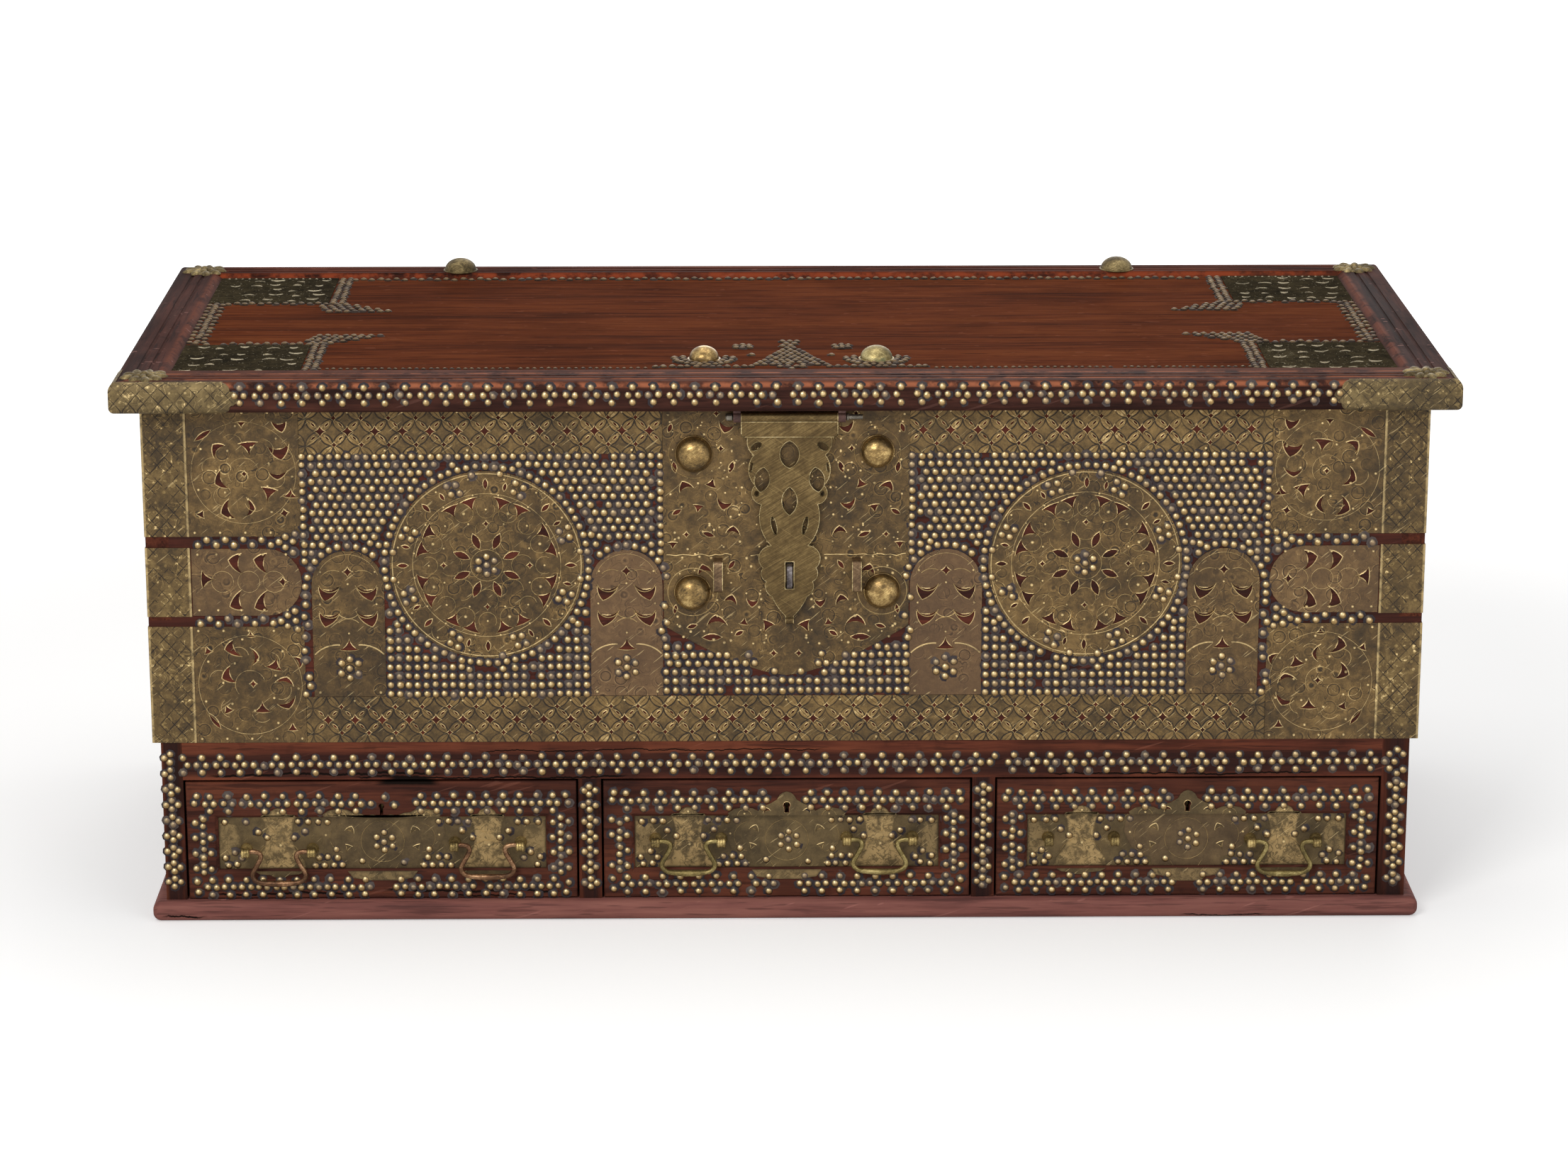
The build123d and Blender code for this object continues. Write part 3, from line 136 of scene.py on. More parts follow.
class Value:
    """A number that changes over a surface; arithmetic on it adds Math nodes."""

    __add__, __radd__ = operator("ADD"), operator("ADD", True)
    __sub__, __rsub__ = operator("SUBTRACT"), operator("SUBTRACT", True)
    __mul__, __rmul__ = operator("MULTIPLY"), operator("MULTIPLY", True)
    __truediv__ = operator("DIVIDE")
    over = operator("MAXIMUM")

    def __init__(self, nodes: Nodes, socket: Socket) -> None:
        """Hold the tree and the socket that gives the number."""
        self.nodes = nodes
        self.socket = socket

    def math(self, operation: str, *terms: Number, clamp: bool = False) -> "Value":
        """Add one Math node.

        Args:
            operation: The node's operation.
            terms: Its inputs in order.
            clamp: Whether the result is held between 0 and 1.

        Returns:
            The node's result.
        """
        settings = {"operation": operation, "use_clamp": clamp}
        return Value(self.nodes, self.nodes.node("ShaderNodeMath", settings, dict(enumerate(terms))).outputs[0])

    def __abs__(self) -> "Value":
        """Size without sign."""
        return self.math("ABSOLUTE", self)

    def fraction(self) -> "Value":
        """What is left over whole numbers."""
        return self.math("FRACT", self)

    def root(self) -> "Value":
        """Square root."""
        return self.math("SQRT", self)

    def clamped(self) -> "Value":
        """Held between 0 and 1."""
        return self.math("ADD", self, 0.0, clamp=True)

    def step(self, low: float, high: float) -> "Value":
        """Rise smoothly from 0 at low to 1 at high, or fall where low is over high.

        Args:
            low: Value where the result is 0.
            high: Value where the result is 1.

        Returns:
            The eased result.
        """
        ends = (high, low, 1.0, 0.0) if low > high else (low, high, 0.0, 1.0)
        settings = {"interpolation_type": "SMOOTHSTEP"}
        node = self.nodes.node("ShaderNodeMapRange", settings, dict(enumerate((self, *ends))))
        return Value(self.nodes, node.outputs[0])

    def line(self, centre: float, half_width: float) -> "Value":
        """1 on a value and 0 a half width away from it."""
        return abs(self - centre).step(half_width, half_width * 0.35)


class Shader(Nodes):
    """A procedural material under construction."""

    def __init__(self, name: str) -> None:
        """Start an empty material."""
        self.material = bpy.data.materials.new(name)
        self.material.use_nodes = True
        super().__init__(self.material.node_tree)
        self.place = self.node("ShaderNodeTexCoord").outputs["Object"]

    def axes(self) -> tuple[Value, Value, Value]:
        """Place on the object along x, y and z, in millimetres."""
        split = self.node("ShaderNodeSeparateXYZ", None, {0: self.scaled(self.place, (1 / MM,) * 3)})
        return tuple(Value(self, output) for output in split.outputs)

    def scaled(self, vector: Socket, by: Place) -> Socket:
        """Stretch a vector along its three axes."""
        return self.node("ShaderNodeVectorMath", {"operation": "MULTIPLY"}, {0: vector, 1: by}).outputs[0]

    def slanted(self, scale: float, angle: float, axis: Place, stretch: Place, detail: int = 1,
                rough: float = 0.4) -> Value:  # fmt: skip
        """Noise drawn out into slanted streaks, for scratches.

        Args:
            scale: Features in a metre.
            angle: Their slant in radians.
            axis: The axis it turns about.
            stretch: How the pattern is drawn out.
            detail: Octaves over the first.
            rough: Strength of the octaves.

        Returns:
            The noise.
        """
        settings = {"rotation_type": "AXIS_ANGLE"}
        inputs = {"Vector": self.place, "Axis": axis, "Angle": angle}
        turned = self.node("ShaderNodeVectorRotate", settings, inputs).outputs[0]
        return self.noise(scale, detail, rough, self.scaled(turned, stretch))

    def noise(self, scale: float, detail: float = 3.0, roughness: float = 0.55, vector: Socket | None = None,
              bend: float = 0.0) -> Value:  # fmt: skip
        """Cloudy noise, even about 0.5.

        Args:
            scale: Features in a metre.
            detail: Octaves over the first.
            roughness: Strength of the octaves.
            vector: Where it is read; the place on the object by default.
            bend: Distortion.

        Returns:
            The noise.
        """
        inputs = {"Scale": scale, "Detail": detail, "Roughness": roughness, "Distortion": bend}
        node = self.node("ShaderNodeTexNoise", None, {"Vector": vector or self.place, **inputs})
        return Value(self, node.outputs[0])

    def cells(self, scale: float, scatter: float) -> Value:
        """Distance from the middles of scattered cells, in cell widths.

        Args:
            scale: Cells in a metre.
            scatter: How far the cells leave an even grid.

        Returns:
            The distance.
        """
        inputs = {"Vector": self.place, "Scale": scale, "Randomness": scatter}
        return Value(self, self.node("ShaderNodeTexVoronoi", None, inputs).outputs["Distance"])

    def attribute(self, name: str) -> Value:
        """A number kept on the mesh."""
        return Value(self, self.node("ShaderNodeAttribute", {"attribute_name": name}).outputs["Fac"])

    def mix(self, share: Number, first: Socket | Colour, second: Socket | Colour) -> Socket:
        """Blend two colours.

        Args:
            share: How much of the second shows.
            first: Colour shown at 0.
            second: Colour shown at 1.

        Returns:
            The colour.
        """
        return self.node("ShaderNodeMix", {"data_type": "RGBA"}, {0: share, 6: first, 7: second}).outputs[2]

    def ramp(self, value: Value, *stops: tuple[float, Colour]) -> Socket:
        """Colours along a number."""
        return self.node("ShaderNodeValToRGB", {"stops": stops}, {0: value}).outputs[0]

    def bump(self, height: Value, depth: float, strength: float) -> Socket:
        """A normal from a height between 0 and 1.

        Args:
            height: The relief.
            depth: Its depth in millimetres.
            strength: Share of the relief that shows.

        Returns:
            The normal.
        """
        inputs = {"Height": height, "Distance": depth * MM, "Strength": strength}
        return self.node("ShaderNodeBump", None, inputs).outputs[0]

    def surface(self, **sockets: object) -> Material:
        """Close the material with its one surface shader.

        Args:
            sockets: Values of the shader's inputs, an underscore standing for a space.

        Returns:
            The material.
        """
        inputs = {name.replace("_", " "): value for name, value in sockets.items()}
        shader = self.node("ShaderNodeBsdfPrincipled", None, inputs)
        self.node("ShaderNodeOutputMaterial", None, {0: shader.outputs[0]})
        return self.material


def toned(colour: Colour, by: float, lift: float = 0.0) -> Colour:
    """A lighter or darker shade of a colour."""
    return tuple(min(1.0, part * by + lift) for part in colour)


# ------------------------------------------------------------------ finishes
class Finish:
    """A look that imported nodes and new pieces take."""

    def material(self) -> Material:
        """Build the finish."""
        raise NotImplementedError

    def on(self, *nodes: str) -> Material:
        """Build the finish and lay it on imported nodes.

        Args:
            nodes: Their names.

        Returns:
            The material.
        """
        material = self.material()
        for name in nodes:
            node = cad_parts[name]
            if not node.material_slots:
                node.data.materials.append(material)
            for slot in node.material_slots:
                slot.material = material
        log.info("%s: %s", material.name, ", ".join(nodes))
        return material


class Grain(Enum):
    """The way a board's grain runs, as the stretch of its pattern."""

    ALONG_X = (0.06, 1.0, 1.0)
    ALONG_Y = (1.0, 0.06, 1.0)
    ALONG_Z = (1.0, 1.0, 0.06)


@dataclass(frozen=True)
class BoardLine:
    """A line on a board: worn stain, in some places carrying a painted highlight, or dirt with painted shade along a
    row of tacks.
    """

    axis: int
    place: float
    width: float


@dataclass(frozen=True)
class Crack:
    """A ragged split along a board."""

    height: float
    start: float
    end: float
    width: float = 0.7
    wander: float = 3.0


@dataclass(frozen=True)
class WoodFinish(Finish):
    """Waxed, stained hardwood with dark pores, worn edges, old scratches, painted highlight lines along some
    mouldings, and dirt with painted shade along rows of tacks.
    """

    name: str
    grain: Grain
    dark: Colour = (0.020, 0.0085, 0.0065)
    body: Colour = (0.078, 0.022, 0.013)
    light: Colour = (0.155, 0.044, 0.022)
    # bare worn wood; also the colour of the painted highlight lines along some mouldings
    worn: Colour = (0.29, 0.082, 0.032)
    # colour of the dirt and painted shade along rows of tacks
    dirt_and_shade: Colour = (0.017, 0.010, 0.010)
    gap: Colour = (0.006, 0.003, 0.002)
    darkening: float = 0.35
    scratches: float = 0.15
    gloss: float = 0.5
    specular: float = 0.05
    # lines of worn stain, some carrying a painted highlight
    wear_and_highlight_lines: tuple[BoardLine, ...] = ()
    # rows of tacks along which dirt and painted shade lie
    dirty_shaded_rows: tuple[BoardLine, ...] = ()
    cracks: tuple[Crack, ...] = ()

    def material(self) -> Material:
        """Build the finish.

        Returns:
            The material.
        """
        shader = Shader(self.name)
        along = shader.scaled(shader.place, self.grain.value)
        figure = shader.noise(26, 4, 0.6, along, 0.6)
        streak = shader.noise(170, 3, 0.65, along)
        pores = shader.noise(520, 2, 0.5, shader.scaled(along, (0.6, 0.6, 0.6)))
        cloud = shader.noise(7, 4, 0.6)
        tone = (figure * 0.55 + streak * 0.45).step(0.30, 0.72)
        colour = shader.ramp(tone, (0.0, self.dark), (0.45, self.body), (1.0, self.light))
        pore = pores.step(0.42, 0.34) * 0.55
        colour = shader.mix(pore, colour, self.dark)
        dirt = cloud.step(0.46, 0.66) * self.darkening + shader.noise(60, 3).step(0.55, 0.72) * self.darkening * 0.6
        colour = shader.mix(dirt.clamped(), colour, self.dark)
        # dirt and painted shade along the rows of tacks on the front
        if self.dirty_shaded_rows:
            colour = shader.mix(self._dirt_and_shade_mask(shader), colour, self.dirt_and_shade)
        colour = shader.mix(self._wear_and_highlight(shader), colour, self.worn)
        nick = shader.slanted(240, 0.35, (0.3, 1.0, 0.4), (0.03, 0.5, 1.0)).step(0.70, 0.75) * self.scratches
        colour = shader.mix(nick, colour, toned(self.light, 2.2, 0.05))
        rough = self.gloss + 0.22 * figure + 0.12 * dirt
        relief = figure * 0.5 + streak * 0.5 - pore * 0.5 - nick
        if self.cracks:
            split = self._split(shader)
            colour = shader.mix(split, colour, self.gap)
            relief = relief - split * 2.0
        return shader.surface(
            Base_Color=colour,
            Roughness=rough.clamped(),
            Normal=shader.bump(relief, 0.35, 0.8),
            Specular_IOR_Level=self.specular,
        )

    def _split(self, shader: Shader) -> Value:
        """The board's cracks.

        Args:
            shader: The finish being built.

        Returns:
            1 in a crack, 0 elsewhere.
        """
        x, _, z = shader.axes()
        ragged = shader.noise(22, 5, 0.7, shader.scaled(shader.place, (1.0, 1.0, 0.05))) - 0.5
        splits = []
        for crack in self.cracks:
            away = abs(z - crack.height - ragged * crack.wander * 4)
            ends = (x - crack.start).step(0.0, 14.0) * (crack.end - x).step(0.0, 14.0)
            splits.append(away.step(crack.width * 1.7, crack.width * 0.6) * ends)
        return reduce(Value.over, splits)

    def _dirt_and_shade_mask(self, shader: Shader) -> Value:
        """Wax and dirt gathered round the rows of tacks on the board's front, with painted shade between the tacks.

        Args:
            shader: The finish being built.

        Returns:
            Share of dirt and painted shade.
        """
        axes = shader.axes()
        bands = [abs(axes[row.axis] - row.place).step(row.width * 1.25, row.width * 0.7) for row in self.dirty_shaded_rows]
        return reduce(Value.over, bands) * axes[1].step(-245.0, -250.0) * 0.72

    def _wear_and_highlight(self, shader: Shader) -> Value:
        """Worn patches, and lines along the board's edges: worn stain, on some mouldings carrying a painted highlight.

        Args:
            shader: The finish being built.

        Returns:
            Share of bare wood.
        """
        axes = shader.axes()
        patchy = shader.noise(45, 4, 0.65)
        worn = patchy.step(0.70, 0.86) * 0.35
        for rub in self.wear_and_highlight_lines:
            near = abs(axes[rub.axis] - rub.place).step(rub.width, rub.width * 0.15)
            worn = worn.over(near * patchy.step(0.36, 0.58))
        return worn


class Engraving(Enum):
    """Ornament cut into a brass sheet."""

    SCROLL = "scroll"
    LATTICE = "lattice"
    HATCH = "hatch"
    PLAIN = "plain"


@dataclass(frozen=True)
class SheetFinish(Finish):
    """Old sheet brass: brown patina, bright where rubbed, engraved and dented."""

    name: str
    engraving: Engraving = Engraving.SCROLL
    dark: Colour = (0.032, 0.024, 0.017)
    body: Colour = (0.109, 0.068, 0.029)
    light: Colour = (0.236, 0.147, 0.055)
    bright: Colour = (0.80, 0.60, 0.29)
    copper: Colour = (0.135, 0.078, 0.043)
    pitch: float = 25.9
    strip_middle: float = 202.5  # the strips' middle lines lie on whole pitches from here
    depth: float = 0.7
    mottled: float = 0.42
    metallic: float = 0.55
    folds: tuple[float, ...] = ()

    def material(self) -> Material:
        """Build the finish.

        Returns:
            The material.
        """
        shader = Shader(self.name)
        cut = self._cut(shader)
        cloud = shader.noise(14, 4, 0.6)
        mottle = shader.noise(95, 4, 0.65, bend=0.4)
        fine = shader.noise(620, 2, 0.6)
        even = 0.275 - self.mottled * 0.5
        tone = mottle * self.mottled + even + cloud * 0.45 + fine * 0.14 - 0.04 + cut * 0.26
        tone = tone.step(0.30, 0.88)
        colour = shader.ramp(tone, (0.0, self.dark), (0.35, self.body), (0.75, self.light), (1.0, self.bright))
        redder = shader.mix(tone * 0.6, self.copper, toned(self.copper, 1.9))
        colour = shader.mix(shader.attribute("copper") * 0.7, colour, redder)
        curls = shader.noise(120, 1.5, 0.5, bend=1.1)
        golden = shader.mix(curls.line(0.5, 0.04), toned(self.light, 2.4), self.light)
        rubbed_face = shader.attribute("gold") * (0.15 + mottle.step(0.36, 0.58) * 0.9)
        colour = shader.mix(rubbed_face.clamped(), colour, golden)
        colour = shader.mix(cut.step(-0.1, -0.7) * 0.75, colour, self.dark)
        worn = shader.attribute("worn")
        for fold in self.folds:
            x, y, _ = shader.axes()
            worn = worn.over(abs(abs(x) - fold).step(1.8, 0.3) * y.step(-249.0, FRONT_FACE) * 0.4)
        rubbed = (worn * (0.25 + mottle.step(0.30, 0.55) * 0.75)).over((cut * mottle).step(0.26, 0.50) * 0.45)
        colour = shader.mix(rubbed.clamped(), colour, self.bright)
        scratch = shader.slanted(700, 0.7, (0.2, 1.0, 0.1), (0.08, 0.5, 1.0)).step(0.68, 0.76)
        colour = shader.mix(scratch * 0.35, colour, self.bright)
        rough = 0.52 - rubbed * 0.14 + (1 - tone) * 0.12
        relief = cut * 0.5 + mottle * 0.35 + fine * 0.10 + cloud * 0.5 - scratch * 0.2
        return shader.surface(
            Base_Color=colour,
            Roughness=rough.clamped(),
            Metallic=(self.metallic + rubbed * 0.3).clamped(),
            Normal=shader.bump(relief, self.depth, 0.9),
            Specular_IOR_Level=self.metallic * 0.6,
        )

    def _cut(self, shader: Shader) -> Value:
        """The ornament: below 0 in a cut, over 0 on a raised edge.

        Args:
            shader: The finish being built.

        Returns:
            The height of the ornament.
        """
        if self.engraving is Engraving.PLAIN:
            return shader.noise(40, 2).step(0.45, 0.75) * 0.4
        if self.engraving is Engraving.HATCH:
            return self._hatch(shader)
        if self.engraving is Engraving.LATTICE:
            return self._lattice(shader)
        round_cell = shader.cells(50, 0.75)
        broad = shader.noise(62, 1.2, 0.5, bend=1.0)
        groove = round_cell.line(0.31, 0.025).over(broad.line(0.50, 0.012) * 0.8)
        groove = groove.over(broad.line(0.62, 0.012) * 0.6)
        crest = round_cell.line(0.36, 0.03).over(round_cell.step(0.09, 0.04)).over(broad.line(0.52, 0.014) * 0.8)
        worn_down = 0.15 + 0.85 * shader.noise(28, 3).step(0.40, 0.62)
        return (crest * 0.42 - groove * 0.55) * worn_down

    @staticmethod
    def _hatch(shader: Shader) -> Value:
        """Crossed lines with dots between them.

        Args:
            shader: The finish being built.

        Returns:
            The height of the ornament.
        """
        x, y, z = shader.axes()
        slant = x + z * 0.9 + y * 0.9
        other = x - z * 0.9 - y * 0.9
        lines = (slant / 14.0).fraction().line(0.5, 0.06).over((other / 14.0).fraction().line(0.5, 0.06))
        dots = shader.cells(110, 0.5).step(0.22, 0.12)
        broad = shader.noise(70, 2, 0.5, bend=1.0)
        return broad.line(0.55, 0.02) * 0.5 + dots * 0.5 - lines * broad.step(0.35, 0.60) * 0.7

    def _lattice(self, shader: Shader) -> Value:
        """Flowers of four petals on crossing rings.

        Args:
            shader: The finish being built.

        Returns:
            The height of the ornament.
        """
        x, _, z = shader.axes()
        wave = shader.noise(50, 1) * 2.5
        across = abs(((x + wave) / self.pitch + 0.5).fraction() - 0.5)
        along = abs(((z + wave - self.strip_middle) / self.pitch + 0.5).fraction() - 0.5)
        from_middle = (across * across + along * along).root()
        side, top = 0.5 - across, 0.5 - along
        low, high = (side * side + along * along).root(), (across * across + top * top).root()
        petal = low.step(0.50, 0.46) * high.step(0.50, 0.46)
        rim = low.line(0.5, 0.035).over(high.line(0.5, 0.035)) * low.step(0.58, 0.52) * high.step(0.58, 0.52)
        vein = (across - along).line(0.0, 0.03) * petal
        eye = from_middle.line(0.17, 0.03)
        worn_down = 0.45 + 0.55 * shader.noise(35, 3).step(0.38, 0.60)
        return (petal * 0.40 - rim * 0.75 - vein * 0.55 - eye * 0.4) * worn_down


@dataclass(frozen=True)
class TackFinish(Finish):
    """Domed brass tack heads: rubbed gold on top, darker down the flanks to a near-black foot and skirt (painted
    shade, with some dirt), and a painted highlight.
    """

    name: str
    crown: Colour = (0.26, 0.165, 0.068)
    flank: Colour = (0.150, 0.104, 0.064)
    foot: Colour = (0.034, 0.027, 0.031)
    # colour of the painted highlight on the upper left of each crown
    painted_highlight: Colour = (0.88, 0.71, 0.40)
    metal: float = 1.0

    def material(self) -> Material:
        """Build the finish.

        Returns:
            The material.
        """
        shader = Shader(self.name)
        edge, shade = shader.attribute("edge"), shader.attribute("shade")
        speck = shader.noise(900, 2, 0.6)
        # the ramp darkens from crown to foot and skirt: painted shade down the flanks and between the tacks, with some
        # dirt
        tone = (edge + (speck - 0.5) * 0.35 + shade * 0.25).clamped()
        stops = ((0.0, self.crown), (0.42, self.crown), (0.72, self.flank), (0.86, self.foot), (1.0, self.foot))
        dull = (self.flank[0] * 0.85, self.flank[1] * 0.95, self.flank[2] * 1.35)
        colour = shader.mix(shade.step(0.45, 1.0) * 0.6, shader.ramp(tone, *stops), dull)
        # painted highlight on the upper left of the crown, weaker on dull tacks
        colour = shader.mix(shader.attribute("painted_highlight_spot") * (1 - shade * 0.7), colour, self.painted_highlight)
        return shader.surface(
            Base_Color=colour,
            Roughness=(0.22 + tone * 0.3 + speck * 0.1).clamped(),
            Metallic=tone.step(0.92, 0.62) * self.metal,
            Normal=shader.bump(speck, 0.12, 0.5),
            Specular_IOR_Level=0.15 * self.metal,
        )


@dataclass(frozen=True)
class CastFinish(Finish):
    """Cast or beaten brass: brown in the hollows, streaked gold where it is handled."""

    name: str
    dark: Colour = (0.055, 0.034, 0.014)
    body: Colour = (0.23, 0.145, 0.048)
    bright: Colour = (0.62, 0.44, 0.18)
    green: float = 0.0
    brushed: float = 0.3
    metallic: float = 0.85
    roughness: float = 0.32
    cloudy: float = 0.7
    verdigris: Colour = (0.17, 0.19, 0.10)

    def material(self) -> Material:
        """Build the finish.

        Returns:
            The material.
        """
        shader = Shader(self.name)
        cloud = shader.noise(48, 5, 0.62, bend=0.5)
        fine = shader.noise(430, 3, 0.6)
        streak = shader.slanted(1300, 0.55, (0.0, 1.0, 0.0), (0.05, 1.0, 1.0), 2, 0.5)
        even = 0.35 - self.cloudy * 0.5
        tone = cloud * self.cloudy + even + fine * 0.2 + (streak - 0.5) * self.brushed + 0.05
        tone = tone.step(0.30, 0.74)
        colour = shader.ramp(tone, (0.0, self.dark), (0.5, self.body), (1.0, self.bright))
        # painted shade on the steep flanks of domes, where the mesh marks it
        colour = shader.mix(shader.attribute("painted_rim_shade") * (0.4 + cloud * 0.5), colour, toned(self.dark, 1.7))
        rust = shader.noise(70, 4, 0.6).step(0.52, 0.66) * self.green
        colour = shader.mix(rust, colour, self.verdigris)
        scratch = shader.slanted(700, -0.6, (0.0, 1.0, 0.0), (0.04, 1.0, 1.0)).step(0.68, 0.74) * self.brushed
        colour = shader.mix(scratch * 0.6, colour, toned(self.bright, 1.4))
        rough = self.roughness + (1 - tone) * 0.18 + (streak - 0.5) * self.brushed * 0.3 + rust * 0.3
        relief = cloud * 0.4 + fine * 0.2 + streak * self.brushed - scratch * 0.3
        return shader.surface(
            Base_Color=colour,
            Roughness=rough.clamped(),
            Metallic=(self.metallic - rust * 0.5).clamped(),
            Normal=shader.bump(relief, 0.22, 0.7),
        )


# ------------------------------------------------------------------ flat drawing
def turn(point: Point, angle: float) -> Point:
    """Turn a point about the origin by an angle in degrees."""
    c, s = math.cos(math.radians(angle)), math.sin(math.radians(angle))
    return point[0] * c - point[1] * s, point[0] * s + point[1] * c


def around(centre: Point, radius: float, angle: float) -> Point:
    """The place at a radius over a centre, turned about it by an angle in degrees."""
    x, z = turn((0, radius), angle)
    return centre[0] + x, centre[1] + z


def shifted(points: Iterable[Point], by: Point, angle: float = 0.0) -> list[Point]:
    """Turn points about the origin, then move them."""
    return [(x + by[0], z + by[1]) for x, z in (turn(p, angle) for p in points)]


def mirrored(points: Sequence[Point], side: int = -1) -> list[Point]:
    """An outline drawn for the right, on the right (1) or the left (-1), run the same way round."""
    return [(side * x, z) for x, z in points][::side]


def both_halves(middle: float, half: Sequence[Point]) -> list[Point]:
    """An outline from its right half, given from its middle line."""
    return [(middle + x, z) for x, z in half] + [(middle - x, z) for x, z in reversed(half) if x > 0]


def rectangle(x: Point, z: Point) -> list[Point]:
    """A rectangle from its ends across and up."""
    return [(x[0], z[0]), (x[1], z[0]), (x[1], z[1]), (x[0], z[1])]


def bowed(corners: Sequence[Point], bows: Sequence[float], steps: int = 4) -> list[Point]:
    """A closed outline whose sides are bowed.

    Args:
        corners: Its corners, anticlockwise.
        bows: How far each side's middle leaves the straight line, as a share of the side; outwards is positive.
        steps: Pieces each side is made of.

    Returns:
        The points of the outline.
    """
    points = []
    for (x0, z0), (x1, z1), bow in zip(corners, [*corners[1:], corners[0]], bows):
        middle = (x0 + x1) / 2 + (z1 - z0) * bow * 2, (z0 + z1) / 2 - (x1 - x0) * bow * 2
        for i in range(steps):
            t = i / steps
            a, b, c = (1 - t) ** 2, 2 * t * (1 - t), t * t
            points.append((a * x0 + b * middle[0] + c * x1, a * z0 + b * middle[1] + c * z1))
    return points


def leaf(width: float, length: float) -> list[Point]:
    """A pointed oval standing upright."""
    return bowed([(0, -length / 2), (0, length / 2)], [width / length / 2] * 2, 5)


def star(size: float) -> list[Point]:
    """A diamond with hollow sides."""
    return bowed([(size / 2, 0), (0, size / 2), (-size / 2, 0), (0, -size / 2)], [-0.14] * 4, 3)


def horned(width: float, height: float, lean: float = 0.0) -> list[Point]:
    """A crescent with its horns up: the cut left between two scallops."""
    width, height = width * 1.12, height * 1.12
    corners = [(-width / 2, height / 2), (-width * 0.08 + lean, -height / 2), (width / 2, height / 2)]
    return bowed(corners, [0.11, 0.10, -0.19], 5)


def wedge(width: float, height: float) -> list[Point]:
    """A three-cornered cut with hollow sides, broad end up."""
    hollow = -0.15 * min(1.0, width / height / 1.3)
    return bowed([(-width / 2, height / 2), (0, -height / 2), (width / 2, height / 2)], [hollow, hollow, 0.05], 4)


# ------------------------------------------------------------------ mesh work
class Facing(Enum):
    """The side of the chest that a flat piece lies on."""

    FRONT = "front"
    TOP = "top"

    def matrix(self, level: float) -> Matrix:
        """Place of a piece drawn across and up, with its height as a third axis.

        Args:
            level: Where its face lies, along y on the front and along z on the top.

        Returns:
            The transform into the chest's frame.
        """
        if self is Facing.FRONT:
            return Matrix(((1, 0, 0, 0), (0, 0, -1, level), (0, 1, 0, 0), (0, 0, 0, 1)))
        return Matrix.Translation((0, 0, level))


@dataclass
class Bench:
    """A mesh being made, in millimetres."""

    mesh: bmesh.types.BMesh = field(default_factory=bmesh.new)

    def spin_profile(self, profile: Sequence[Point], steps: int, place: Matrix) -> None:
        """Turn a profile of radius and height about its own axis.

        Args:
            profile: Radius and height of each corner, from one pole to the other.
            steps: Sides of the turned shape.
            place: Where it stands.
        """
        work = bmesh.new()
        points = [work.verts.new((radius, 0, height)) for radius, height in profile]
        edges = [work.edges.new(pair) for pair in zip(points, points[1:])]
        spin_about_z(work, points + edges, math.tau, steps)
        bmesh.ops.recalc_face_normals(work, faces=work.faces[:])
        bmesh.ops.transform(work, matrix=place, verts=work.verts[:])
        self.take(work)

    def take(self, work: bmesh.types.BMesh) -> None:
        """Add another mesh to this one and free it."""
        kept = bpy.data.meshes.new("kept")
        work.to_mesh(kept)
        work.free()
        self.mesh.from_mesh(kept)
        bpy.data.meshes.remove(kept)

    def sweep(self, path: Sequence[Vector], radii: Sequence[float], sides: int = 10) -> None:
        """A round bar along a path.

        Args:
            path: Its middle line.
            radii: Its radius at each point of the line.
            sides: Sides of its section.
        """
        work = bmesh.new()
        rings = []
        for i, (point, radius) in enumerate(zip(path, radii)):
            ahead, behind = path[min(i + 1, len(path) - 1)], path[max(i - 1, 0)]
            turned = (ahead - behind).normalized().to_track_quat("Z", "Y").to_matrix().to_4x4()
            place = Matrix.Translation(point) @ turned
            ring = bmesh.ops.create_circle(work, segments=sides, radius=radius, matrix=place)["verts"]
            rings.append(list({edge for vert in ring for edge in vert.link_edges}))
        for start, end in zip(rings, rings[1:]):
            bmesh.ops.bridge_loops(work, edges=start + end)
        bmesh.ops.holes_fill(work, edges=rings[0] + rings[-1], sides=sides)
        bmesh.ops.recalc_face_normals(work, faces=work.faces[:])
        self.take(work)

    def finish(self, name: str, body: str, material: Material, slot: str, replaces: Sequence[str] = (),
               crease: float = 32.0) -> bpy.types.Object:  # fmt: skip
        """Turn the mesh into a piece of the chest.

        Args:
            name: Name of the piece.
            body: The body it moves with.
            material: Its finish.
            slot: Not used.
            replaces: Nodes that it stands for.
            crease: Angle in degrees past which an edge stays sharp.

        Returns:
            The piece.
        """
        bmesh.ops.transform(self.mesh, matrix=Matrix.Scale(MM, 4), verts=self.mesh.verts[:])
        data = bpy.data.meshes.new(name)
        self.mesh.to_mesh(data)
        self.mesh.free()
        data.materials.append(material)
        data.shade_smooth()
        data.set_sharp_from_angle(angle=math.radians(crease))
        piece = bpy.data.objects.new(name, data)
        bpy.context.scene.collection.objects.link(piece)
        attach(piece, body)
        if replaces:
            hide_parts(*replaces)
        log.info("%s: %d faces on %s", name, len(data.polygons), body)
        return piece


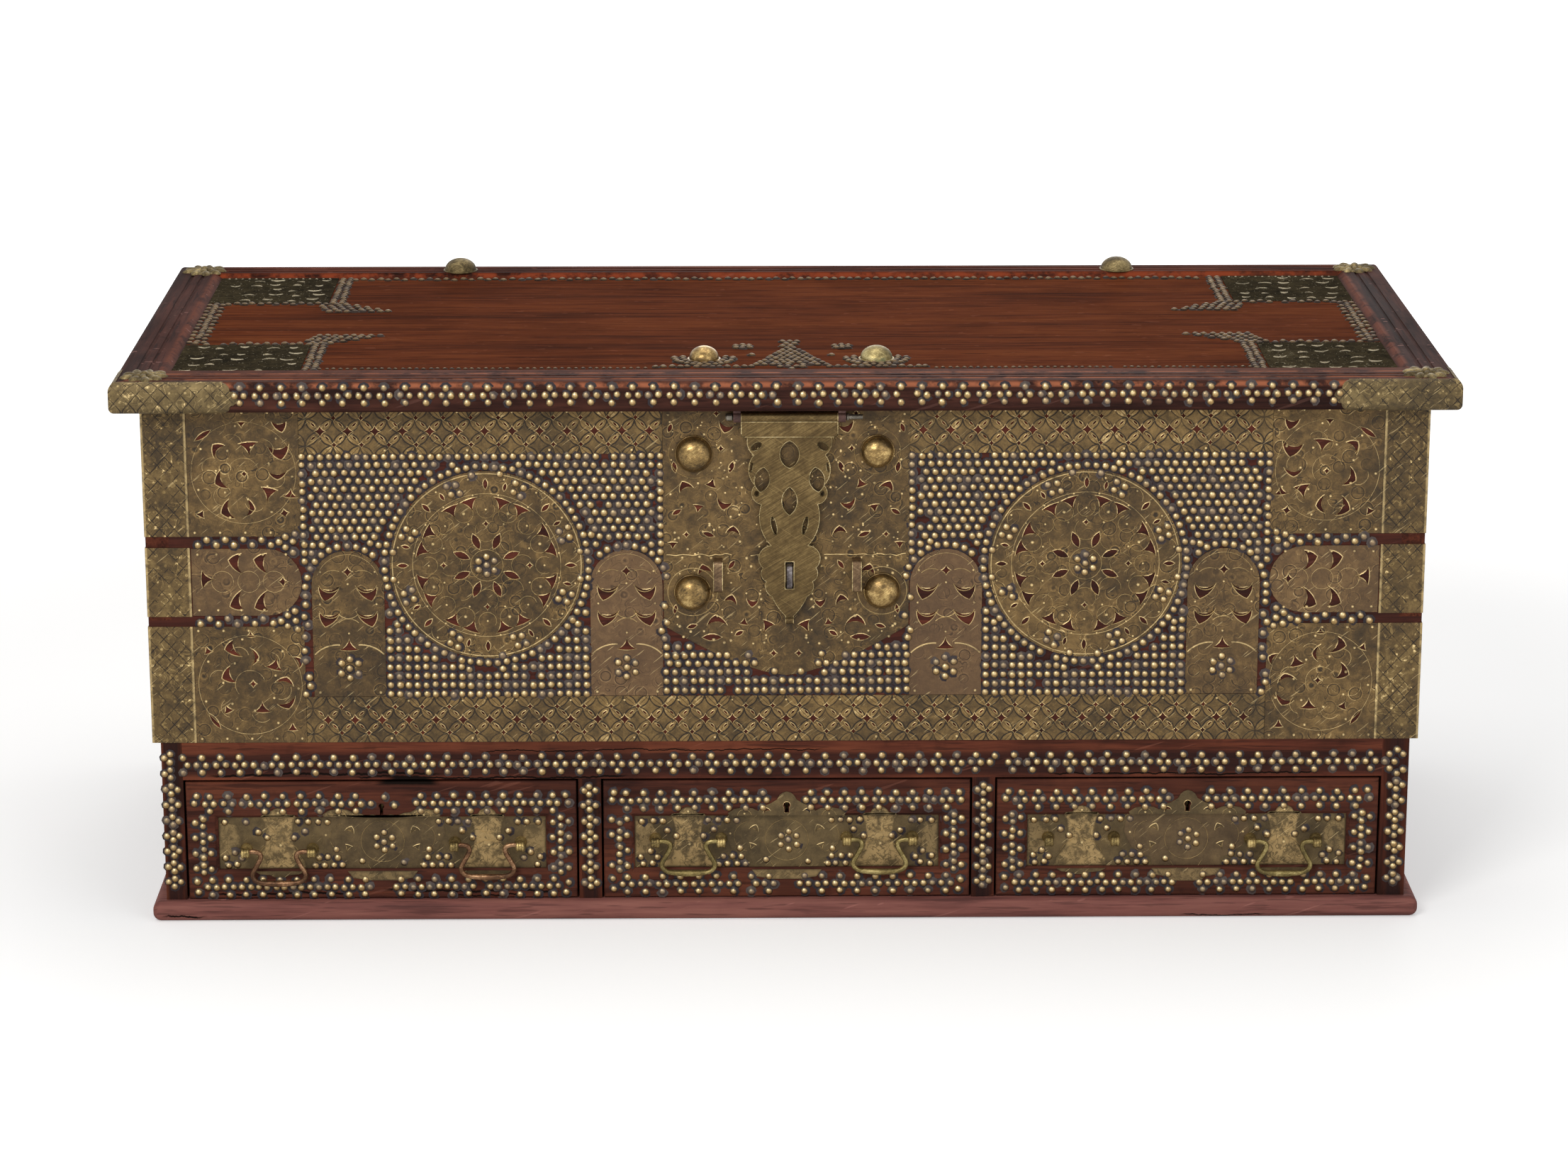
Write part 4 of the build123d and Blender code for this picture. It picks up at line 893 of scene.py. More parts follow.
def spin_about_z(work: bmesh.types.BMesh, parts: Sequence[object], angle: float, steps: int) -> None:
    """Spin corners and edges about the z axis and weld what meets.

    Args:
        work: The mesh they are in.
        parts: The corners and edges.
        angle: Angle in radians they run through.
        steps: Steps they take.
    """
    axis = {"cent": (0, 0, 0), "axis": (0, 0, 1), "angle": angle, "steps": steps}
    bmesh.ops.spin(work, geom=parts, use_merge=abs(angle) >= math.tau, use_duplicate=False, **axis)
    bmesh.ops.remove_doubles(work, verts=work.verts[:], dist=WELD)


def mark(piece: bpy.types.Object, name: str, values: Sequence[float]) -> None:
    """Keep a number at each corner of a piece.

    Args:
        piece: The piece.
        name: Name of the number.
        values: The numbers.
    """
    kept = piece.data.attributes.get(name) or piece.data.attributes.new(name, "FLOAT", "POINT")
    kept.data.foreach_set("value", values)


def painted_rim_shade(piece: bpy.types.Object, middles: Sequence[Place], radius: float) -> None:
    """Darken domes towards their feet: painted shade on their steep flanks, in place of the darker reflections there.

    Args:
        piece: The domes.
        middles: Middles of their feet, in metres.
        radius: Radius of a foot, in metres.
    """
    spots = [Vector(middle) for middle in middles]
    shares = []
    for vert in piece.data.vertices:
        out = vert.co - min(spots, key=lambda spot: (vert.co - spot).length)
        across = math.sqrt(max(0.0, out.length_squared - min(abs(out.y), abs(out.z)) ** 2))
        shares.append(min(1.0, max(0.0, across / radius - 0.80) * 3.0))
    mark(piece, "painted_rim_shade", shares)


# ------------------------------------------------------------------ pierced sheets
@dataclass
class Cut:
    """A piercing through a sheet, with the lip its punch raised."""

    outline: list[Point]
    lip: float = 1.1
    raised: float = 0.45

    def mirrored(self) -> "Cut":
        """Its mirror image about the upright axis."""
        return Cut(mirrored(self.outline), self.lip, self.raised)


Spot: TypeAlias = tuple[list[Point], Point, float]


def punch(spots: Iterable[Spot], lip: float = 1.1, raised: float = 0.45) -> list[Cut]:
    """Piercings from their shapes, places and turns.

    Args:
        spots: Shape, place and turn in degrees of each.
        lip: Width of their lips.
        raised: Height of their lips.

    Returns:
        The piercings.
    """
    return [Cut(shifted(shape, place, angle), lip, raised) for shape, place, angle in spots]


@dataclass
class PiercedSheet:
    """Sheet brass with raised-lipped piercings, beaded bumps and embossed ridges, drawn flat."""

    facing: Facing = Facing.FRONT
    level: float = SHEET_FACE
    thickness: float = 0.8
    rim_width: float = 1.8
    bench: Bench = field(default_factory=Bench)

    def plate(self, outline: Sequence[Point], cuts: Sequence[Cut] = (), copper: float = 0.0, lift: float = 0.0,
              gold: float = 0.0) -> None:  # fmt: skip
        """Add one plate.

        Args:
            outline: Its edge.
            cuts: Its piercings.
            copper: How red its metal is.
            lift: How far it lies over the level.
            gold: How much its face is rubbed bright.
        """
        work = bmesh.new()
        worn, red, rubbed = (work.verts.layers.float.new(name) for name in ("worn", "copper", "gold"))
        rims = [self._loop(work, outline, lift)]
        rims += [self._loop(work, self._widened(cut), lift) for cut in cuts]
        bmesh.ops.triangle_fill(work, use_beauty=True, use_dissolve=False, edges=[e for rim in rims for e in rim])
        for cut, rim in zip(cuts, rims[1:]):
            lip = self._loop(work, cut.outline, lift + cut.raised)
            for vert in {vert for edge in lip for vert in edge.verts}:
                vert[worn] = 1.0
            bmesh.ops.bridge_loops(work, edges=rim + lip)
        self._face_out(work)
        border = [edge for edge in work.edges if edge.is_boundary]
        for item in bmesh.ops.extrude_edge_only(work, edges=border)["geom"]:
            if isinstance(item, bmesh.types.BMVert):
                item.co.z = -self.thickness
        self._face_out(work)
        if gold > RUBBED_SHEET and not cuts:
            faces = [face for face in work.faces if face.normal.z > 0.9]
            rim = {"thickness": self.rim_width, "use_boundary": True, "use_even_offset": True}
            bmesh.ops.inset_region(work, faces=faces, **rim)
            for vert in {vert for face in faces for vert in face.verts}:
                vert[rubbed] = gold
        self._lay(work, (0, 0), red, copper)

    @staticmethod
    def _face_out(work: bmesh.types.BMesh) -> None:
        """Turn every face outwards, the top upwards."""
        bmesh.ops.recalc_face_normals(work, faces=work.faces[:])
        if sum(face.normal.z * face.calc_area() for face in work.faces) < 0:
            bmesh.ops.reverse_faces(work, faces=work.faces[:])

    @staticmethod
    def _widened(cut: Cut) -> list[Point]:
        """The outer edge of a cut's lip."""
        middle = Vector((sum(p[0] for p in cut.outline), sum(p[1] for p in cut.outline))) / len(cut.outline)
        return [tuple(Vector(p) + (Vector(p) - middle).normalized() * cut.lip) for p in cut.outline]

    @staticmethod
    def _loop(work: bmesh.types.BMesh, points: Sequence[Point], height: float) -> list[bmesh.types.BMEdge]:
        """A closed ring of edges.

        Args:
            work: The mesh it goes in.
            points: Its corners.
            height: Its level.

        Returns:
            Its edges.
        """
        verts = [work.verts.new((x, z, height)) for x, z in points]
        return [work.edges.new((a, b)) for a, b in zip(verts, [*verts[1:], verts[0]])]

    def ridge(self, centre: Point, radius: float, start: float = 0.0, sweep: float = 360.0, high: float = 0.7,
              wide: float = 1.7, copper: float = 0.0) -> None:  # fmt: skip
        """An embossed line along an arc.

        Args:
            centre: Middle of the arc.
            radius: Its radius.
            start: Angle in degrees where it starts.
            sweep: Angle it runs through.
            high: Its height.
            wide: Its width.
            copper: How red its metal is.
        """
        work = bmesh.new()
        worn, red = (work.verts.layers.float.new(name) for name in ("worn", "copper"))
        c, s = math.cos(math.radians(start)), math.sin(math.radians(start))
        profile = ((radius - wide / 2, BURIED), (radius, high), (radius + wide / 2, BURIED))
        verts = [work.verts.new((r * c, r * s, h)) for r, h in profile]
        verts[1][worn] = 1.0
        edges = [work.edges.new((verts[i], verts[(i + 1) % 3])) for i in range(3)]
        spin_about_z(work, verts + edges, math.radians(sweep), max(3, round(abs(sweep) * radius / 260) + 4))
        self._close(work)
        self._lay(work, centre, red, copper)

    def bead(self, centre: Point, radius: float = 1.5, high: float = 0.9, copper: float = 0.0) -> None:
        """A small punched bump or nail head.

        Args:
            centre: Its middle.
            radius: Its radius, before its foot spreads.
            high: Its height.
            copper: How red its metal is.
        """
        spread = radius * 1.2
        work = bmesh.new()
        worn, red = (work.verts.layers.float.new(name) for name in ("worn", "copper"))
        profile = ((0, high, 1.0), (spread * 0.6, high * 0.7, 0.5), (spread, BURIED, 0.0))
        verts = []
        for out, up, share in profile:
            verts.append(work.verts.new((out, 0, up)))
            verts[-1][worn] = share
        edges = [work.edges.new(pair) for pair in zip(verts, verts[1:])]
        spin_about_z(work, verts + edges, math.tau, 7)
        self._close(work)
        self._lay(work, centre, red, copper)

    @staticmethod
    def _close(work: bmesh.types.BMesh) -> None:
        """Fill the open ends of a ridge or the foot of a bead."""
        bmesh.ops.holes_fill(work, edges=[edge for edge in work.edges if edge.is_boundary], sides=7)
        bmesh.ops.recalc_face_normals(work, faces=work.faces[:])

    def _lay(self, work: bmesh.types.BMesh, centre: Point, red: object, copper: float) -> None:
        """Colour drawn work and put it on its side of the chest.

        Args:
            work: The work.
            centre: Where its own middle goes.
            red: The layer that holds how red the metal is.
            copper: How red it is.
        """
        for vert in work.verts:
            vert[red] = copper
        bmesh.ops.translate(work, verts=work.verts[:], vec=(*centre, 0))
        bmesh.ops.transform(work, matrix=self.facing.matrix(self.level), verts=work.verts[:])
        self.bench.take(work)


# ------------------------------------------------------------------ tacks
@dataclass
class TackField:
    """Rows, rings and clusters of tacks on one body."""

    facing: Facing = Facing.FRONT
    level: float = -252.4
    radius: float = 4.0
    high: float = 2.6
    gap: float = 7.7
    seed: int = 5
    jitter: float = 0.35
    # reach of each tack's dark skirt, in radii: painted shade on the ground between the tacks, with some dirt
    darkening: float = 1.32
    lean: float = 0.07
    sides: int = 8
    places: list[Place] = field(default_factory=list)
    taken: dict[tuple[int, int], list[Point]] = field(default_factory=dict)

    def one(self, x: float, z: float) -> None:
        """Drive one tack, unless another is in its way."""
        column, row = math.floor(x / self.gap), math.floor(z / self.gap)
        cells = [(column + i, row + j) for i in (-1, 0, 1) for j in (-1, 0, 1)]
        near = [spot for cell in cells for spot in self.taken.get(cell, ())]
        if all((x - a) ** 2 + (z - b) ** 2 > (self.gap * 0.9) ** 2 for a, b in near):
            self.places.append((x, z, self.level))
            self.taken.setdefault((column, row), []).append((x, z))

    def line(self, start: Point, end: Point, pitch: float) -> None:
        """Drive a straight row, its pitch eased to fit."""
        self.zigzag(start, end, 0.0, pitch)

    def zigzag(self, start: Point, end: Point, rise: float, pitch: float) -> None:
        """Drive a row that steps up and down by turns.

        Args:
            start: First tack.
            end: Last tack.
            rise: Height of a step.
            pitch: Distance between tacks, eased to fit.
        """
        count = max(1, round(math.dist(start, end) / pitch))
        for i in range(count + 1):
            t = i / count
            self.one(start[0] + (end[0] - start[0]) * t, start[1] + (end[1] - start[1]) * t + rise * (i % 2 - 0.5))

    def ring(self, centre: Point, radius: float, pitch: float, start: float = 0.0, sweep: float = 360.0) -> None:
        """Drive a round row.

        Args:
            centre: Its middle.
            radius: Its radius.
            pitch: Distance between tacks, eased to fit.
            start: Angle in degrees of the first tack.
            sweep: Angle it runs through.
        """
        count = max(1, round(math.radians(abs(sweep)) * radius / pitch))
        last = count if abs(sweep) >= 360 else count + 1
        for i in range(last):
            x, z = turn((radius, 0), start + sweep * i / count)
            self.one(centre[0] + x, centre[1] + z)

    def rosette(self, centre: Point, radius: float = 8.8, petals: int = 6) -> None:
        """Drive one tack with a ring of others round it."""
        self.one(*centre)
        self.ring(centre, radius, math.tau * radius / petals, 90)

    def cluster(self, centre: Point, spots: Iterable[Point], angle: float = 0.0) -> None:
        """Drive a small group, given from its middle."""
        for spot in shifted(spots, centre, angle):
            self.one(*spot)

    def fill(self, x: Point, z: Point, pitch: Point, keep: Callable[[float, float], bool], brick: bool = True) -> None:
        """Fill a rectangle with rows.

        Args:
            x: Its ends across.
            z: Its foot and head.
            pitch: Distance between tacks and between rows.
            keep: Whether a place is free for a tack.
            brick: Whether every other row is moved by half a tack.
        """
        rows = max(1, round((z[1] - z[0]) / pitch[1]))
        count = max(1, round((x[1] - x[0]) / pitch[0]))
        for j in range(rows + 1):
            high = z[0] + (z[1] - z[0]) * j / rows
            moved = j % 2 if brick else 0
            for i in range(count + 1 - moved):
                across = x[0] + (x[1] - x[0]) * (i + 0.5 * moved) / count
                if keep(across, high):
                    self.one(across, high)

    def crowd(self, x: Point, z: Point, keep: Callable[[float, float], bool], step: float = 2.5) -> None:
        """Drive a tack into every gap of a rectangle that still has room for one.

        Args:
            x: Its ends across.
            z: Its foot and head.
            keep: Whether a place is free for a tack.
            step: Distance between the places that are tried.
        """
        for j in range(int((z[1] - z[0]) / step) + 1):
            for i in range(int((x[1] - x[0]) / step) + 1):
                spot = x[0] + i * step, z[0] + j * step
                if keep(*spot):
                    self.one(*spot)

    def chain(self, start: Point, end: Point, pitch: float, spread: float) -> None:
        """Drive a row with a pair of tacks outside it at every other tack: a chain of diamonds.

        Args:
            start: First tack of the middle row.
            end: Last tack of the middle row.
            pitch: Distance between tacks of the middle row.
            spread: Distance of the outer rows from the middle one.
        """
        count = max(2, 2 * round(math.dist(start, end) / pitch / 2) + 1)
        along = Vector((end[0] - start[0], end[1] - start[1])) / count
        side = Vector((-along.y, along.x)).normalized() * spread
        for i in range(count + 1):
            spot = Vector(start) + along * i
            self.one(*spot)
            if i % 2 == 0 and i < count:
                self.one(*(spot + along / 2 + side))
                self.one(*(spot + along / 2 - side))

    def finish(self, name: str, body: str, material: Material, missing: float = 0.012) -> None:
        """Make the tacks, each driven a little askew.

        Args:
            name: Name of the piece.
            body: The body they are driven in.
            material: Their finish.
            missing: Share that has dropped out.
        """
        chance = random.Random(self.seed)
        head = self._head()
        heights = [math.hypot(vert.co.x, vert.co.y) / self.radius for vert in head.vertices]
        kept = [spot for spot in self.places if chance.random() > missing]
        work = bmesh.new()
        for x, z, level in kept:
            across, up = (Matrix.Rotation(chance.gauss(0, self.lean), 4, axis) for axis in "XY")
            size = Matrix.Scale(chance.uniform(0.93, 1.05), 4)
            spin = Matrix.Rotation(chance.random() * math.tau, 4, "Z")
            near = Matrix.Translation((x + chance.gauss(0, self.jitter), z + chance.gauss(0, self.jitter), 0))
            place = self.facing.matrix(level) @ near @ (across @ up) @ spin @ size
            head.transform(place)
            work.from_mesh(head)
            head.transform(place.inverted())
        self._tint(work, kept, heights, [chance.random() ** 1.6 for _ in kept])
        Bench(work).finish(name, body, material, "cast_brass", crease=75)

    def _head(self) -> bpy.types.Mesh:
        """A turned tack head with a dark skirt round its foot: painted shade on the ground between the tacks, with
        some dirt.

        Returns:
            The mesh that every tack is a copy of.
        """
        r, h = self.radius, self.high
        dome = [(0, h), (r * 0.38, h * 0.93), (r * 0.68, h * 0.74), (r * 0.92, h * 0.4), (r, 0.1)]
        bench = Bench()
        bench.spin_profile([*dome, (r * self.darkening, -0.25), (0, -0.3)], self.sides, Matrix.Identity(4))
        head = bpy.data.meshes.new("tack")
        bench.mesh.to_mesh(head)
        bench.mesh.free()
        return head

    def _tint(self, work: bmesh.types.BMesh, kept: list[Place], heights: list[float], tones: list[float]) -> None:
        """Mark how near the foot each corner is, for the painted shade down the flanks; how dull each tack is; and
        where the painted highlight falls.

        Args:
            work: The tacks.
            kept: Their places.
            heights: Distance from the middle of each corner of one tack, in radii.
            tones: How dull each tack is.
        """
        layers = work.verts.layers.float
        edge, shade, painted_highlight_spot = layers.new("edge"), layers.new("shade"), layers.new("painted_highlight_spot")
        r = self.radius
        for i, vert in enumerate(work.verts):
            tack, corner = divmod(i, len(heights))
            vert[edge] = min(1.0, heights[corner] ** 1.5 * 0.8)
            vert[shade] = tones[tack]
            x, z, level = kept[tack]
            spot = self.facing.matrix(level).inverted() @ vert.co - Vector((x, z, 0))
            # painted highlight: a spot on the upper left of each crown
            rubbed = max(0.0, 1 - Vector((spot.x + 0.2 * r, spot.y - 0.4 * r)).length / (0.6 * r))
            vert[painted_highlight_spot] = rubbed if spot.z > 0.2 else 0.0


def painted_edge_highlights(node: str, name: str, body: str, material: Material, slot: str, radius: float) -> None:
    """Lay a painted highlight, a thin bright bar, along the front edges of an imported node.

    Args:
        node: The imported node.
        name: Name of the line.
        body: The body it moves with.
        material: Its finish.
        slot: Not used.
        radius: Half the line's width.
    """
    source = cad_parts[node]
    work, bench = bmesh.new(), Bench()
    work.from_mesh(source.data)
    bmesh.ops.transform(work, matrix=Matrix.Scale(1 / MM, 4) @ source.matrix_world, verts=work.verts[:])
    bmesh.ops.remove_doubles(work, verts=work.verts[:], dist=0.02)
    for edge in work.edges:
        if not edge.is_manifold or edge.calc_face_angle() < math.radians(40):
            continue
        if min(face.normal.y for face in edge.link_faces) > -0.6:
            continue
        start, end = (vert.co for vert in edge.verts)
        line = end - start
        place = Matrix.Translation((start + end) / 2) @ line.to_track_quat("Z", "Y").to_matrix().to_4x4()
        bar = {"cap_ends": True, "segments": 6, "radius1": radius, "radius2": radius, "depth": line.length + radius}
        bmesh.ops.create_cone(bench.mesh, matrix=place, **bar)
    work.free()
    bench.finish(name, body, material, slot)


# ------------------------------------------------------------------ upper front
@dataclass
class Medallion:
    """A round pierced plate: a rosette, a ring of petals, scallops with wedges between, and small leaves."""

    centre: Point
    radius: float = 92.5
    petal_ring: float = 25.5
    star_ring: float = 41.0
    wedge_ring: float = 60.0
    leaf_ring: float = 80.0

    def outline(self) -> list[Point]:
        """Its edge."""
        return shifted([turn((self.radius, 0), 5 * i) for i in range(72)], self.centre)

    def cuts(self) -> list[Cut]:
        """Every piercing of the plate.

        Returns:
            The piercings.
        """
        shapes = []
        for eighth in range(0, 360, 45):
            shapes.append((leaf(6.8, 16.5), self.petal_ring, eighth + 22.5, 0))
            shapes.append((leaf(4.2, 10.5), self.leaf_ring, eighth, 0))
            shapes.append((leaf(3.2, 8.0), self.leaf_ring - 1, eighth + 31.5, 0))
            shapes.append((wedge(17.0, 12.5), self.wedge_ring, eighth - 13.5, -6))
            shapes.append((wedge(17.0, 12.5), self.wedge_ring, eighth + 13.5, 6))
        shapes += [(star(6.0), self.star_ring, quarter, 0) for quarter in range(0, 360, 90)]
        return punch((shape, around(self.centre, ring, angle), angle + lean) for shape, ring, angle, lean in shapes)

    def emboss(self, sheet: PiercedSheet) -> None:
        """Raise the lines and bumps of the plate.

        Args:
            sheet: The sheet it is part of.
        """
        centre = self.centre
        sheet.ridge(centre, self.radius - 2.5, wide=1.8, high=0.6)
        sheet.ridge(centre, 15.5, wide=1.2)
        sheet.ridge(centre, 70.5, wide=1.1, high=0.4)
        for eighth in range(0, 360, 45):
            sheet.ridge(around(centre, 55.0, eighth), 8.5, eighth + 150, 240, wide=1.1)
            between = around(centre, 55.0, eighth + 22.5)
            sheet.ridge(between, 9.0, eighth + 200, 185, wide=1.1)
            sheet.bead(between, 1.8)
            sheet.ridge(around(centre, 34.0, eighth + 45), 10.5, eighth + 175, 190, wide=1.0)
            for ring, turned in ((70, 10), (70, -10), (44, 22.5), (86, 11), (86, 33), (55, 0)):
                sheet.bead(around(centre, ring, eighth + turned), 1.3)
            sheet.ridge(around(centre, 78.5, eighth + 11), 10.0, eighth + 20, 140, wide=0.9, high=0.35)

    def tacks(self, brads: TackField) -> None:
        """Drive the ring round the plate, its eight inward teeth and the rosette.

        Args:
            brads: The tacks of the front.
        """
        brads.rosette(self.centre)
        brads.ring(self.centre, 97.0, 8.75, 90)
        teeth = ((-4.3, 85.5), (4.3, 84.0), (-3.5, 76.8), (5.0, 75.4))
        for eighth in range(0, 360, 45):
            brads.cluster(self.centre, teeth, eighth + 22.5)
        for quarter in range(0, 360, 90):
            for side in (-8.6, 8.6):
                brads.one(*around(self.centre, 90.0, quarter + side))


@dataclass
class Arch:
    """A round-headed plate with crescents over a bare foot."""

    middle: float
    copper: float = 0.0
    width: float = 69.0
    foot: float = 226.0
    rise: float = 145.0

    @property
    def crown(self) -> Point:
        """Centre of its round head."""
        return self.middle, self.foot + self.rise - self.width / 2

    def outline(self) -> list[Point]:
        """Its edge.

        Returns:
            The points, anticlockwise from the foot.
        """
        half, spring = self.width / 2, self.crown[1]
        right, left = self.middle + half, self.middle - half
        head = shifted([turn((half, 0), 12 * i) for i in range(1, 15)], self.crown)
        return [(right, self.foot), (right, spring), *head, (left, spring), (left, self.foot)]

    def cuts(self) -> list[Cut]:
        """Its star, two pairs of crescents and the cut between the scallops.

        Returns:
            The piercings.
        """
        x = self.middle
        spots = [(star(9.5), (x, 350), 0.0)]
        for height in (328.5, 303.0):
            for side in (-1, 1):
                spots.append((mirrored(horned(18.0, 12.5, 7.5), side), (x + side * 17.0, height), -4 * side))
        return punch([*spots, (wedge(18.0, 10.5), (x, 278.0), 180)])

    def emboss(self, sheet: PiercedSheet) -> None:
        """Raise the scalloped lines between the crescents.

        Args:
            sheet: The sheet it is part of.
        """
        x, red = self.middle, self.copper
        for side in (-1, 1):
            for height in (340.5, 315.0):
                sheet.ridge((x + side * 17.3, height), 11.0, 200, 140, wide=1.3, copper=red)
            sheet.ridge((x + side * 13.6, 337.5), 14.0, 90 - side * 10 - 35, 70, wide=1.2, copper=red)
            sheet.ridge((x + side * 11.0, 247.5), 30.0, 64.5 - side * 21.5, 51, wide=2.2, high=0.8, copper=red)
        sheet.ridge((x, 315.2), 11.6, 215, 110, wide=1.6, copper=red)
        sheet.ridge((x, 290.0), 13.5, 45, 90, wide=1.4, copper=red)
        sheet.ridge((x, 336.5), 30.5, 20, 140, wide=0.9, high=0.35, copper=red)
        for out, height in ((0, 289), (-27, 318), (27, 318), (-26, 350), (26, 350), (0, 338)):
            sheet.bead((x + out, height), 1.3, copper=red)
        for side in (-1, 1):
            sheet.bead((x + side * 29, 230), 1.6, copper=red)

    def tacks(self, brads: TackField) -> None:
        """Drive the row over its head and the rosette on its foot.

        Args:
            brads: The tacks of the front.
        """
        brads.ring(self.crown, self.width / 2 + 4.6, 8.6, 12, 156)
        brads.rosette((self.middle, 254.0), 9.4)

    def clear(self, x: float, z: float) -> bool:
        """Whether a tack misses the plate."""
        if z < self.crown[1]:
            return abs(x - self.middle) > self.width / 2 + 3.6
        return math.dist((x, z), self.crown) > self.width / 2 + 4.0


@dataclass
class TackedBlock:
    """One of the two tacked fields of the front, with its medallion and two arches."""

    side: int
    inner: float = 119.5
    outer: float = 458.5
    foot: float = 228.0
    head: float = 462.6
    ring: float = 97.0

    def __post_init__(self) -> None:
        """Place the medallion and arches."""
        self.medallion = Medallion((285.25 * self.side, 356.0))
        self.arches = [Arch(152.5 * self.side, 0.9), Arch(418.0 * self.side, 0.05 if self.side < 0 else 0.2)]

    def free(self, x: float, z: float) -> bool:
        """Whether a place is outside the plates."""
        clear_ring = math.dist((x, z), self.medallion.centre) > self.ring + 6.2
        return clear_ring and all(arch.clear(x, z) for arch in self.arches)

    def tacks(self, brads: TackField) -> None:
        """Drive every tack of the field.

        Args:
            brads: The tacks of the front.
        """
        self.medallion.tacks(brads)
        for arch in self.arches:
            arch.tacks(brads)
        inner, outer, foot, head = self.inner * self.side, self.outer * self.side, self.foot, self.head
        ends = min(inner, outer), max(inner, outer)
        below = min(191.5 * self.side, 379.0 * self.side), max(191.5 * self.side, 379.0 * self.side)
        brads.line((ends[0], head), (ends[1], head), 8.6)
        brads.line((outer, head), (outer, 318), 8.7)
        for z in (306, 297.5, 286, 272, 262, 245.5, 237, 228):
            brads.one(outer + (2 if int(z) % 2 else -1.5), z)
        brads.line((inner, head), (inner, 343), 8.7)
        for x in below:
            brads.line((x, foot), (x, 318), 9.0)
        for height in (foot, foot + 9.0):
            brads.line((below[0], height), (below[1], height), 8.55)
        brads.fill(below, (foot + 18, 300), (8.55, 8.7), self.free, brick=False)
        brads.fill((ends[0] + 4, ends[1] - 4), (306, head - 8), (8.9, 7.75), self.free)
        brads.crowd(ends, (306, head), self.free)
        brads.crowd(below, (foot, 312), self.free)


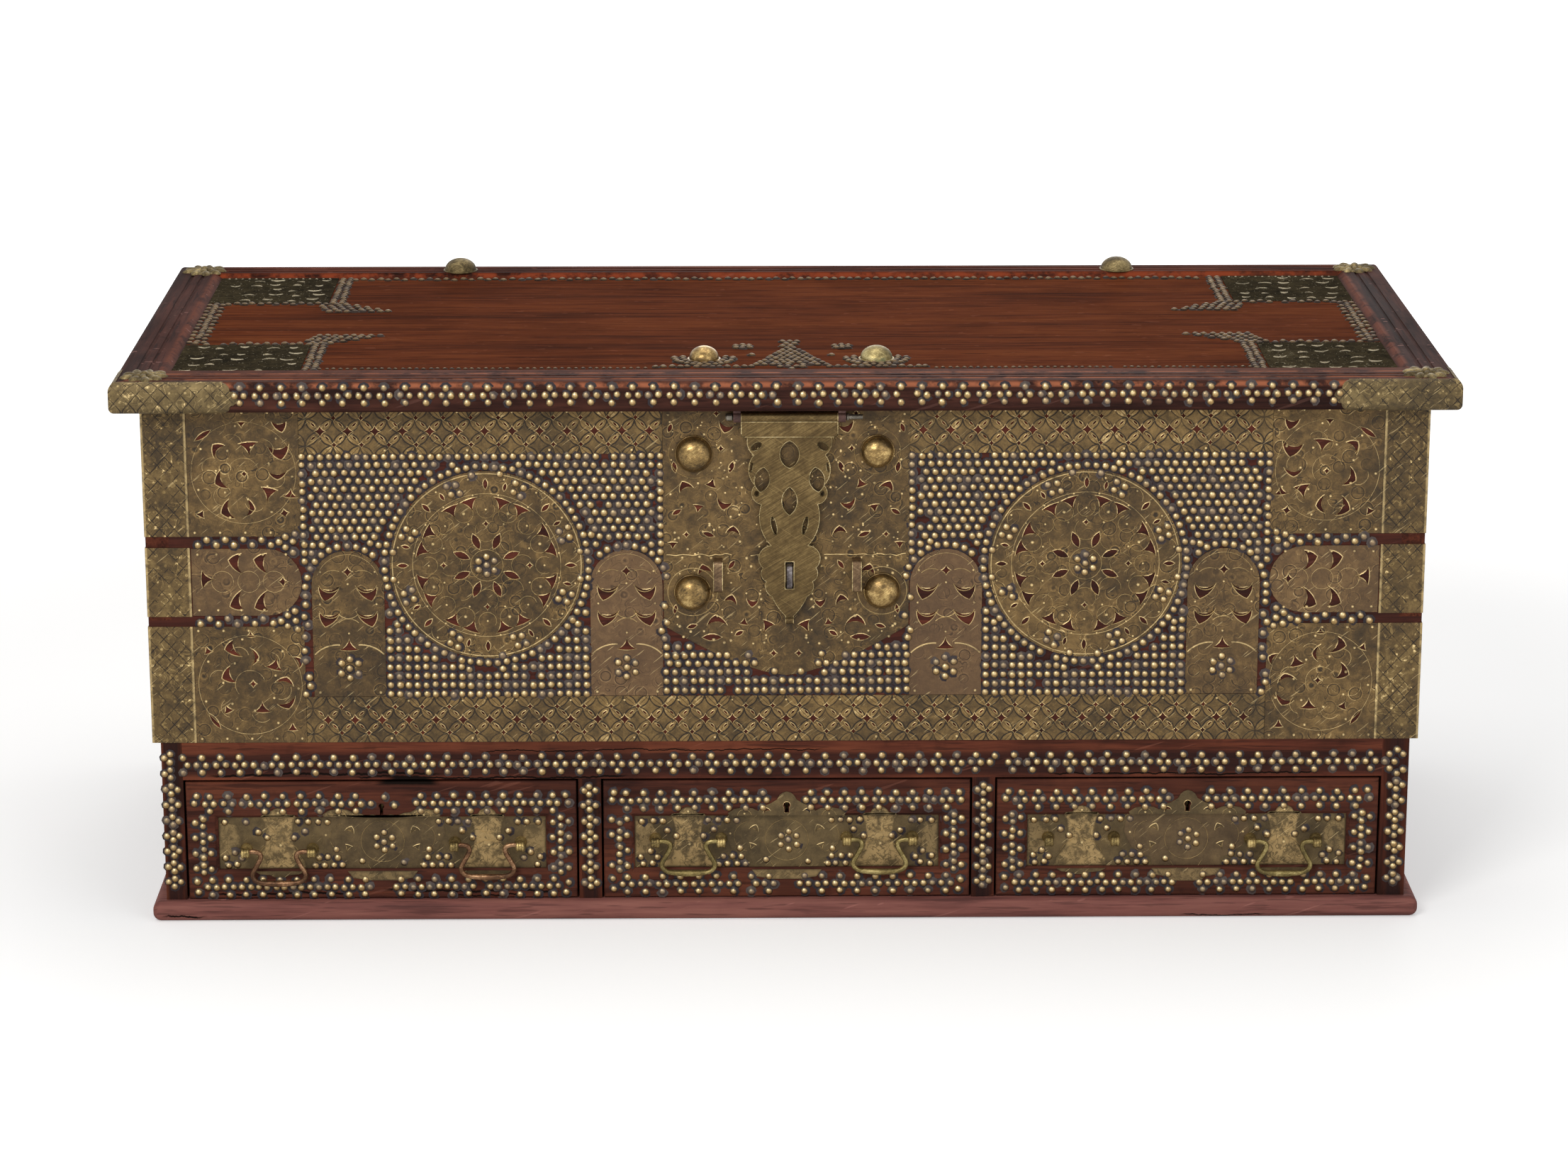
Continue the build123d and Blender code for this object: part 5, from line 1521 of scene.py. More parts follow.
@dataclass
class UpperFront:
    """Everything fixed to the brass-covered front wall."""

    brass: Material
    strips: Material
    cast: Material
    tack: Material
    seam: float = 366.0
    half_plate: float = 117.0
    foot: float = 180.0
    head: float = 510.0
    lap: float = 0.55  # how far the centre plate's upper sheet stands over the lower one
    pitch: float = 25.9
    dome_height: float = 14.0
    domes: tuple[Place, ...] = ((-87.4, 465, 18.4), (86.3, 467, 16.5), (-89.4, 329, 18.0), (91.5, 330, 18.0))

    def build(self) -> None:
        """Make the plates, domes and tacks."""
        blocks = [TackedBlock(-1), TackedBlock(1)]
        self._round_plates(blocks)
        self._centre_plate()
        self._seam_lip()
        self._border()
        self._end_plates()
        self._domes()
        self._tacks(blocks)

    def _round_plates(self, blocks: list[TackedBlock]) -> None:
        """Medallions and arches.

        Args:
            blocks: The two tacked fields.
        """
        discs, heads = PiercedSheet(), PiercedSheet()
        for block in blocks:
            discs.plate(block.medallion.outline(), block.medallion.cuts())
            block.medallion.emboss(discs)
            for arch in block.arches:
                heads.plate(arch.outline(), arch.cuts(), arch.copper)
                arch.emboss(heads)
        self._fix(discs, "medallions_pierced", ["medallion_plates"])
        self._fix(heads, "arches_pierced", ["arch_plates"])

    def _fix(self, sheet: PiercedSheet, name: str, replaces: Sequence[str] = ()) -> None:
        """Finish a sheet of the wall."""
        sheet.bench.finish(name, "carcass", self.brass, "sheet_brass", replaces, LIP_CREASE)

    def _ragged(self, place: float) -> float:
        """Height of the worn seam at a place along it."""
        return self.seam + 2.2 * noise.noise(Vector((place, 0, 0)))

    def _centre_plate(self) -> None:
        """The plate behind the hasp: two sheets lapped at a worn seam, pierced alike on both sides."""
        sheet = PiercedSheet()
        half = self.half_plate
        across = [half * (1 - 2 * i / 20) for i in range(20, -1, -1)]
        curve = [(x, 246 + 50 * (abs(x) / half) ** 1.5) for x in across]
        cuts = punch(LOWER_CUTS)
        lower = [*curve, (half, self.seam + 2), (-half, self.seam + 2)]
        sheet.plate(lower, cuts + [cut.mirrored() for cut in cuts])
        cuts = punch(UPPER_CUTS)
        ragged = [(half - half * 2 * i / 26, self._ragged(i * 0.9)) for i in range(26, -1, -1)]
        upper = [(half, self.head), (-half, self.head), *ragged]
        sheet.plate(upper, cuts + [cut.mirrored() for cut in cuts], lift=self.lap)
        for x, z, radius in self.domes:
            sheet.ridge((x, z), radius + 5.5, wide=1.6, high=0.7 + (0.5 if z > self.seam else 0))
        chance = random.Random(11)
        for _ in range(120):
            x, z = chance.uniform(4, 112), chance.uniform(275, 504)
            lift = self.lap if z > self.seam else 0.0
            for side in (-1, 1):
                sheet.bead((side * x, z), chance.uniform(1.0, 1.7), 0.5 + lift)
        self._fix(sheet, "centre_plate_pierced", ["front_centre_plate"])

    def _seam_lip(self) -> None:
        """The bright, curled edge of the upper sheet."""
        bench = Bench()
        for low, high in ((-114, -52), (36, 114), (-34, -18)):
            count = int((high - low) / 3)
            across = [low + (high - low) * i / count for i in range(count + 1)]
            path = [Vector((x, SHEET_FACE - 0.8, self._ragged((self.half_plate - x) / 8.1))) for x in across]
            radii = [0.35 + 0.55 * abs(noise.noise(Vector((x * 0.11, 3, 0)))) for x in across]
            bench.sweep(path, radii, 6)
        piece = bench.finish("centre_plate_lip", "carcass", self.brass, "sheet_brass")
        mark(piece, "worn", [1.0] * len(piece.data.vertices))

    def _border(self) -> None:
        """Strips over and under the fields."""
        sheet = PiercedSheet()
        self._strip(sheet, (-461, 461), (self.foot, 225.6), 202.5)
        self._strip(sheet, (-461, -117.2), (465, self.head), 487.5)
        self._strip(sheet, (117.2, 461), (465, self.head), 487.5)
        sheet.bench.finish("border_strips", "carcass", self.strips, "sheet_brass", ["front_border_plates"], LIP_CREASE)

    def _strip(self, sheet: PiercedSheet, x: Point, z: Point, middle: float) -> None:
        """A border strip pierced with stars.

        Args:
            sheet: The sheet it is part of.
            x: Its ends.
            z: Its foot and head.
            middle: Height of the middles of its flowers.
        """
        cuts = []
        half = self.pitch / 2
        places = range(math.ceil((x[0] + 8) / half), math.floor((x[1] - 8) / half) + 1)
        for i in places:
            place = i * self.pitch / 2
            if i % 2 == 0:
                cuts += punch([(star(10.5), (place, middle), 0.0)], 1.0)
                for angle in (45, 135, 225, 315):
                    spot = turn((9.2, 0), angle)
                    cuts += punch([(leaf(1.9, 6.0), (place + spot[0], middle + spot[1]), angle - 90)], 0.8, 0.35)
            else:
                cuts += punch([(star(6.0), (place, middle + up), 0.0) for up in (-13.0, 13.0)], 0.8, 0.35)
        sheet.plate(rectangle(x, z), cuts)
        for i in places:
            if i % 4 == 0:
                sheet.bead((i * self.pitch / 2, z[1] - 4), 1.3)
            if i % 6 == 0:
                sheet.bead((i * self.pitch / 2 + 9, z[0] + 4), 1.6)

    def _end_plates(self) -> None:
        """The plates at the ends of the wall."""
        sheet = PiercedSheet()
        for side in (-1, 1):
            self._end_plate(sheet, side, (self.foot, 296), LOWER_END_CUTS)
            self._end_plate(sheet, side, (385, self.head), UPPER_END_CUTS)
            self._cartouche(sheet, side)
        self._fix(sheet, "end_plates_pierced")

    @staticmethod
    def _end_plate(sheet: PiercedSheet, side: int, z: Point, spots: Iterable[Spot]) -> None:
        """A tall end plate with a worn ring of crescents.

        Args:
            sheet: The sheet it is part of.
            side: -1 on the left, 1 on the right.
            z: Its foot and head.
            spots: Its piercings, as on the left.
        """
        middle, half = (513.7 * side, (z[0] + z[1]) / 2), 53
        cuts = punch(spots, 1.3, 0.5)
        if side > 0:
            cuts = [cut.mirrored() for cut in cuts]
        sheet.plate(rectangle((middle[0] - half, middle[0] + half), z), cuts)
        for sixth in range(0, 360, 60):
            sheet.ridge(around(middle, 30.0, sixth + 20), 9.5, sixth + 10, 130, wide=1.0, high=0.4)
        sheet.ridge(middle, 49.5, wide=0.9, high=0.3)
        sheet.ridge(middle, 14.5, 20, 200, wide=0.9, high=0.35)
        for x in (-48, -24, 0, 24, 48):
            for up in (-1, 1):
                sheet.bead((middle[0] + x, middle[1] + up * ((z[1] - z[0]) / 2 - 4)), 1.5)
        for i in range(14):
            sheet.bead(around(middle, 46 - 20 * (i % 2), 360 * i / 14 + 8), 1.5)

    @staticmethod
    def _cartouche(sheet: PiercedSheet, side: int) -> None:
        """The middle end plate, round at its inner end.

        Args:
            sheet: The sheet it is part of.
            side: -1 on the left, 1 on the right.
        """
        low, high, inner, outer = 307.0, 373.0, 461.5, 566.0
        half, middle = (high - low) / 2, (high + low) / 2
        bend = inner + half
        arc = [math.radians(angle) for angle in range(15, 180, 15)]
        round_end = [(bend - half * math.sin(angle), middle + half * math.cos(angle)) for angle in arc]
        outline = [(outer, low), (outer, high), (bend, high), *round_end, (bend, low)]
        spots = ((524.5, 358.5, 5.0), (500.5, 358.5, 5.5), (524.5, 323, -5.0), (501, 322, -5.5))
        cuts = punch((horned(17.5, 11.0, lean), (x, z), 90) for x, z, lean in spots)
        cuts += punch([(wedge(17, 12), (550, 343), -90), (star(9), (479.5, 340.5), 0)])
        cuts = [Cut([(side * x, z) for x, z in cut.outline], 1.3, 0.5) for cut in cuts]
        sheet.plate([(side * x, z) for x, z in outline], cuts, 0.55)
        for x in (488, 512, 537):
            sheet.ridge((side * x, 340.5), 10.5, wide=0.9, high=0.35, copper=0.6)
        for x in (476, 498, 520, 542, 560):
            for z in (312.5, 367.5):
                sheet.bead((side * x, z), 1.5, copper=0.55)

    def _domes(self) -> None:
        """Four beaten domes on flat collars."""
        bench = Bench()
        level = SHEET_FACE - 0.1
        for x, z, radius in self.domes:
            high, inner = self.dome_height - 1.4, radius - 1.0
            arc = [turn((1, 0), angle) for angle in range(81, -1, -9)]
            dome = [(0.0, self.dome_height), *((inner * out, 1.4 + high * up) for out, up in arc)]
            collar = [(radius - 0.3, 1.0), (radius, 0.3), (radius, 0.0), (0, 0)]
            bench.spin_profile(dome + collar, 40, Facing.FRONT.matrix(level) @ Matrix.Translation((x, z, 0)))
        piece = bench.finish("front_domes", "carcass", self.cast, "cast_brass", ["front_bosses"], 50)
        # painted shade towards the domes' feet
        painted_rim_shade(piece, [(x * MM, level * MM, z * MM) for x, z, _ in self.domes], 18 * MM)

    def _tacks(self, blocks: list[TackedBlock]) -> None:
        """Every tack of the wall.

        Args:
            blocks: The two tacked fields.
        """
        brads = TackField(level=-252.6, seed=3, darkening=1.5)
        for block in blocks:
            block.tacks(brads)
        self._foot_band(brads)
        for side in (-1, 1):
            self._end_rows(brads, side)
        brads.finish("front_tacks", "carcass", self.tack)

    @staticmethod
    def _foot_band(brads: TackField) -> None:
        """The stepped band under the centre plate.

        Args:
            brads: The tacks of the front.
        """
        for z in (231.0, 240.3):
            brads.line((-114.5, z), (115.5, z), 8.6)
        rows = (
            (249.3, ((-114.5, -38), (37, 115.5))), (257.8, ((-112, -30), (31, 114))),
            (266.2, ((-114, -56), (57, 115.5))), (274.4, ((-114.5, -93), (88, 114))),
        )  # fmt: skip
        for z, spans in rows:
            for low, high in spans:
                brads.line((low, z), (high, z), 8.7)
        brads.cluster((0, 0), (
            (-11, 250), (14, 250), (-36, 266), (34, 267), (-116, 283), (-119, 291), (-114, 299),
            (-116, 315), (-119.5, 323), (116, 283), (119, 291), (114, 305), (118.5, 323),
        ))  # fmt: skip

    @staticmethod
    def _end_rows(brads: TackField, side: int) -> None:
        """The rows over and under the cartouche, which swell towards the field.

        Args:
            brads: The tacks of the front.
            side: -1 on the left, 1 on the right.
        """
        for z, out in ((379.5, -0.9), (301.5, 0.9)):
            brads.zigzag((side * 559, z), (side * 490, z), 5.0, 8.8)
            for x, rise in ((482, 0), (476, 6), (476, -6), (469, 0), (469, 11), (467, -9), (462, 5)):
                brads.one(side * x, z + rise * out)


# piercings as shape, place and turn in degrees: the centre plate's right half, then the left end plates
LOWER_CUTS = (
    (leaf(6.5, 19), (71, 284), 90), (horned(17, 9), (66, 301), 180), (wedge(12, 13), (19.5, 293), 25),
    (horned(10, 7), (33, 318), 10), (leaf(4, 10), (90, 295), 75), (star(7), (12, 268), 0),
    (leaf(4, 9), (45, 288), 60), (horned(12, 8), (78, 352), 170), (leaf(4, 10), (52, 356), 35),
    (horned(11, 7), (52, 322), 200), (leaf(3.6, 9), (106, 312), 10), (wedge(9, 8), (40, 301), 190),
)  # fmt: skip
UPPER_CUTS = (
    (horned(13, 8), (58, 490), 20), (leaf(4.6, 12), (52, 452), 20), (wedge(11, 10), (70, 438), 200),
    (horned(12, 8), (96, 434), 160), (leaf(4.4, 11), (106, 452), 170), (star(6.5), (62, 470), 0),
    (horned(13, 8), (60, 415), 20), (wedge(10, 9), (84, 410), 10), (leaf(4.2, 10), (104, 408), 60),
    (horned(12, 7), (50, 390), 190), (leaf(4.4, 12), (74, 386), 110), (star(6), (95, 386), 0),
    (leaf(4, 9), (110, 490), 20), (wedge(9, 8), (108, 374), 0), (star(6), (66, 504), 0),
)  # fmt: skip
UPPER_END_CUTS = (
    (leaf(4.6, 19), (-551, 484), -56), (wedge(10, 5.5), (-514.4, 494), 0), (horned(12, 9, 4), (-479, 492), 0),
    (horned(14, 8), (-539, 471), -130), (wedge(18, 13), (-508, 470), 5), (horned(17.5, 12.5, 2), (-479, 467), 8),
    (horned(17, 9, 3), (-536.5, 440), -70), (horned(15.5, 7), (-480.5, 445), 6), (wedge(15.5, 14), (-491, 425), -12),
    (wedge(14, 8), (-469.8, 428), 175), (wedge(9, 8), (-554, 409), 150), (horned(17.5, 10, 3), (-531, 411), -75),
    (horned(16, 7.5), (-508, 414), 88), (star(8.5), (-476, 408), 10), (star(6), (-513, 446.5), 0),
)  # fmt: skip
LOWER_END_CUTS = (
    (wedge(8, 8), (-554, 274), 200), (horned(16, 10, -3), (-530, 272), -62), (horned(15, 6), (-508.5, 267), 98),
    (wedge(17, 12), (-489, 260), 165), (horned(15, 10, 2), (-535.5, 247), -72), (horned(16, 7), (-481, 242), 170),
    (star(7), (-511, 239), 0), (wedge(10, 8.5), (-537, 215), 205), (wedge(17.5, 9.5), (-503, 216), 180),
    (horned(17, 8), (-478, 219), 25), (wedge(9, 9), (-474.5, 197), 180), (leaf(4.6, 19), (-549, 202), 35),
    (horned(11, 6), (-466.5, 262), 120), (wedge(9, 5.5), (-512, 289), 180),
)  # fmt: skip


# ------------------------------------------------------------------ lid
@dataclass
class LidDressing:
    """Tacks, corner sheets, palmettes and domes of the lid."""

    sheet: Material
    cast: Material
    aged: Material
    tack: Material
    dull_tack: Material
    half: float = 584.2
    front: float = -217.2
    back: float = 234.0
    plate_length: float = 122.0
    plate_depth: float = 126.0
    front_domes: tuple[Place, ...] = ((-78.0, -156.0, 16.0), (88.0, -156.0, 17.2))

    def build(self) -> None:
        """Make everything on the lid."""
        self._corner_sheets()
        self._palmettes()
        self._domes()
        self._front_tacks()
        self._top_tacks()
        self._fine_tacks()

    def _corner_sheets(self) -> None:
        """Pierced sheets in the corners of the panel."""
        sheet = PiercedSheet(Facing.TOP, PANEL_TOP + 0.8)
        chance = random.Random(4)
        for side in (-1, 1):
            x = sorted((side * self.half, side * (self.half - self.plate_length)))
            for near, far in ((self.front, self.front + self.plate_depth), (self.back - self.plate_depth, self.back)):
                sheet.plate(rectangle(x, (near, far)), self._corner_cuts((x[0] + 15, near + 14), chance))
                for i in range(16):
                    sheet.bead((x[0] + 8 + 7 * i, near + 5 if near < 0 else far - 5), 1.4)
        sheet.bench.finish("lid_corner_sheets", "lid", self.sheet, "sheet_brass", ["lid_corner_plates"], LIP_CREASE)

    @staticmethod
    def _corner_cuts(first: Point, chance: random.Random) -> list[Cut]:
        """Uneven rows of crescents, some of them missing.

        Args:
            first: The first one's place.
            chance: The sheets' source of unevenness.

        Returns:
            The piercings.
        """
        cuts = []
        for i in range(5):
            for j in range(5):
                place = (first[0] + 23 * i + chance.uniform(-5, 5), first[1] + 24 * j + chance.uniform(-4, 4))
                shape = horned(chance.uniform(6.0, 12.5), chance.uniform(4.0, 6.0), chance.uniform(-2, 2))
                outline = shifted(shape, place, 180 * (i % 2) + chance.uniform(-22, 22))
                cut = Cut(outline, 1.1, chance.uniform(0.2, 0.8))
                if chance.random() > 0.15:
                    cuts.append(cut)
        return cuts

    def _palmettes(self) -> None:
        """A palmette on each mitre of the frame."""
        bench = Bench()
        for side in (-1, 1):
            for y in (-249.2, 250):
                self._palmette(bench, side, y)
        bench.finish("lid_palmettes", "lid", self.aged, "cast_brass", ["lid_corner_plates"], 60)

    @staticmethod
    def _palmette(bench: Bench, side: int, y: float) -> None:
        """A cast fan of lobes on a mitre of the frame.

        Args:
            bench: The mesh it goes in.
            side: -1 on the left, 1 on the right.
            y: Its middle from front to back.
        """
        middle = Matrix.Translation((side * 604.2, y, RAIL_TOP))
        lobe = [(0, 3.6), (3.0, 3.1), (5.0, 1.6), (5.8, -0.3), (0, -0.4)]
        for i in range(9):
            out = 14.5 + 1.5 * (i % 2)
            place = middle @ Matrix.Rotation(math.tau * i / 9, 4, "Z") @ Matrix.Translation((out, 0, 0))
            bench.spin_profile(lobe, 10, place @ Matrix.Diagonal((1.45, 0.8, 1.0, 1.0)))
        for i in range(6):
            place = middle @ Matrix.Rotation(math.tau * (i + 0.5) / 6, 4, "Z") @ Matrix.Translation((7.0, 0, 1.4))
            bench.spin_profile(lobe, 9, place @ Matrix.Diagonal((1.0, 0.6, 0.8, 1.0)))
        plate = [(0, 1.6), (15, 1.5), (17, 0.8), (17.5, -0.3), (0, -0.4)]
        bench.spin_profile(plate, 24, middle)
        bench.spin_profile([(0, 6.0), (2.6, 5.4), (4.2, 3.6), (4.6, 1.0), (0, 0.5)], 14, middle)

    def _domes(self) -> None:
        """The domes over the hinges and near the front."""
        hinge_domes = [(x, 253.0, RAIL_TOP) for x in (-336.0, 354.0)]
        (x0, y0, amber), (x1, y1, green) = self.front_domes
        verdigris = CastFinish("verdigris_brass", (0.10, 0.075, 0.03), (0.33, 0.26, 0.11), (0.66, 0.56, 0.28), 0.85)
        for name, places, radius, metal in (
            ("lid_hinge_domes", hinge_domes, 18.0, self.aged),
            ("lid_dome_amber", [(x0, y0, PANEL_TOP)], amber, self.cast),
            ("lid_dome_verdigris", [(x1, y1, PANEL_TOP)], green, verdigris.material()),
        ):
            bench = Bench()
            for place in places:
                bench.spin_profile(self._dome(radius), 36, Matrix.Translation(place))
            bench.finish(name, "lid", metal, "cast_brass", ["lid_bosses"], 50)

    @staticmethod
    def _dome(radius: float, high: float = 13.0) -> list[Point]:
        """Profile of a beaten dome with a narrow flange."""
        arc = [turn((1, 0), angle) for angle in range(81, -1, -9)]
        dome = [((radius - 1.6) * out, 1.0 + (high - 1.0) * up) for out, up in arc]
        return [(0.0, high), *dome, (radius, 0.7), (radius, -0.1), (0.0, -0.1)]

    def _front_tacks(self) -> None:
        """Chain of tack diamonds along the front edge."""
        brads = TackField(radius=3.9, seed=7, gap=7.2, darkening=1.5)
        start, end, pitch = -512.0, 514.0, 19.2
        count = round((end - start) / pitch)
        for i in range(count + 1):
            x = start + (end - start) * i / count
            brads.level = -278.4
            brads.one(x, 535.2)
            brads.level = -279.0
            brads.cluster((x, 0), ((-4.6, 528.0), (4.6, 528.0), (0, 521.0)))
        brads.finish("lid_front_tacks", "lid", self.tack, 0.006)

    def _top_tacks(self) -> None:
        """Chains round the corner sheets, arrows, borders and the figure behind the hasp."""
        brads = TackField(Facing.TOP, PANEL_TOP, 3.75, 2.3, 6.8, 9, 0.5, 1.45)
        inner = self.half - self.plate_length
        for side in (-1, 1):
            end = side * (self.half - 9)
            brads.chain((end, -84), (end, 101), 8.2, 6.6)
            for edge, out in ((self.front + self.plate_depth, 1), (self.back - self.plate_depth, -1)):
                y = edge + 4 * out
                brads.zigzag((side * (self.half - 20), y), (side * (inner + 2), y), 4.5, 8.4)
                self._arrow(brads, side, edge, out)
                far = self.front if out > 0 else self.back
                for offset in (0.0, 8.0):
                    x = side * (inner - 5 - offset)
                    brads.line((x, edge + 2 * out), (x, far + 6 * out), 8.3)
        brads.zigzag((-inner + 18, self.back - 8), (inner - 18, self.back - 8), 4.0, 8.6)
        self._figure(brads)
        brads.finish("lid_top_tacks", "lid", self.dull_tack, 0.01)

    @staticmethod
    def _arrow(brads: TackField, side: int, edge: float, out: int) -> None:
        """A barb of tacks pointing inwards from a corner sheet.

        Args:
            brads: The tacks of the panel.
            side: -1 on the left, 1 on the right.
            edge: Inner edge of the sheet from front to back.
            out: Direction from the sheet to the middle.
        """
        for j in range(5):
            start, end, y = 470 - 3 * j, 436 - 9.5 * j + 2 * (4 - j), edge + out * (8 + 8.4 * j)
            brads.line((side * start, y), (side * end, y), 8.5)
        brads.line((side * 446, edge + out * 6), (side * 398, edge + out * 44), 8.4)

    def _figure(self, brads: TackField) -> None:
        """Stepped figure, two small rosettes, and half rings round the two front domes.

        Args:
            brads: The tacks of the panel.
        """
        middle = 6.0
        rows = ((-82, 3), (-92, 2), (-102, 3), (-112, 2), (-121, 3), (-130, 4), (-139, 5),
                (-148, 6), (-157, 7), (-166, 8), (-175, 9), (-184, 10), (-193, 4), (-203, 1))  # fmt: skip
        for y, count in rows:
            for i in range(count):
                brads.one(middle + (i - (count - 1) / 2) * 7.4, y)
        for x in (-40.5, 56.0):
            brads.rosette((x, -104.0), 7.6)
        for x in (-31.0, 45.5):
            brads.one(x, -141.0)
        for x, y, radius in self.front_domes:
            for ring, sweep in ((radius + 4.6, 205), (radius + 12.0, 190)):
                brads.ring((x, y), ring, 7.4, -90 - sweep / 2, sweep)
            brads.line((x - 46, -192), (x + 46, -192), 7.6)

    def _fine_tacks(self) -> None:
        """The fine line along the front of the panel."""
        pins = TackField(Facing.TOP, PANEL_TOP, 2.1, 1.3, 4.0, 10, 0.3, 1.5)
        pins.line((-444, -196.5), (-134, -196.5), 6.6)
        pins.line((144, -196.5), (444, -196.5), 6.6)
        pins.finish("lid_fine_tacks", "lid", self.dull_tack, 0.02)


# ------------------------------------------------------------------ handles
@dataclass
class SwanHandle:
    """A drop handle: pinched at its neck, bowed at its foot, with a swelled grip."""

    posts: float = 64.0
    neck: float = 17.5
    bulge: float = 25.5
    bulge_drop: float = 21.0
    foot: float = 17.0
    drop: float = 30.5
    rod: float = 2.4
    grip: float = 3.2
    head: float = 5.1
    head_length: float = 8.4

    def knots(self) -> list[Point]:
        """Points the bar's middle line runs through, across and up from the pivot.

        Returns:
            The points, from right to left.
        """
        n, b, h, r = self.neck, self.bulge, self.drop, self.rod
        half = [
            (self.posts / 2 - 1.0, 0.0), ((self.posts / 2 + n) / 2 + 1, 0.7 * r), (n + 1.5, 0.1 * r),
            (n - 0.3, -0.12 * h), (n + 1.2, -0.27 * h), ((n + b) / 2 + 0.5, -0.47 * h), (b, -self.bulge_drop),
            (b - 0.9, -0.86 * h), (self.foot + 2, -0.985 * h), (self.foot * 0.5, -1.02 * h),
        ]  # fmt: skip
        return [*half, (0.0, -1.03 * h), *((-x, z) for x, z in reversed(half))]

    def bar(self, bench: Bench, place: Matrix, steps: int = 4) -> None:
        """Make the bar.

        Args:
            bench: The mesh it goes in.
            place: From the handle's flat drawing to its place.
            steps: Pieces between two knots.
        """
        knots = [Vector((*knot, 0)) for knot in self.knots()]
        around_each = zip([knots[0], *knots], knots, knots[1:], [*knots[2:], knots[-1]])
        points = []
        for before, a, b, after in around_each:
            drift, bend = b - before, 2 * before - 5 * a + 4 * b - after
            twist = 3 * a - before - 3 * b + after
            for t in (j / steps for j in range(steps)):
                points.append(0.5 * (2 * a + drift * t + bend * t**2 + twist * t**3))
        points.append(knots[-1])
        bench.sweep([place @ point for point in points], [self._radius(point) for point in points], 12)

    def _radius(self, spot: Vector) -> float:
        """The bar's radius at a point, swelled at its foot."""
        low = max(0.0, (-spot.y - 0.9 * self.drop) / (0.13 * self.drop)) * max(0.0, 1 - (abs(spot.x) / self.foot) ** 2)
        return self.rod + (self.grip - self.rod) * low

    def post(self, bench: Bench, pivot: Vector, across: Matrix, wall: float) -> None:
        """Make a turned post whose barrel head holds the bar.

        Args:
            bench: The mesh it goes in.
            pivot: Middle of the barrel.
            across: Turn that lays the barrel's axis along the handle.
            wall: How far behind the pivot the post meets its plate.
        """
        r, half = self.head, self.head_length / 2
        end = [(r * 0.8, half), (r, half * 0.78), (r, half * 0.4), (r * 0.9, half * 0.28)]
        barrel = [(0, -half), *((out, -along) for out, along in end), *reversed(end), (0, half)]
        place = Matrix.Translation(pivot) @ across
        bench.spin_profile(barrel, 18, place @ Matrix.Rotation(math.pi / 2, 4, "Y"))
        shank = [(0, 0), (r * 0.62, 0), (r * 0.62, wall * 0.55), (r * 0.85, wall * 0.72), (r * 1.15, wall * 0.9)]
        bench.spin_profile([*shank, (r * 1.2, wall), (0, wall)], 16, place @ Matrix.Rotation(-math.pi / 2, 4, "X"))


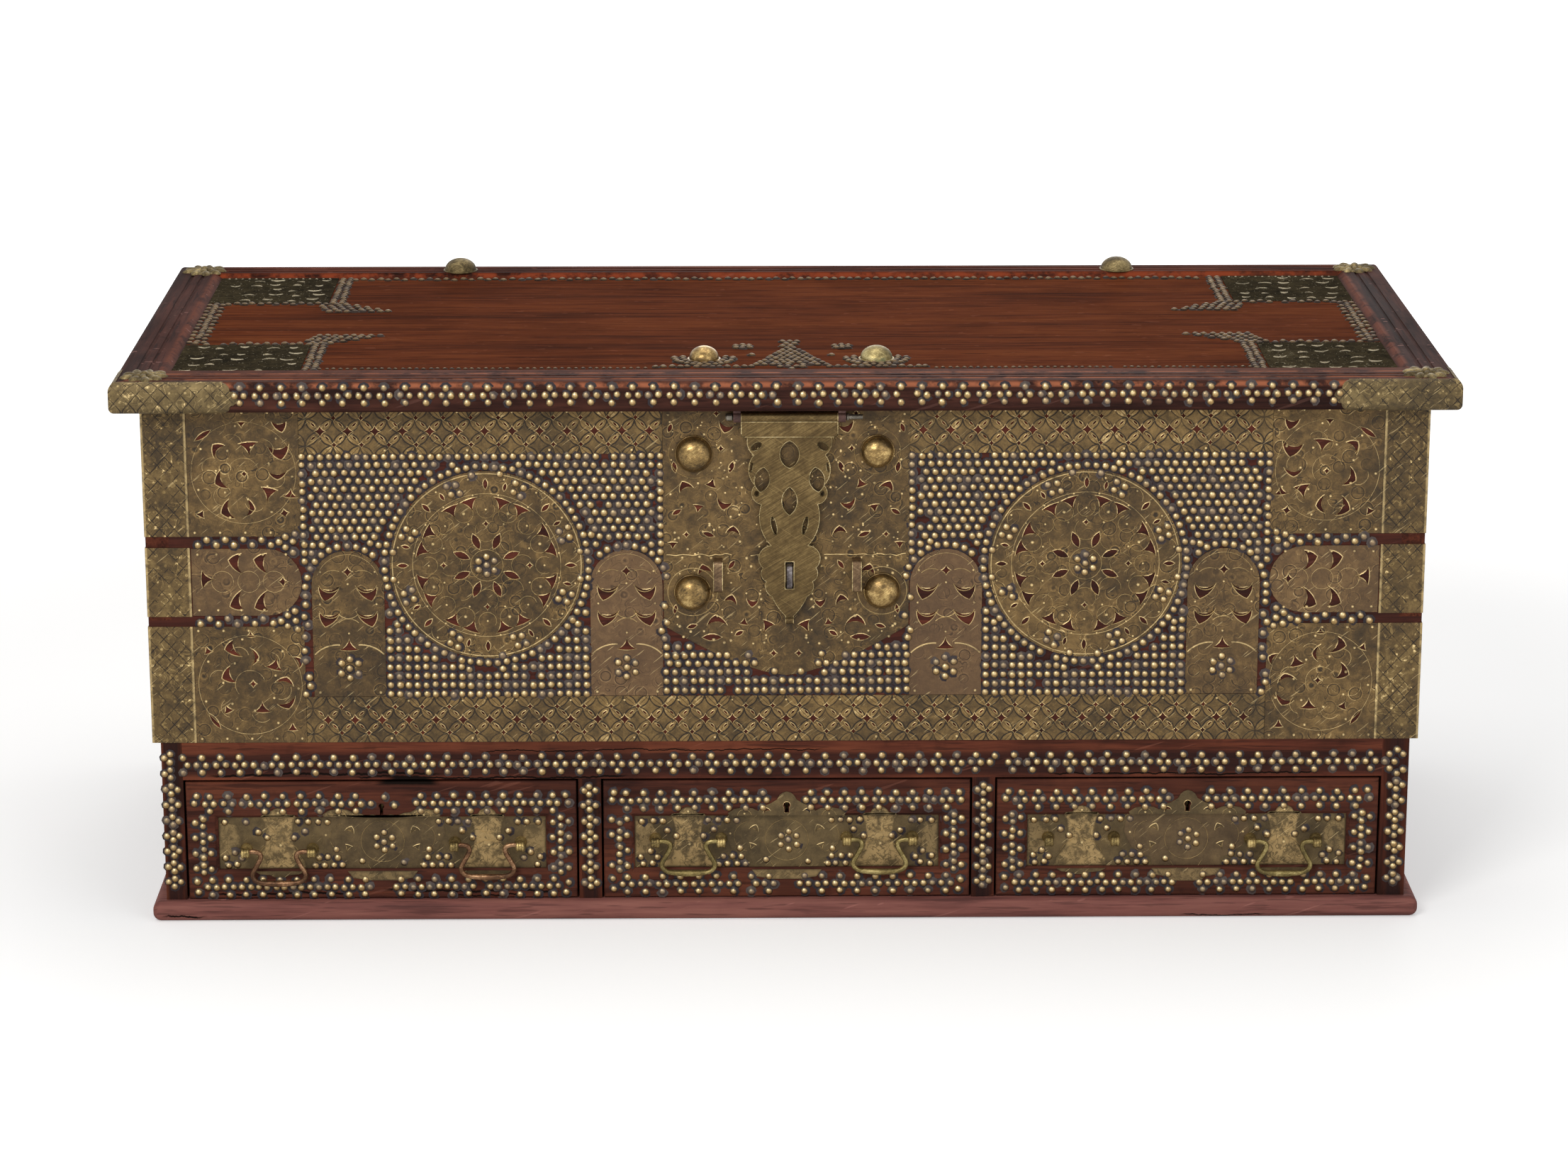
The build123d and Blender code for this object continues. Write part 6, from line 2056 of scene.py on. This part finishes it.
# ------------------------------------------------------------------ drawers
@dataclass
class Drawer:
    """The brass, tacks and handles of one drawer front."""

    number: int
    bay: Point
    handles: tuple[Point, ...]
    bails: tuple[str, ...]
    sheet: Material
    tack: Material
    metal: Material
    posts: Material
    chain_high: float = 119.5
    chain_low: float = 34.2
    chain_gap: Point = (19.0, 19.0)  # from the middle to the two upper chains
    plate_copper: float = 0.0
    broken: bool = False
    tongue: float = 9.5
    panel_foot: float = 49.8
    panel_head: float = 103.0
    panel_face: float = -246.8
    key: float = 114.5
    pivot: float = -260.0

    @property
    def middle(self) -> float:
        """Middle of the bay."""
        return (self.bay[0] + self.bay[1]) / 2

    @property
    def panel(self) -> Point:
        """Ends of the sunk panel."""
        return self.bay[0] + 32, self.bay[1] - 32

    @property
    def body(self) -> str:
        """The body the front rides on."""
        return f"drawer_{self.number}"

    def build(self) -> None:
        """Make everything on the drawer's front."""
        self._panel_sheet()
        self._key_plate()
        self._posts()
        self._tacks()
        for name, (x, z) in zip(("left", "right"), self.handles):
            if name in self.bails:
                bench = Bench()
                SwanHandle().bar(bench, Matrix.Translation((x, self.pivot, z)) @ Matrix.Rotation(math.pi / 2, 4, "X"))
                node = f"{self.body}_bail_{name}"
                bench.finish(f"{node}_bar", f"bail_{self.number}_{name}", self.metal, "cast_brass", [node], 70)

    def _panel_sheet(self) -> None:
        """Sheet in the sunk panel with its centre plate and the patches behind the handles."""
        sheet = PiercedSheet(level=self.panel_face)
        c, foot, head = self.middle, self.panel_foot, self.panel_head
        sheet.plate(rectangle(self.panel, (foot, head)))
        self._shield(sheet)
        for side, end in zip((-1, 1), self.panel):
            sheet.ridge((c + side * 36, 81), 15.0, 90 - side * 90 - 80, 160, wide=0.9, high=0.8)
            sheet.bead((c + side * 55, 84), 1.5, 1.0)
            sheet.bead((c + side * 37, foot + 4), 1.3, 0.9)
            lobe = ((0.6, 62), (12, 64), (21, 73), (23, 84), (17, 95), (0.6, 98))
            sheet.plate([(end - side * x, z) for x, z in lobe][::-side], lift=0.3, gold=0.4)
        for x, _ in self.handles:
            half = [(26, foot + 0.5), (24, 58), (15, 70), (12.5, 82), (14, 95), (17, head - 0.3)]
            sheet.plate(both_halves(x, half), lift=0.35, gold=0.85)
            sheet.bead((x + 1, 73.5), 2.0, 1.2)
            sheet.ridge((x, 56), 22.0, 20, 140, wide=0.9, high=0.8)
            sheet.ridge((x, 96), 10.0, 200, 140, wide=0.8, high=0.7)
        self._fix(sheet, "panel_sheet", [f"{self.body}_brass"])

    def _fix(self, sheet: PiercedSheet, name: str, replaces: Sequence[str] = ()) -> None:
        """Finish a sheet of the drawer's front."""
        sheet.bench.finish(f"{self.body}_{name}", self.body, self.sheet, "sheet_brass", replaces, LIP_CREASE)

    def _shield(self, sheet: PiercedSheet) -> None:
        """The panel's centre plate.

        Args:
            sheet: The sheet it is part of.
        """
        c = self.middle
        shield = [(33, self.panel_foot + 0.2), (34, 58), (42, 61), (54, 70), (61, 85), (58, self.panel_head - 0.2)]
        marks = []
        for side in (-1, 1):
            for spot, shape, angle in (((31, 90), horned(8, 5.5, 1), 200), ((34, 70), wedge(7, 7), 20)):
                outline = mirrored(shifted(shape, spot, angle), side)
                marks.append(Cut([(c + x, z) for x, z in outline], 0.8, 0.4))
        sheet.plate(both_halves(c, shield), marks, self.plate_copper, 0.45)
        sheet.ridge((c, 77.5), 21.0, wide=1.1, high=0.9)
        sheet.ridge((c, 60), 16.0, 200, 140, wide=1.0, high=0.8)

    def _key_plate(self) -> None:
        """Keyhole plate with two lobes, and the tabs that lap over the frame."""
        sheet = PiercedSheet()
        c, foot, low = self.middle, self.panel_head + 1.2, self.panel_foot - 1.0
        lobe = [(56, 0), (57, 2.5), (51, 6.5), (42, 8.2), (33, 7.2), (27.5, 4.5)]
        torn = [(22, 4.0), (15, 1.2), (9, 2.4), (4, 1.4)]
        peak = [(24, 9), (16, 12), (9.5, 16), (7.0, 20.5), (4.0, 23), (0.0, 24.2)]
        half = [(x, foot + z) for x, z in lobe + (torn if self.broken else peak)]
        sheet.plate(both_halves(c, half), () if self.broken else self._keyhole(foot), gold=0.5)
        for side in (-1, 1):
            sheet.ridge((c + side * 41, foot - 1), 7.0, 10, 160, wide=0.9, high=0.6)
            sheet.bead((c + side * 41, foot + 2), 1.3, 0.8)
        for x, _ in self.handles:
            half = [(17, 0), (15.5, 2.0), (9, 2.6), (7, 6.0), (3.5, 8.2), (0, 9.0)]
            sheet.plate(both_halves(x, [(out, foot + z) for out, z in half]), gold=0.6)
            sheet.bead((x, foot + 4.5), 1.6, 0.9)
            self._tab(sheet, x, 24, [(19, low - 3.0), (9, low - 3.8), (5, low - 6.0)], 0.0, 0.15)
        tongue = [(29, low - 7), (19, low - 8.5), (15, low - self.tongue)]
        self._tab(sheet, c, 34, tongue, self.plate_copper * 0.5, 0.35)
        self._fix(sheet, "key_plate")

    def _keyhole(self, foot: float) -> list[Cut]:
        """The keyhole and a crescent on each side of it.

        Args:
            foot: Where the plate starts.

        Returns:
            The piercings.
        """
        ring = [turn((3.5, 1), angle) for angle in range(-30, 211, 30)]
        slot = [(2.3, -7.6), (2.6, -1.6), *ring, (-2.6, -1.6), (-2.3, -7.6)]
        cuts = [Cut([(self.middle + x, self.key + z) for x, z in slot], 0.5, 0.3)]
        spots = [(horned(6.5, 4), (self.middle + side * 20, foot + 5.5), 180 - side * 20) for side in (-1, 1)]
        return cuts + punch(spots, 0.7, 0.35)

    def _tab(self, sheet: PiercedSheet, middle: float, top: float, half: list[Point], copper: float,
             gold: float) -> None:  # fmt: skip
        """A tab that hangs over the frame under the panel.

        Args:
            sheet: The sheet it is part of.
            middle: Its middle line.
            top: Half its width at the top.
            half: The right half of its lower edge.
            copper: How red its metal is.
            gold: How much its face is rubbed bright.
        """
        low = self.panel_foot - 1.0
        sheet.plate([*both_halves(middle, half), (middle - top, low), (middle + top, low)], (), copper, 0.0, gold)

    def _posts(self) -> None:
        """The turned posts of the handles."""
        bench = Bench()
        handle = SwanHandle()
        for x, z in self.handles:
            for side in (-1, 1):
                pivot = Vector((x + side * handle.posts / 2, self.pivot, z))
                handle.post(bench, pivot, Matrix.Identity(4), self.panel_face - self.pivot)
        bench.finish(f"{self.body}_posts", self.body, self.posts, "copper_brass", crease=40)

    def _tacks(self) -> None:
        """Chains round the frame and piles on the panel."""
        brads = TackField(level=FRONT_FACE - 0.1, radius=3.8, high=2.5, gap=7.0, seed=20 + self.number, darkening=1.6)
        c, high, low = self.middle, self.chain_high, self.chain_low
        left, right = self.bay[0] + 17.5, self.bay[1] - 17.5
        ends = (
            (left + 3, high, c - self.chain_gap[0]), (right - 3, high, c + self.chain_gap[1]),
            (left + 3, low, c - 13), (right - 3, low, c + 13),
        )  # fmt: skip
        for start, z, end in ends:
            brads.chain((start, z), (end, z), 9.0, 7.6)
        for x in (left, right):
            brads.chain((x, low + 15), (x, high - 15), 8.9, 7.4)
        brads.cluster((left, 0), ((-7, low + 6), (-6, low - 5), (-7, high + 1), (-5, high + 8)))
        brads.cluster((right, 0), ((7, low + 4), (5, low - 6), (7, high), (5, high + 8)))
        if self.broken:
            brads.cluster((c, 0), ((3, 124), (-10, 117), (13, 115.5)))
        brads.level = self.panel_face + 0.1
        self._panel_tacks(brads)
        brads.finish(f"{self.body}_tacks", self.body, self.tack, 0.02)

    def _panel_tacks(self, brads: TackField) -> None:
        """Rosette, piles and corner groups of the sunk panel.

        Args:
            brads: The tacks of the drawer.
        """
        c = self.middle
        brads.rosette((c + 2, 77.0), 8.9)
        brads.cluster((c, 0), ((-20, 57), (20.5, 55.5)))
        for side, end, (hx, _) in zip((-1, 1), self.panel, self.handles):
            for x, z in ((7, 97), (18, 97), (27, 97)):
                brads.one(end - side * x, z)
            for x in (19, 28.5, 38, 47):
                if abs(hx - side * x - c) > 40:
                    brads.one(hx - side * x, 97.5)
            for x, z in ((-20, 87), (-11.5, 81), (15, 81), (25, 88)):
                brads.one(hx - side * x, z)
            for x, z in ((6, 61), (15, 66), (22, 60), (8, 53), (17, 54)):
                brads.one(end - side * x, z)
            for x, z in ((-66, 53), (-57, 53), (-48, 53), (-39.5, 53), (-62, 61), (-53, 61), (-44, 61), (-45, 69)):
                if abs(x) < abs(hx - c) - 26:
                    brads.one(c - side * x, z)


# ------------------------------------------------------------------ case
@dataclass
class CaseDressing:
    """Tacks of the rail, stiles and dividers, and the carrying handles."""

    tack: Material
    cast: Material
    body_half: float = 609.0
    carry_height: float = 384.0
    carry_post: float = 13.0

    def build(self) -> None:
        """Make the rail's tacks and the handles at the ends."""
        brads = TackField(level=FRONT_FACE - 0.1, radius=3.9, seed=31, gap=7.0, darkening=1.35)
        brads.chain((-586, 157), (588, 157), 9.2, 7.4)
        for x in (-593.2, 590.5):
            brads.chain((x, 168), (x, 34), 7.9, 5.8)
        for x in (-190, 191):
            brads.chain((x, 134), (x, 32), 7.9, 5.6)
        brads.finish("case_tacks", "carcass", self.tack, 0.03)
        self._carrying_handles()

    def _carrying_handles(self) -> None:
        """Handles on the two ends with their posts on round plates."""
        handle = SwanHandle(112.0, 31.0, 46.0, 38.0, 31.0, 55.0, 4.2, 5.6, 7.4, 12.0)
        rose = [(0, 2.4), (9, 2.2), (12, 1.6), (13, 2.2), (14.4, 1.2), (15, 0), (0, 0)]
        posts = Bench()
        for side, name in ((-1, "left"), (1, "right")):
            quarter = side * math.pi / 2
            turned = Matrix.Rotation(quarter, 4, "Z")
            pivot = Vector((side * (self.body_half + self.carry_post), 0, self.carry_height))
            bar = Bench()
            handle.bar(bar, Matrix.Translation(pivot) @ turned @ Matrix.Rotation(math.pi / 2, 4, "X"))
            node = f"side_handle_{name}"
            bar.finish(f"{node}_bar", f"carry_handle_{name}", self.cast, "cast_brass", [node], 70)
            for along in (-handle.posts / 2, handle.posts / 2):
                handle.post(posts, pivot + Vector((0, along, 0)), turned, self.carry_post)
                wall = Matrix.Translation((side * self.body_half, along, self.carry_height))
                posts.spin_profile(rose, 32, wall @ Matrix.Rotation(quarter, 4, "Y"))
        posts.finish("side_handle_posts", "carcass", self.cast, "cast_brass", ["side_handle_mounts"], 35)


# ------------------------------------------------------------------ finishes of the groups
def soften(nodes: Iterable[str], width: float) -> None:
    """Round the worn edges of imported boards.

    Args:
        nodes: Their names.
        width: Width of the rounding.
    """
    for name in nodes:
        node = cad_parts[name]
        node.modifiers.new("weld", "WELD").merge_threshold = 0.02 * MM
        bevel = node.modifiers.new("worn_edges", "BEVEL")
        bevel.width, bevel.segments, bevel.angle_limit = width * MM, 2, math.radians(40)


class Boards:
    """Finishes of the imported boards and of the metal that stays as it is."""

    def build(self) -> None:
        """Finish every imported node."""
        self._case()
        self._lid()
        self._drawers()
        self._metal()

    @staticmethod
    def _case() -> None:
        """Boards of the two boxes and the base."""
        along = Grain.ALONG_X
        WoodFinish("case_wood", along, darkening=0.5).on("back_panel", "case_back", "chest_floor")
        # darker bands along the columns of tacks: dirt with painted shade between the tacks
        rows = tuple(BoardLine(0, x, 7.0) for x in (-593.2, -190.0, 191.0, 590.5))
        upright = WoodFinish("case_upright_wood", Grain.ALONG_Z, darkening=0.6, dirty_shaded_rows=rows)
        upright.on("case_side_left", "case_side_right", "drawer_dividers")
        WoodFinish("end_wood", Grain.ALONG_Y, darkening=0.3).on("side_panel_left", "side_panel_right")
        tones = (0.030, 0.012, 0.009), (0.112, 0.032, 0.019), (0.205, 0.060, 0.030)
        splits = (Crack(147.5, -560, -330, 0.9), Crack(144.0, -420, -150), Crack(146, 250, 520, 0.6),
                  Crack(171.0, -300, 40, 0.4), Crack(142.5, -390, -335, 2.4))  # fmt: skip
        # a darker band along the rail's row of tacks: dirt with painted shade
        dirty_shaded_rows = (BoardLine(2, 157.0, 11.5),)
        WoodFinish("rail_wood", along, *tones, darkening=0.4, dirty_shaded_rows=dirty_shaded_rows, cracks=splits).on("front_rail")
        # The wall's ground between the tacks is darker than the other boards: dark wood and dirt, with painted shade
        # between the close-set tacks.
        tones = (0.030, 0.013, 0.011), (0.075, 0.023, 0.016), (0.140, 0.038, 0.024)
        WoodFinish("tacked_ground", along, *tones, darkening=0.45).on("front_panel")
        tones = (0.09, 0.038, 0.034), (0.225, 0.086, 0.072), (0.32, 0.133, 0.105)
        splits = Crack(6, -610, -560, 0.8), Crack(4, 380, 470, 0.6)
        WoodFinish("base_wood", along, *tones, darkening=0.12, cracks=splits).on("base_board")

    @staticmethod
    def _lid() -> None:
        """The panel and its moulded frame."""
        along = Grain.ALONG_X
        tones = (0.036, 0.012, 0.007), (0.108, 0.029, 0.012), (0.160, 0.048, 0.018)
        WoodFinish("lid_wood", along, *tones, darkening=0.26, scratches=0.10, specular=0.001).on("lid_panel")
        tones = (0.018, 0.010, 0.009), (0.060, 0.024, 0.018), (0.115, 0.042, 0.028), (0.34, 0.115, 0.058)
        # Lines on the front moulding's nose and top face: worn stain carrying painted highlights.
        wear_and_highlight_lines = BoardLine(2, 537.2, 3.4), BoardLine(1, -262, 3.0), BoardLine(1, -238, 2.5)
        WoodFinish("lid_front_wood", along, *tones, specular=0.02, wear_and_highlight_lines=wear_and_highlight_lines).on("lid_front_rail")
        # The line on the back rail's inner slope: painted light on a face turned to the lamps, over some wear.
        wear_and_highlight_lines = (BoardLine(1, 237.0, 4.5),)
        WoodFinish("lid_back_wood", along, worn=(0.23, 0.046, 0.018), specular=0.01, wear_and_highlight_lines=wear_and_highlight_lines).on("lid_back_rail")
        tones = (0.012, 0.008, 0.008), (0.040, 0.018, 0.015), (0.085, 0.032, 0.024), (0.13, 0.043, 0.027)
        ends = WoodFinish("lid_end_wood", Grain.ALONG_Y, *tones, scratches=0.6, specular=0.02,
                          wear_and_highlight_lines=(BoardLine(0, 590, 6), BoardLine(0, -590, 6)))  # fmt: skip
        ends.on("lid_end_rail_left", "lid_end_rail_right")

    @staticmethod
    def _drawers() -> None:
        """Drawer fronts and boxes."""
        along = Grain.ALONG_X
        tones = (0.026, 0.011, 0.009), (0.080, 0.026, 0.017), (0.155, 0.048, 0.026)
        splits = (Crack(26.0, -560, -420, 0.8), Crack(28.5, -395, -215, 0.9), Crack(24, -330, -250, 0.6),
                  Crack(139.5, -400, -330, 3.0, 1.0))  # fmt: skip
        WoodFinish("split_drawer_wood", along, *tones, cracks=splits).on("drawer_1_front")
        WoodFinish("drawer_face_wood", along, *tones, darkening=0.45).on("drawer_2_front", "drawer_3_front")
        soften([f"drawer_{n}_front" for n in (1, 2, 3)], 2.0)
        tones = (0.09, 0.05, 0.026), (0.24, 0.14, 0.075), (0.36, 0.22, 0.12)
        plain = WoodFinish("drawer_inside_wood", Grain.ALONG_Y, *tones)
        plain.on(*(f"drawer_{n}_{part}" for n in (1, 2, 3) for part in ("walls", "bottom")))

    @staticmethod
    def _metal() -> None:
        """Hasp, staples, pins and locks."""
        tones = (0.060, 0.038, 0.016), (0.120, 0.078, 0.030), (0.225, 0.155, 0.062)
        CastFinish("hasp_brass", *tones, brushed=0.45, roughness=0.36, cloudy=0.4).on("hasp_plate")
        # painted highlights: thin bright bars along the front edges of the hasp and the side staples
        tones = (0.16, 0.115, 0.05), (0.48, 0.37, 0.18), (0.85, 0.70, 0.42)
        rubbed = CastFinish("edge_highlight_brass", *tones, roughness=0.25).material()
        painted_edge_highlights("hasp_plate", "hasp_edge_highlights", "hasp", rubbed, "sheet_brass", 0.42)
        CastFinish("copper_brass", (0.05, 0.030, 0.018), (0.165, 0.103, 0.055), (0.46, 0.33, 0.18)).on("side_staples")
        painted_edge_highlights("side_staples", "side_staple_edge_highlights", "carcass", rubbed, "cast_brass", 0.4)
        tones = (0.03, 0.016, 0.013), (0.085, 0.037, 0.030), (0.16, 0.080, 0.062)
        CastFinish("rusty_iron", *tones, metallic=0.3, roughness=0.55).on("hasp_eye_staples")
        tones = (0.05, 0.045, 0.038), (0.13, 0.115, 0.09), (0.30, 0.27, 0.22)
        CastFinish("worn_pin", *tones, metallic=0.7).on("hasp_pin")
        tones = (0.04, 0.033, 0.033), (0.13, 0.112, 0.110), (0.34, 0.31, 0.31)
        CastFinish("worn_iron", *tones, metallic=0.9).on("lock_staple")
        lock = CastFinish("lock_brass", (0.05, 0.034, 0.016), (0.20, 0.14, 0.06), (0.42, 0.32, 0.14))
        lock.on(*(f"drawer_{n}_{part}" for n in (1, 2, 3) for part in ("lock", "bolt")))


def groups() -> None:
    """Everything on the chest."""
    Boards().build()
    hatch = Engraving.HATCH
    SheetFinish("strap_brass", hatch, body=(0.118, 0.082, 0.036), light=(0.235, 0.168, 0.072)).on("lid_edge_straps")
    tones = {"body": (0.120, 0.077, 0.032), "light": (0.25, 0.170, 0.066)}
    SheetFinish("band_brass", hatch, **tones, folds=(568.2, 608.8)).on("front_corner_bands")
    sheet = SheetFinish("sheet_brass").material()
    tones = {"body": (0.124, 0.079, 0.033), "light": (0.262, 0.166, 0.061)}
    strips = SheetFinish("strip_brass", Engraving.LATTICE, **tones).material()
    tones = {"dark": (0.014, 0.012, 0.009), "body": (0.038, 0.030, 0.018), "light": (0.070, 0.055, 0.030)}
    lid_sheet = SheetFinish("lid_sheet_brass", **tones, bright=(0.62, 0.54, 0.38), metallic=0.0).material()
    tones = (0.035, 0.025, 0.014), (0.095, 0.065, 0.030), (0.175, 0.120, 0.052)
    panel = SheetFinish("panel_brass", Engraving.PLAIN, *tones, mottled=0.3).material()
    tones = (0.055, 0.036, 0.018), (0.26, 0.165, 0.060), (0.64, 0.46, 0.19)
    cast = CastFinish("cast_brass", *tones, roughness=0.2).material()
    tones = (0.04, 0.028, 0.013), (0.13, 0.095, 0.042), (0.34, 0.26, 0.12)
    hinges = "hinge_body_leaves", "hinge_pins", "hinge_lid_leaves"
    aged = CastFinish("aged_cast_brass", *tones, roughness=0.45).on(*hinges)
    tones = (0.045, 0.022, 0.012), (0.165, 0.082, 0.040), (0.46, 0.28, 0.15)
    copper = CastFinish("copper_handle_brass", *tones).material()
    tones = (0.06, 0.045, 0.018), (0.19, 0.142, 0.050), (0.46, 0.37, 0.16)
    yellow = CastFinish("yellow_handle_brass", *tones).material()
    tones = (0.06, 0.042, 0.016), (0.28, 0.20, 0.075), (0.62, 0.47, 0.20)
    posts = CastFinish("post_brass", *tones).material()
    tack = TackFinish("tack_brass").material()
    # crown, flank and foot, then the painted highlight's colour
    tones = (0.17, 0.112, 0.058), (0.072, 0.050, 0.031), (0.022, 0.015, 0.011), (0.40, 0.33, 0.23)
    dull = TackFinish("dull_tack_brass", *tones, metal=0.2).material()
    UpperFront(sheet, strips, cast, tack).build()
    LidDressing(lid_sheet, cast, aged, tack, dull).build()
    CaseDressing(tack, aged).build()
    both = ("left", "right")
    Drawer(1, (-582.0, -200.97), ((-491.48, 70.0), (-289.48, 76.0)), both, panel, tack, copper, posts, 117.5, 32.5,
           chain_gap=(20.0, 34.0), plate_copper=0.1, broken=True).build()  # fmt: skip
    Drawer(2, (-178.97, 180.07), ((-94.95, 79.0), (90.55, 80.0)), both, panel, tack, yellow, posts).build()
    Drawer(3, (202.07, 576.0), ((286.53, 79.0), (483.03, 76.5)), ("right",), panel, tack, yellow, posts,
           plate_copper=0.35, tongue=13.0).build()  # fmt: skip


# ------------------------------------------------------------------ studio
@dataclass
class Lamp:
    """A soft box."""

    name: str
    place: Place
    aim: Place
    size: float
    power: float
    tint: Colour = (1.0, 0.985, 0.96)

    def hang(self) -> None:
        """Add the lamp to the scene."""
        data = bpy.data.lights.new(self.name, "AREA")
        data.shape, data.size, data.energy, data.color = "SQUARE", self.size, self.power, self.tint
        lamp = bpy.data.objects.new(self.name, data)
        lamp.location = self.place
        lamp.rotation_euler = (Vector(self.aim) - Vector(self.place)).to_track_quat("-Z", "Y").to_euler()
        bpy.context.scene.collection.objects.link(lamp)


@dataclass
class Studio:
    """Pale floor, white surround, soft boxes and the camera."""

    eye: Place = (-0.051, -4.31, 1.461)
    pitch: float = 15.54
    yaw: float = -0.69
    lens: float = 101.3
    sensor: float = 36.0
    ambient: float = 0.32
    floor_size: float = 9.0
    lamps: tuple[Lamp, ...] = (
        Lamp("key", (-1.3, -3.0, 2.6), (0, 0, 0.3), 1.5, 62),
        Lamp("fill", (2.2, -3.0, 1.4), (0, 0, 0.3), 2.2, 26, (0.96, 0.98, 1.0)),
        Lamp("overhead", (0.1, 0.3, 2.6), (0, 0, 0.5), 1.8, 22),
        Lamp("rear", (0.4, 3.2, 1.6), (0, 0, 0.3), 2.0, 18),
    )

    def build(self) -> None:
        """Set up the whole studio."""
        bpy.context.scene.view_settings.view_transform = "Standard"
        for lamp in self.lamps:
            lamp.hang()
        self._camera()
        self._surround()
        self._floor()

    def _camera(self) -> None:
        """Place the camera."""
        data = bpy.data.cameras.new("camera")
        data.lens, data.sensor_width = self.lens, self.sensor
        camera = bpy.data.objects.new("camera", data)
        down, side = math.radians(self.pitch), math.radians(self.yaw)
        ahead = Vector((-math.sin(side) * math.cos(down), math.cos(side) * math.cos(down), -math.sin(down)))
        camera.location = self.eye
        camera.rotation_euler = ahead.to_track_quat("-Z", "Y").to_euler()
        bpy.context.scene.collection.objects.link(camera)
        bpy.context.scene.camera = camera

    def _surround(self) -> None:
        """Plain light all round, white where it is seen or mirrored."""
        world = bpy.data.worlds.new("surround")
        world.use_nodes = True
        nodes = Nodes(world.node_tree)
        rays = nodes.node("ShaderNodeLightPath").outputs
        seen, glossy, through = (Value(nodes, rays[f"Is {kind} Ray"]) for kind in ("Camera", "Glossy", "Transmission"))
        white = through.math("ADD", seen + glossy, through, clamp=True)
        level = nodes.node("ShaderNodeMapRange", None, {0: white, 3: self.ambient, 4: 1.0})
        light = nodes.node("ShaderNodeBackground", None, {0: (1.0, 1.0, 1.0), 1: level.outputs[0]})
        nodes.node("ShaderNodeOutputWorld", None, {0: light.outputs[0]})
        bpy.context.scene.world = world

    def _floor(self) -> None:
        """A pale floor that keeps the chest's shadow and is white to the eye elsewhere."""
        work = bmesh.new()
        bmesh.ops.create_grid(work, x_segments=8, y_segments=8, size=self.floor_size)
        data = bpy.data.meshes.new("floor")
        work.to_mesh(data)
        work.free()
        floor = bpy.data.objects.new("floor", data)
        bpy.context.scene.collection.objects.link(floor)
        shader = Shader("floor")
        rays = shader.node("ShaderNodeLightPath").outputs
        seen = Value(shader, rays["Is Camera Ray"]).over(Value(shader, rays["Is Glossy Ray"]))
        x, y, _ = shader.axes()
        behind = y - 300.0
        away = (x * x + behind * behind).root().step(900.0, 2600.0)
        level = seen * (0.36 + away * 0.64)
        shader.surface(
            Base_Color=shader.ramp(shader.noise(300, 2), (0.0, (0.80, 0.80, 0.80)), (1.0, (0.84, 0.84, 0.84))),
            Roughness=0.85,
            Specular_IOR_Level=0.1,
            Emission_Color=shader.mix(level, (0.0, 0.0, 0.0), (1.0, 1.0, 1.0)),
            Emission_Strength=1.0,
        )
        data.materials.append(shader.material)


def main() -> None:
    """Build every group of the chest in order and report it."""
    logging.basicConfig(level=logging.INFO, format="%(message)s")
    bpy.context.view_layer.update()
    Studio().build()
    groups()


if __name__ == "__main__":
    main()
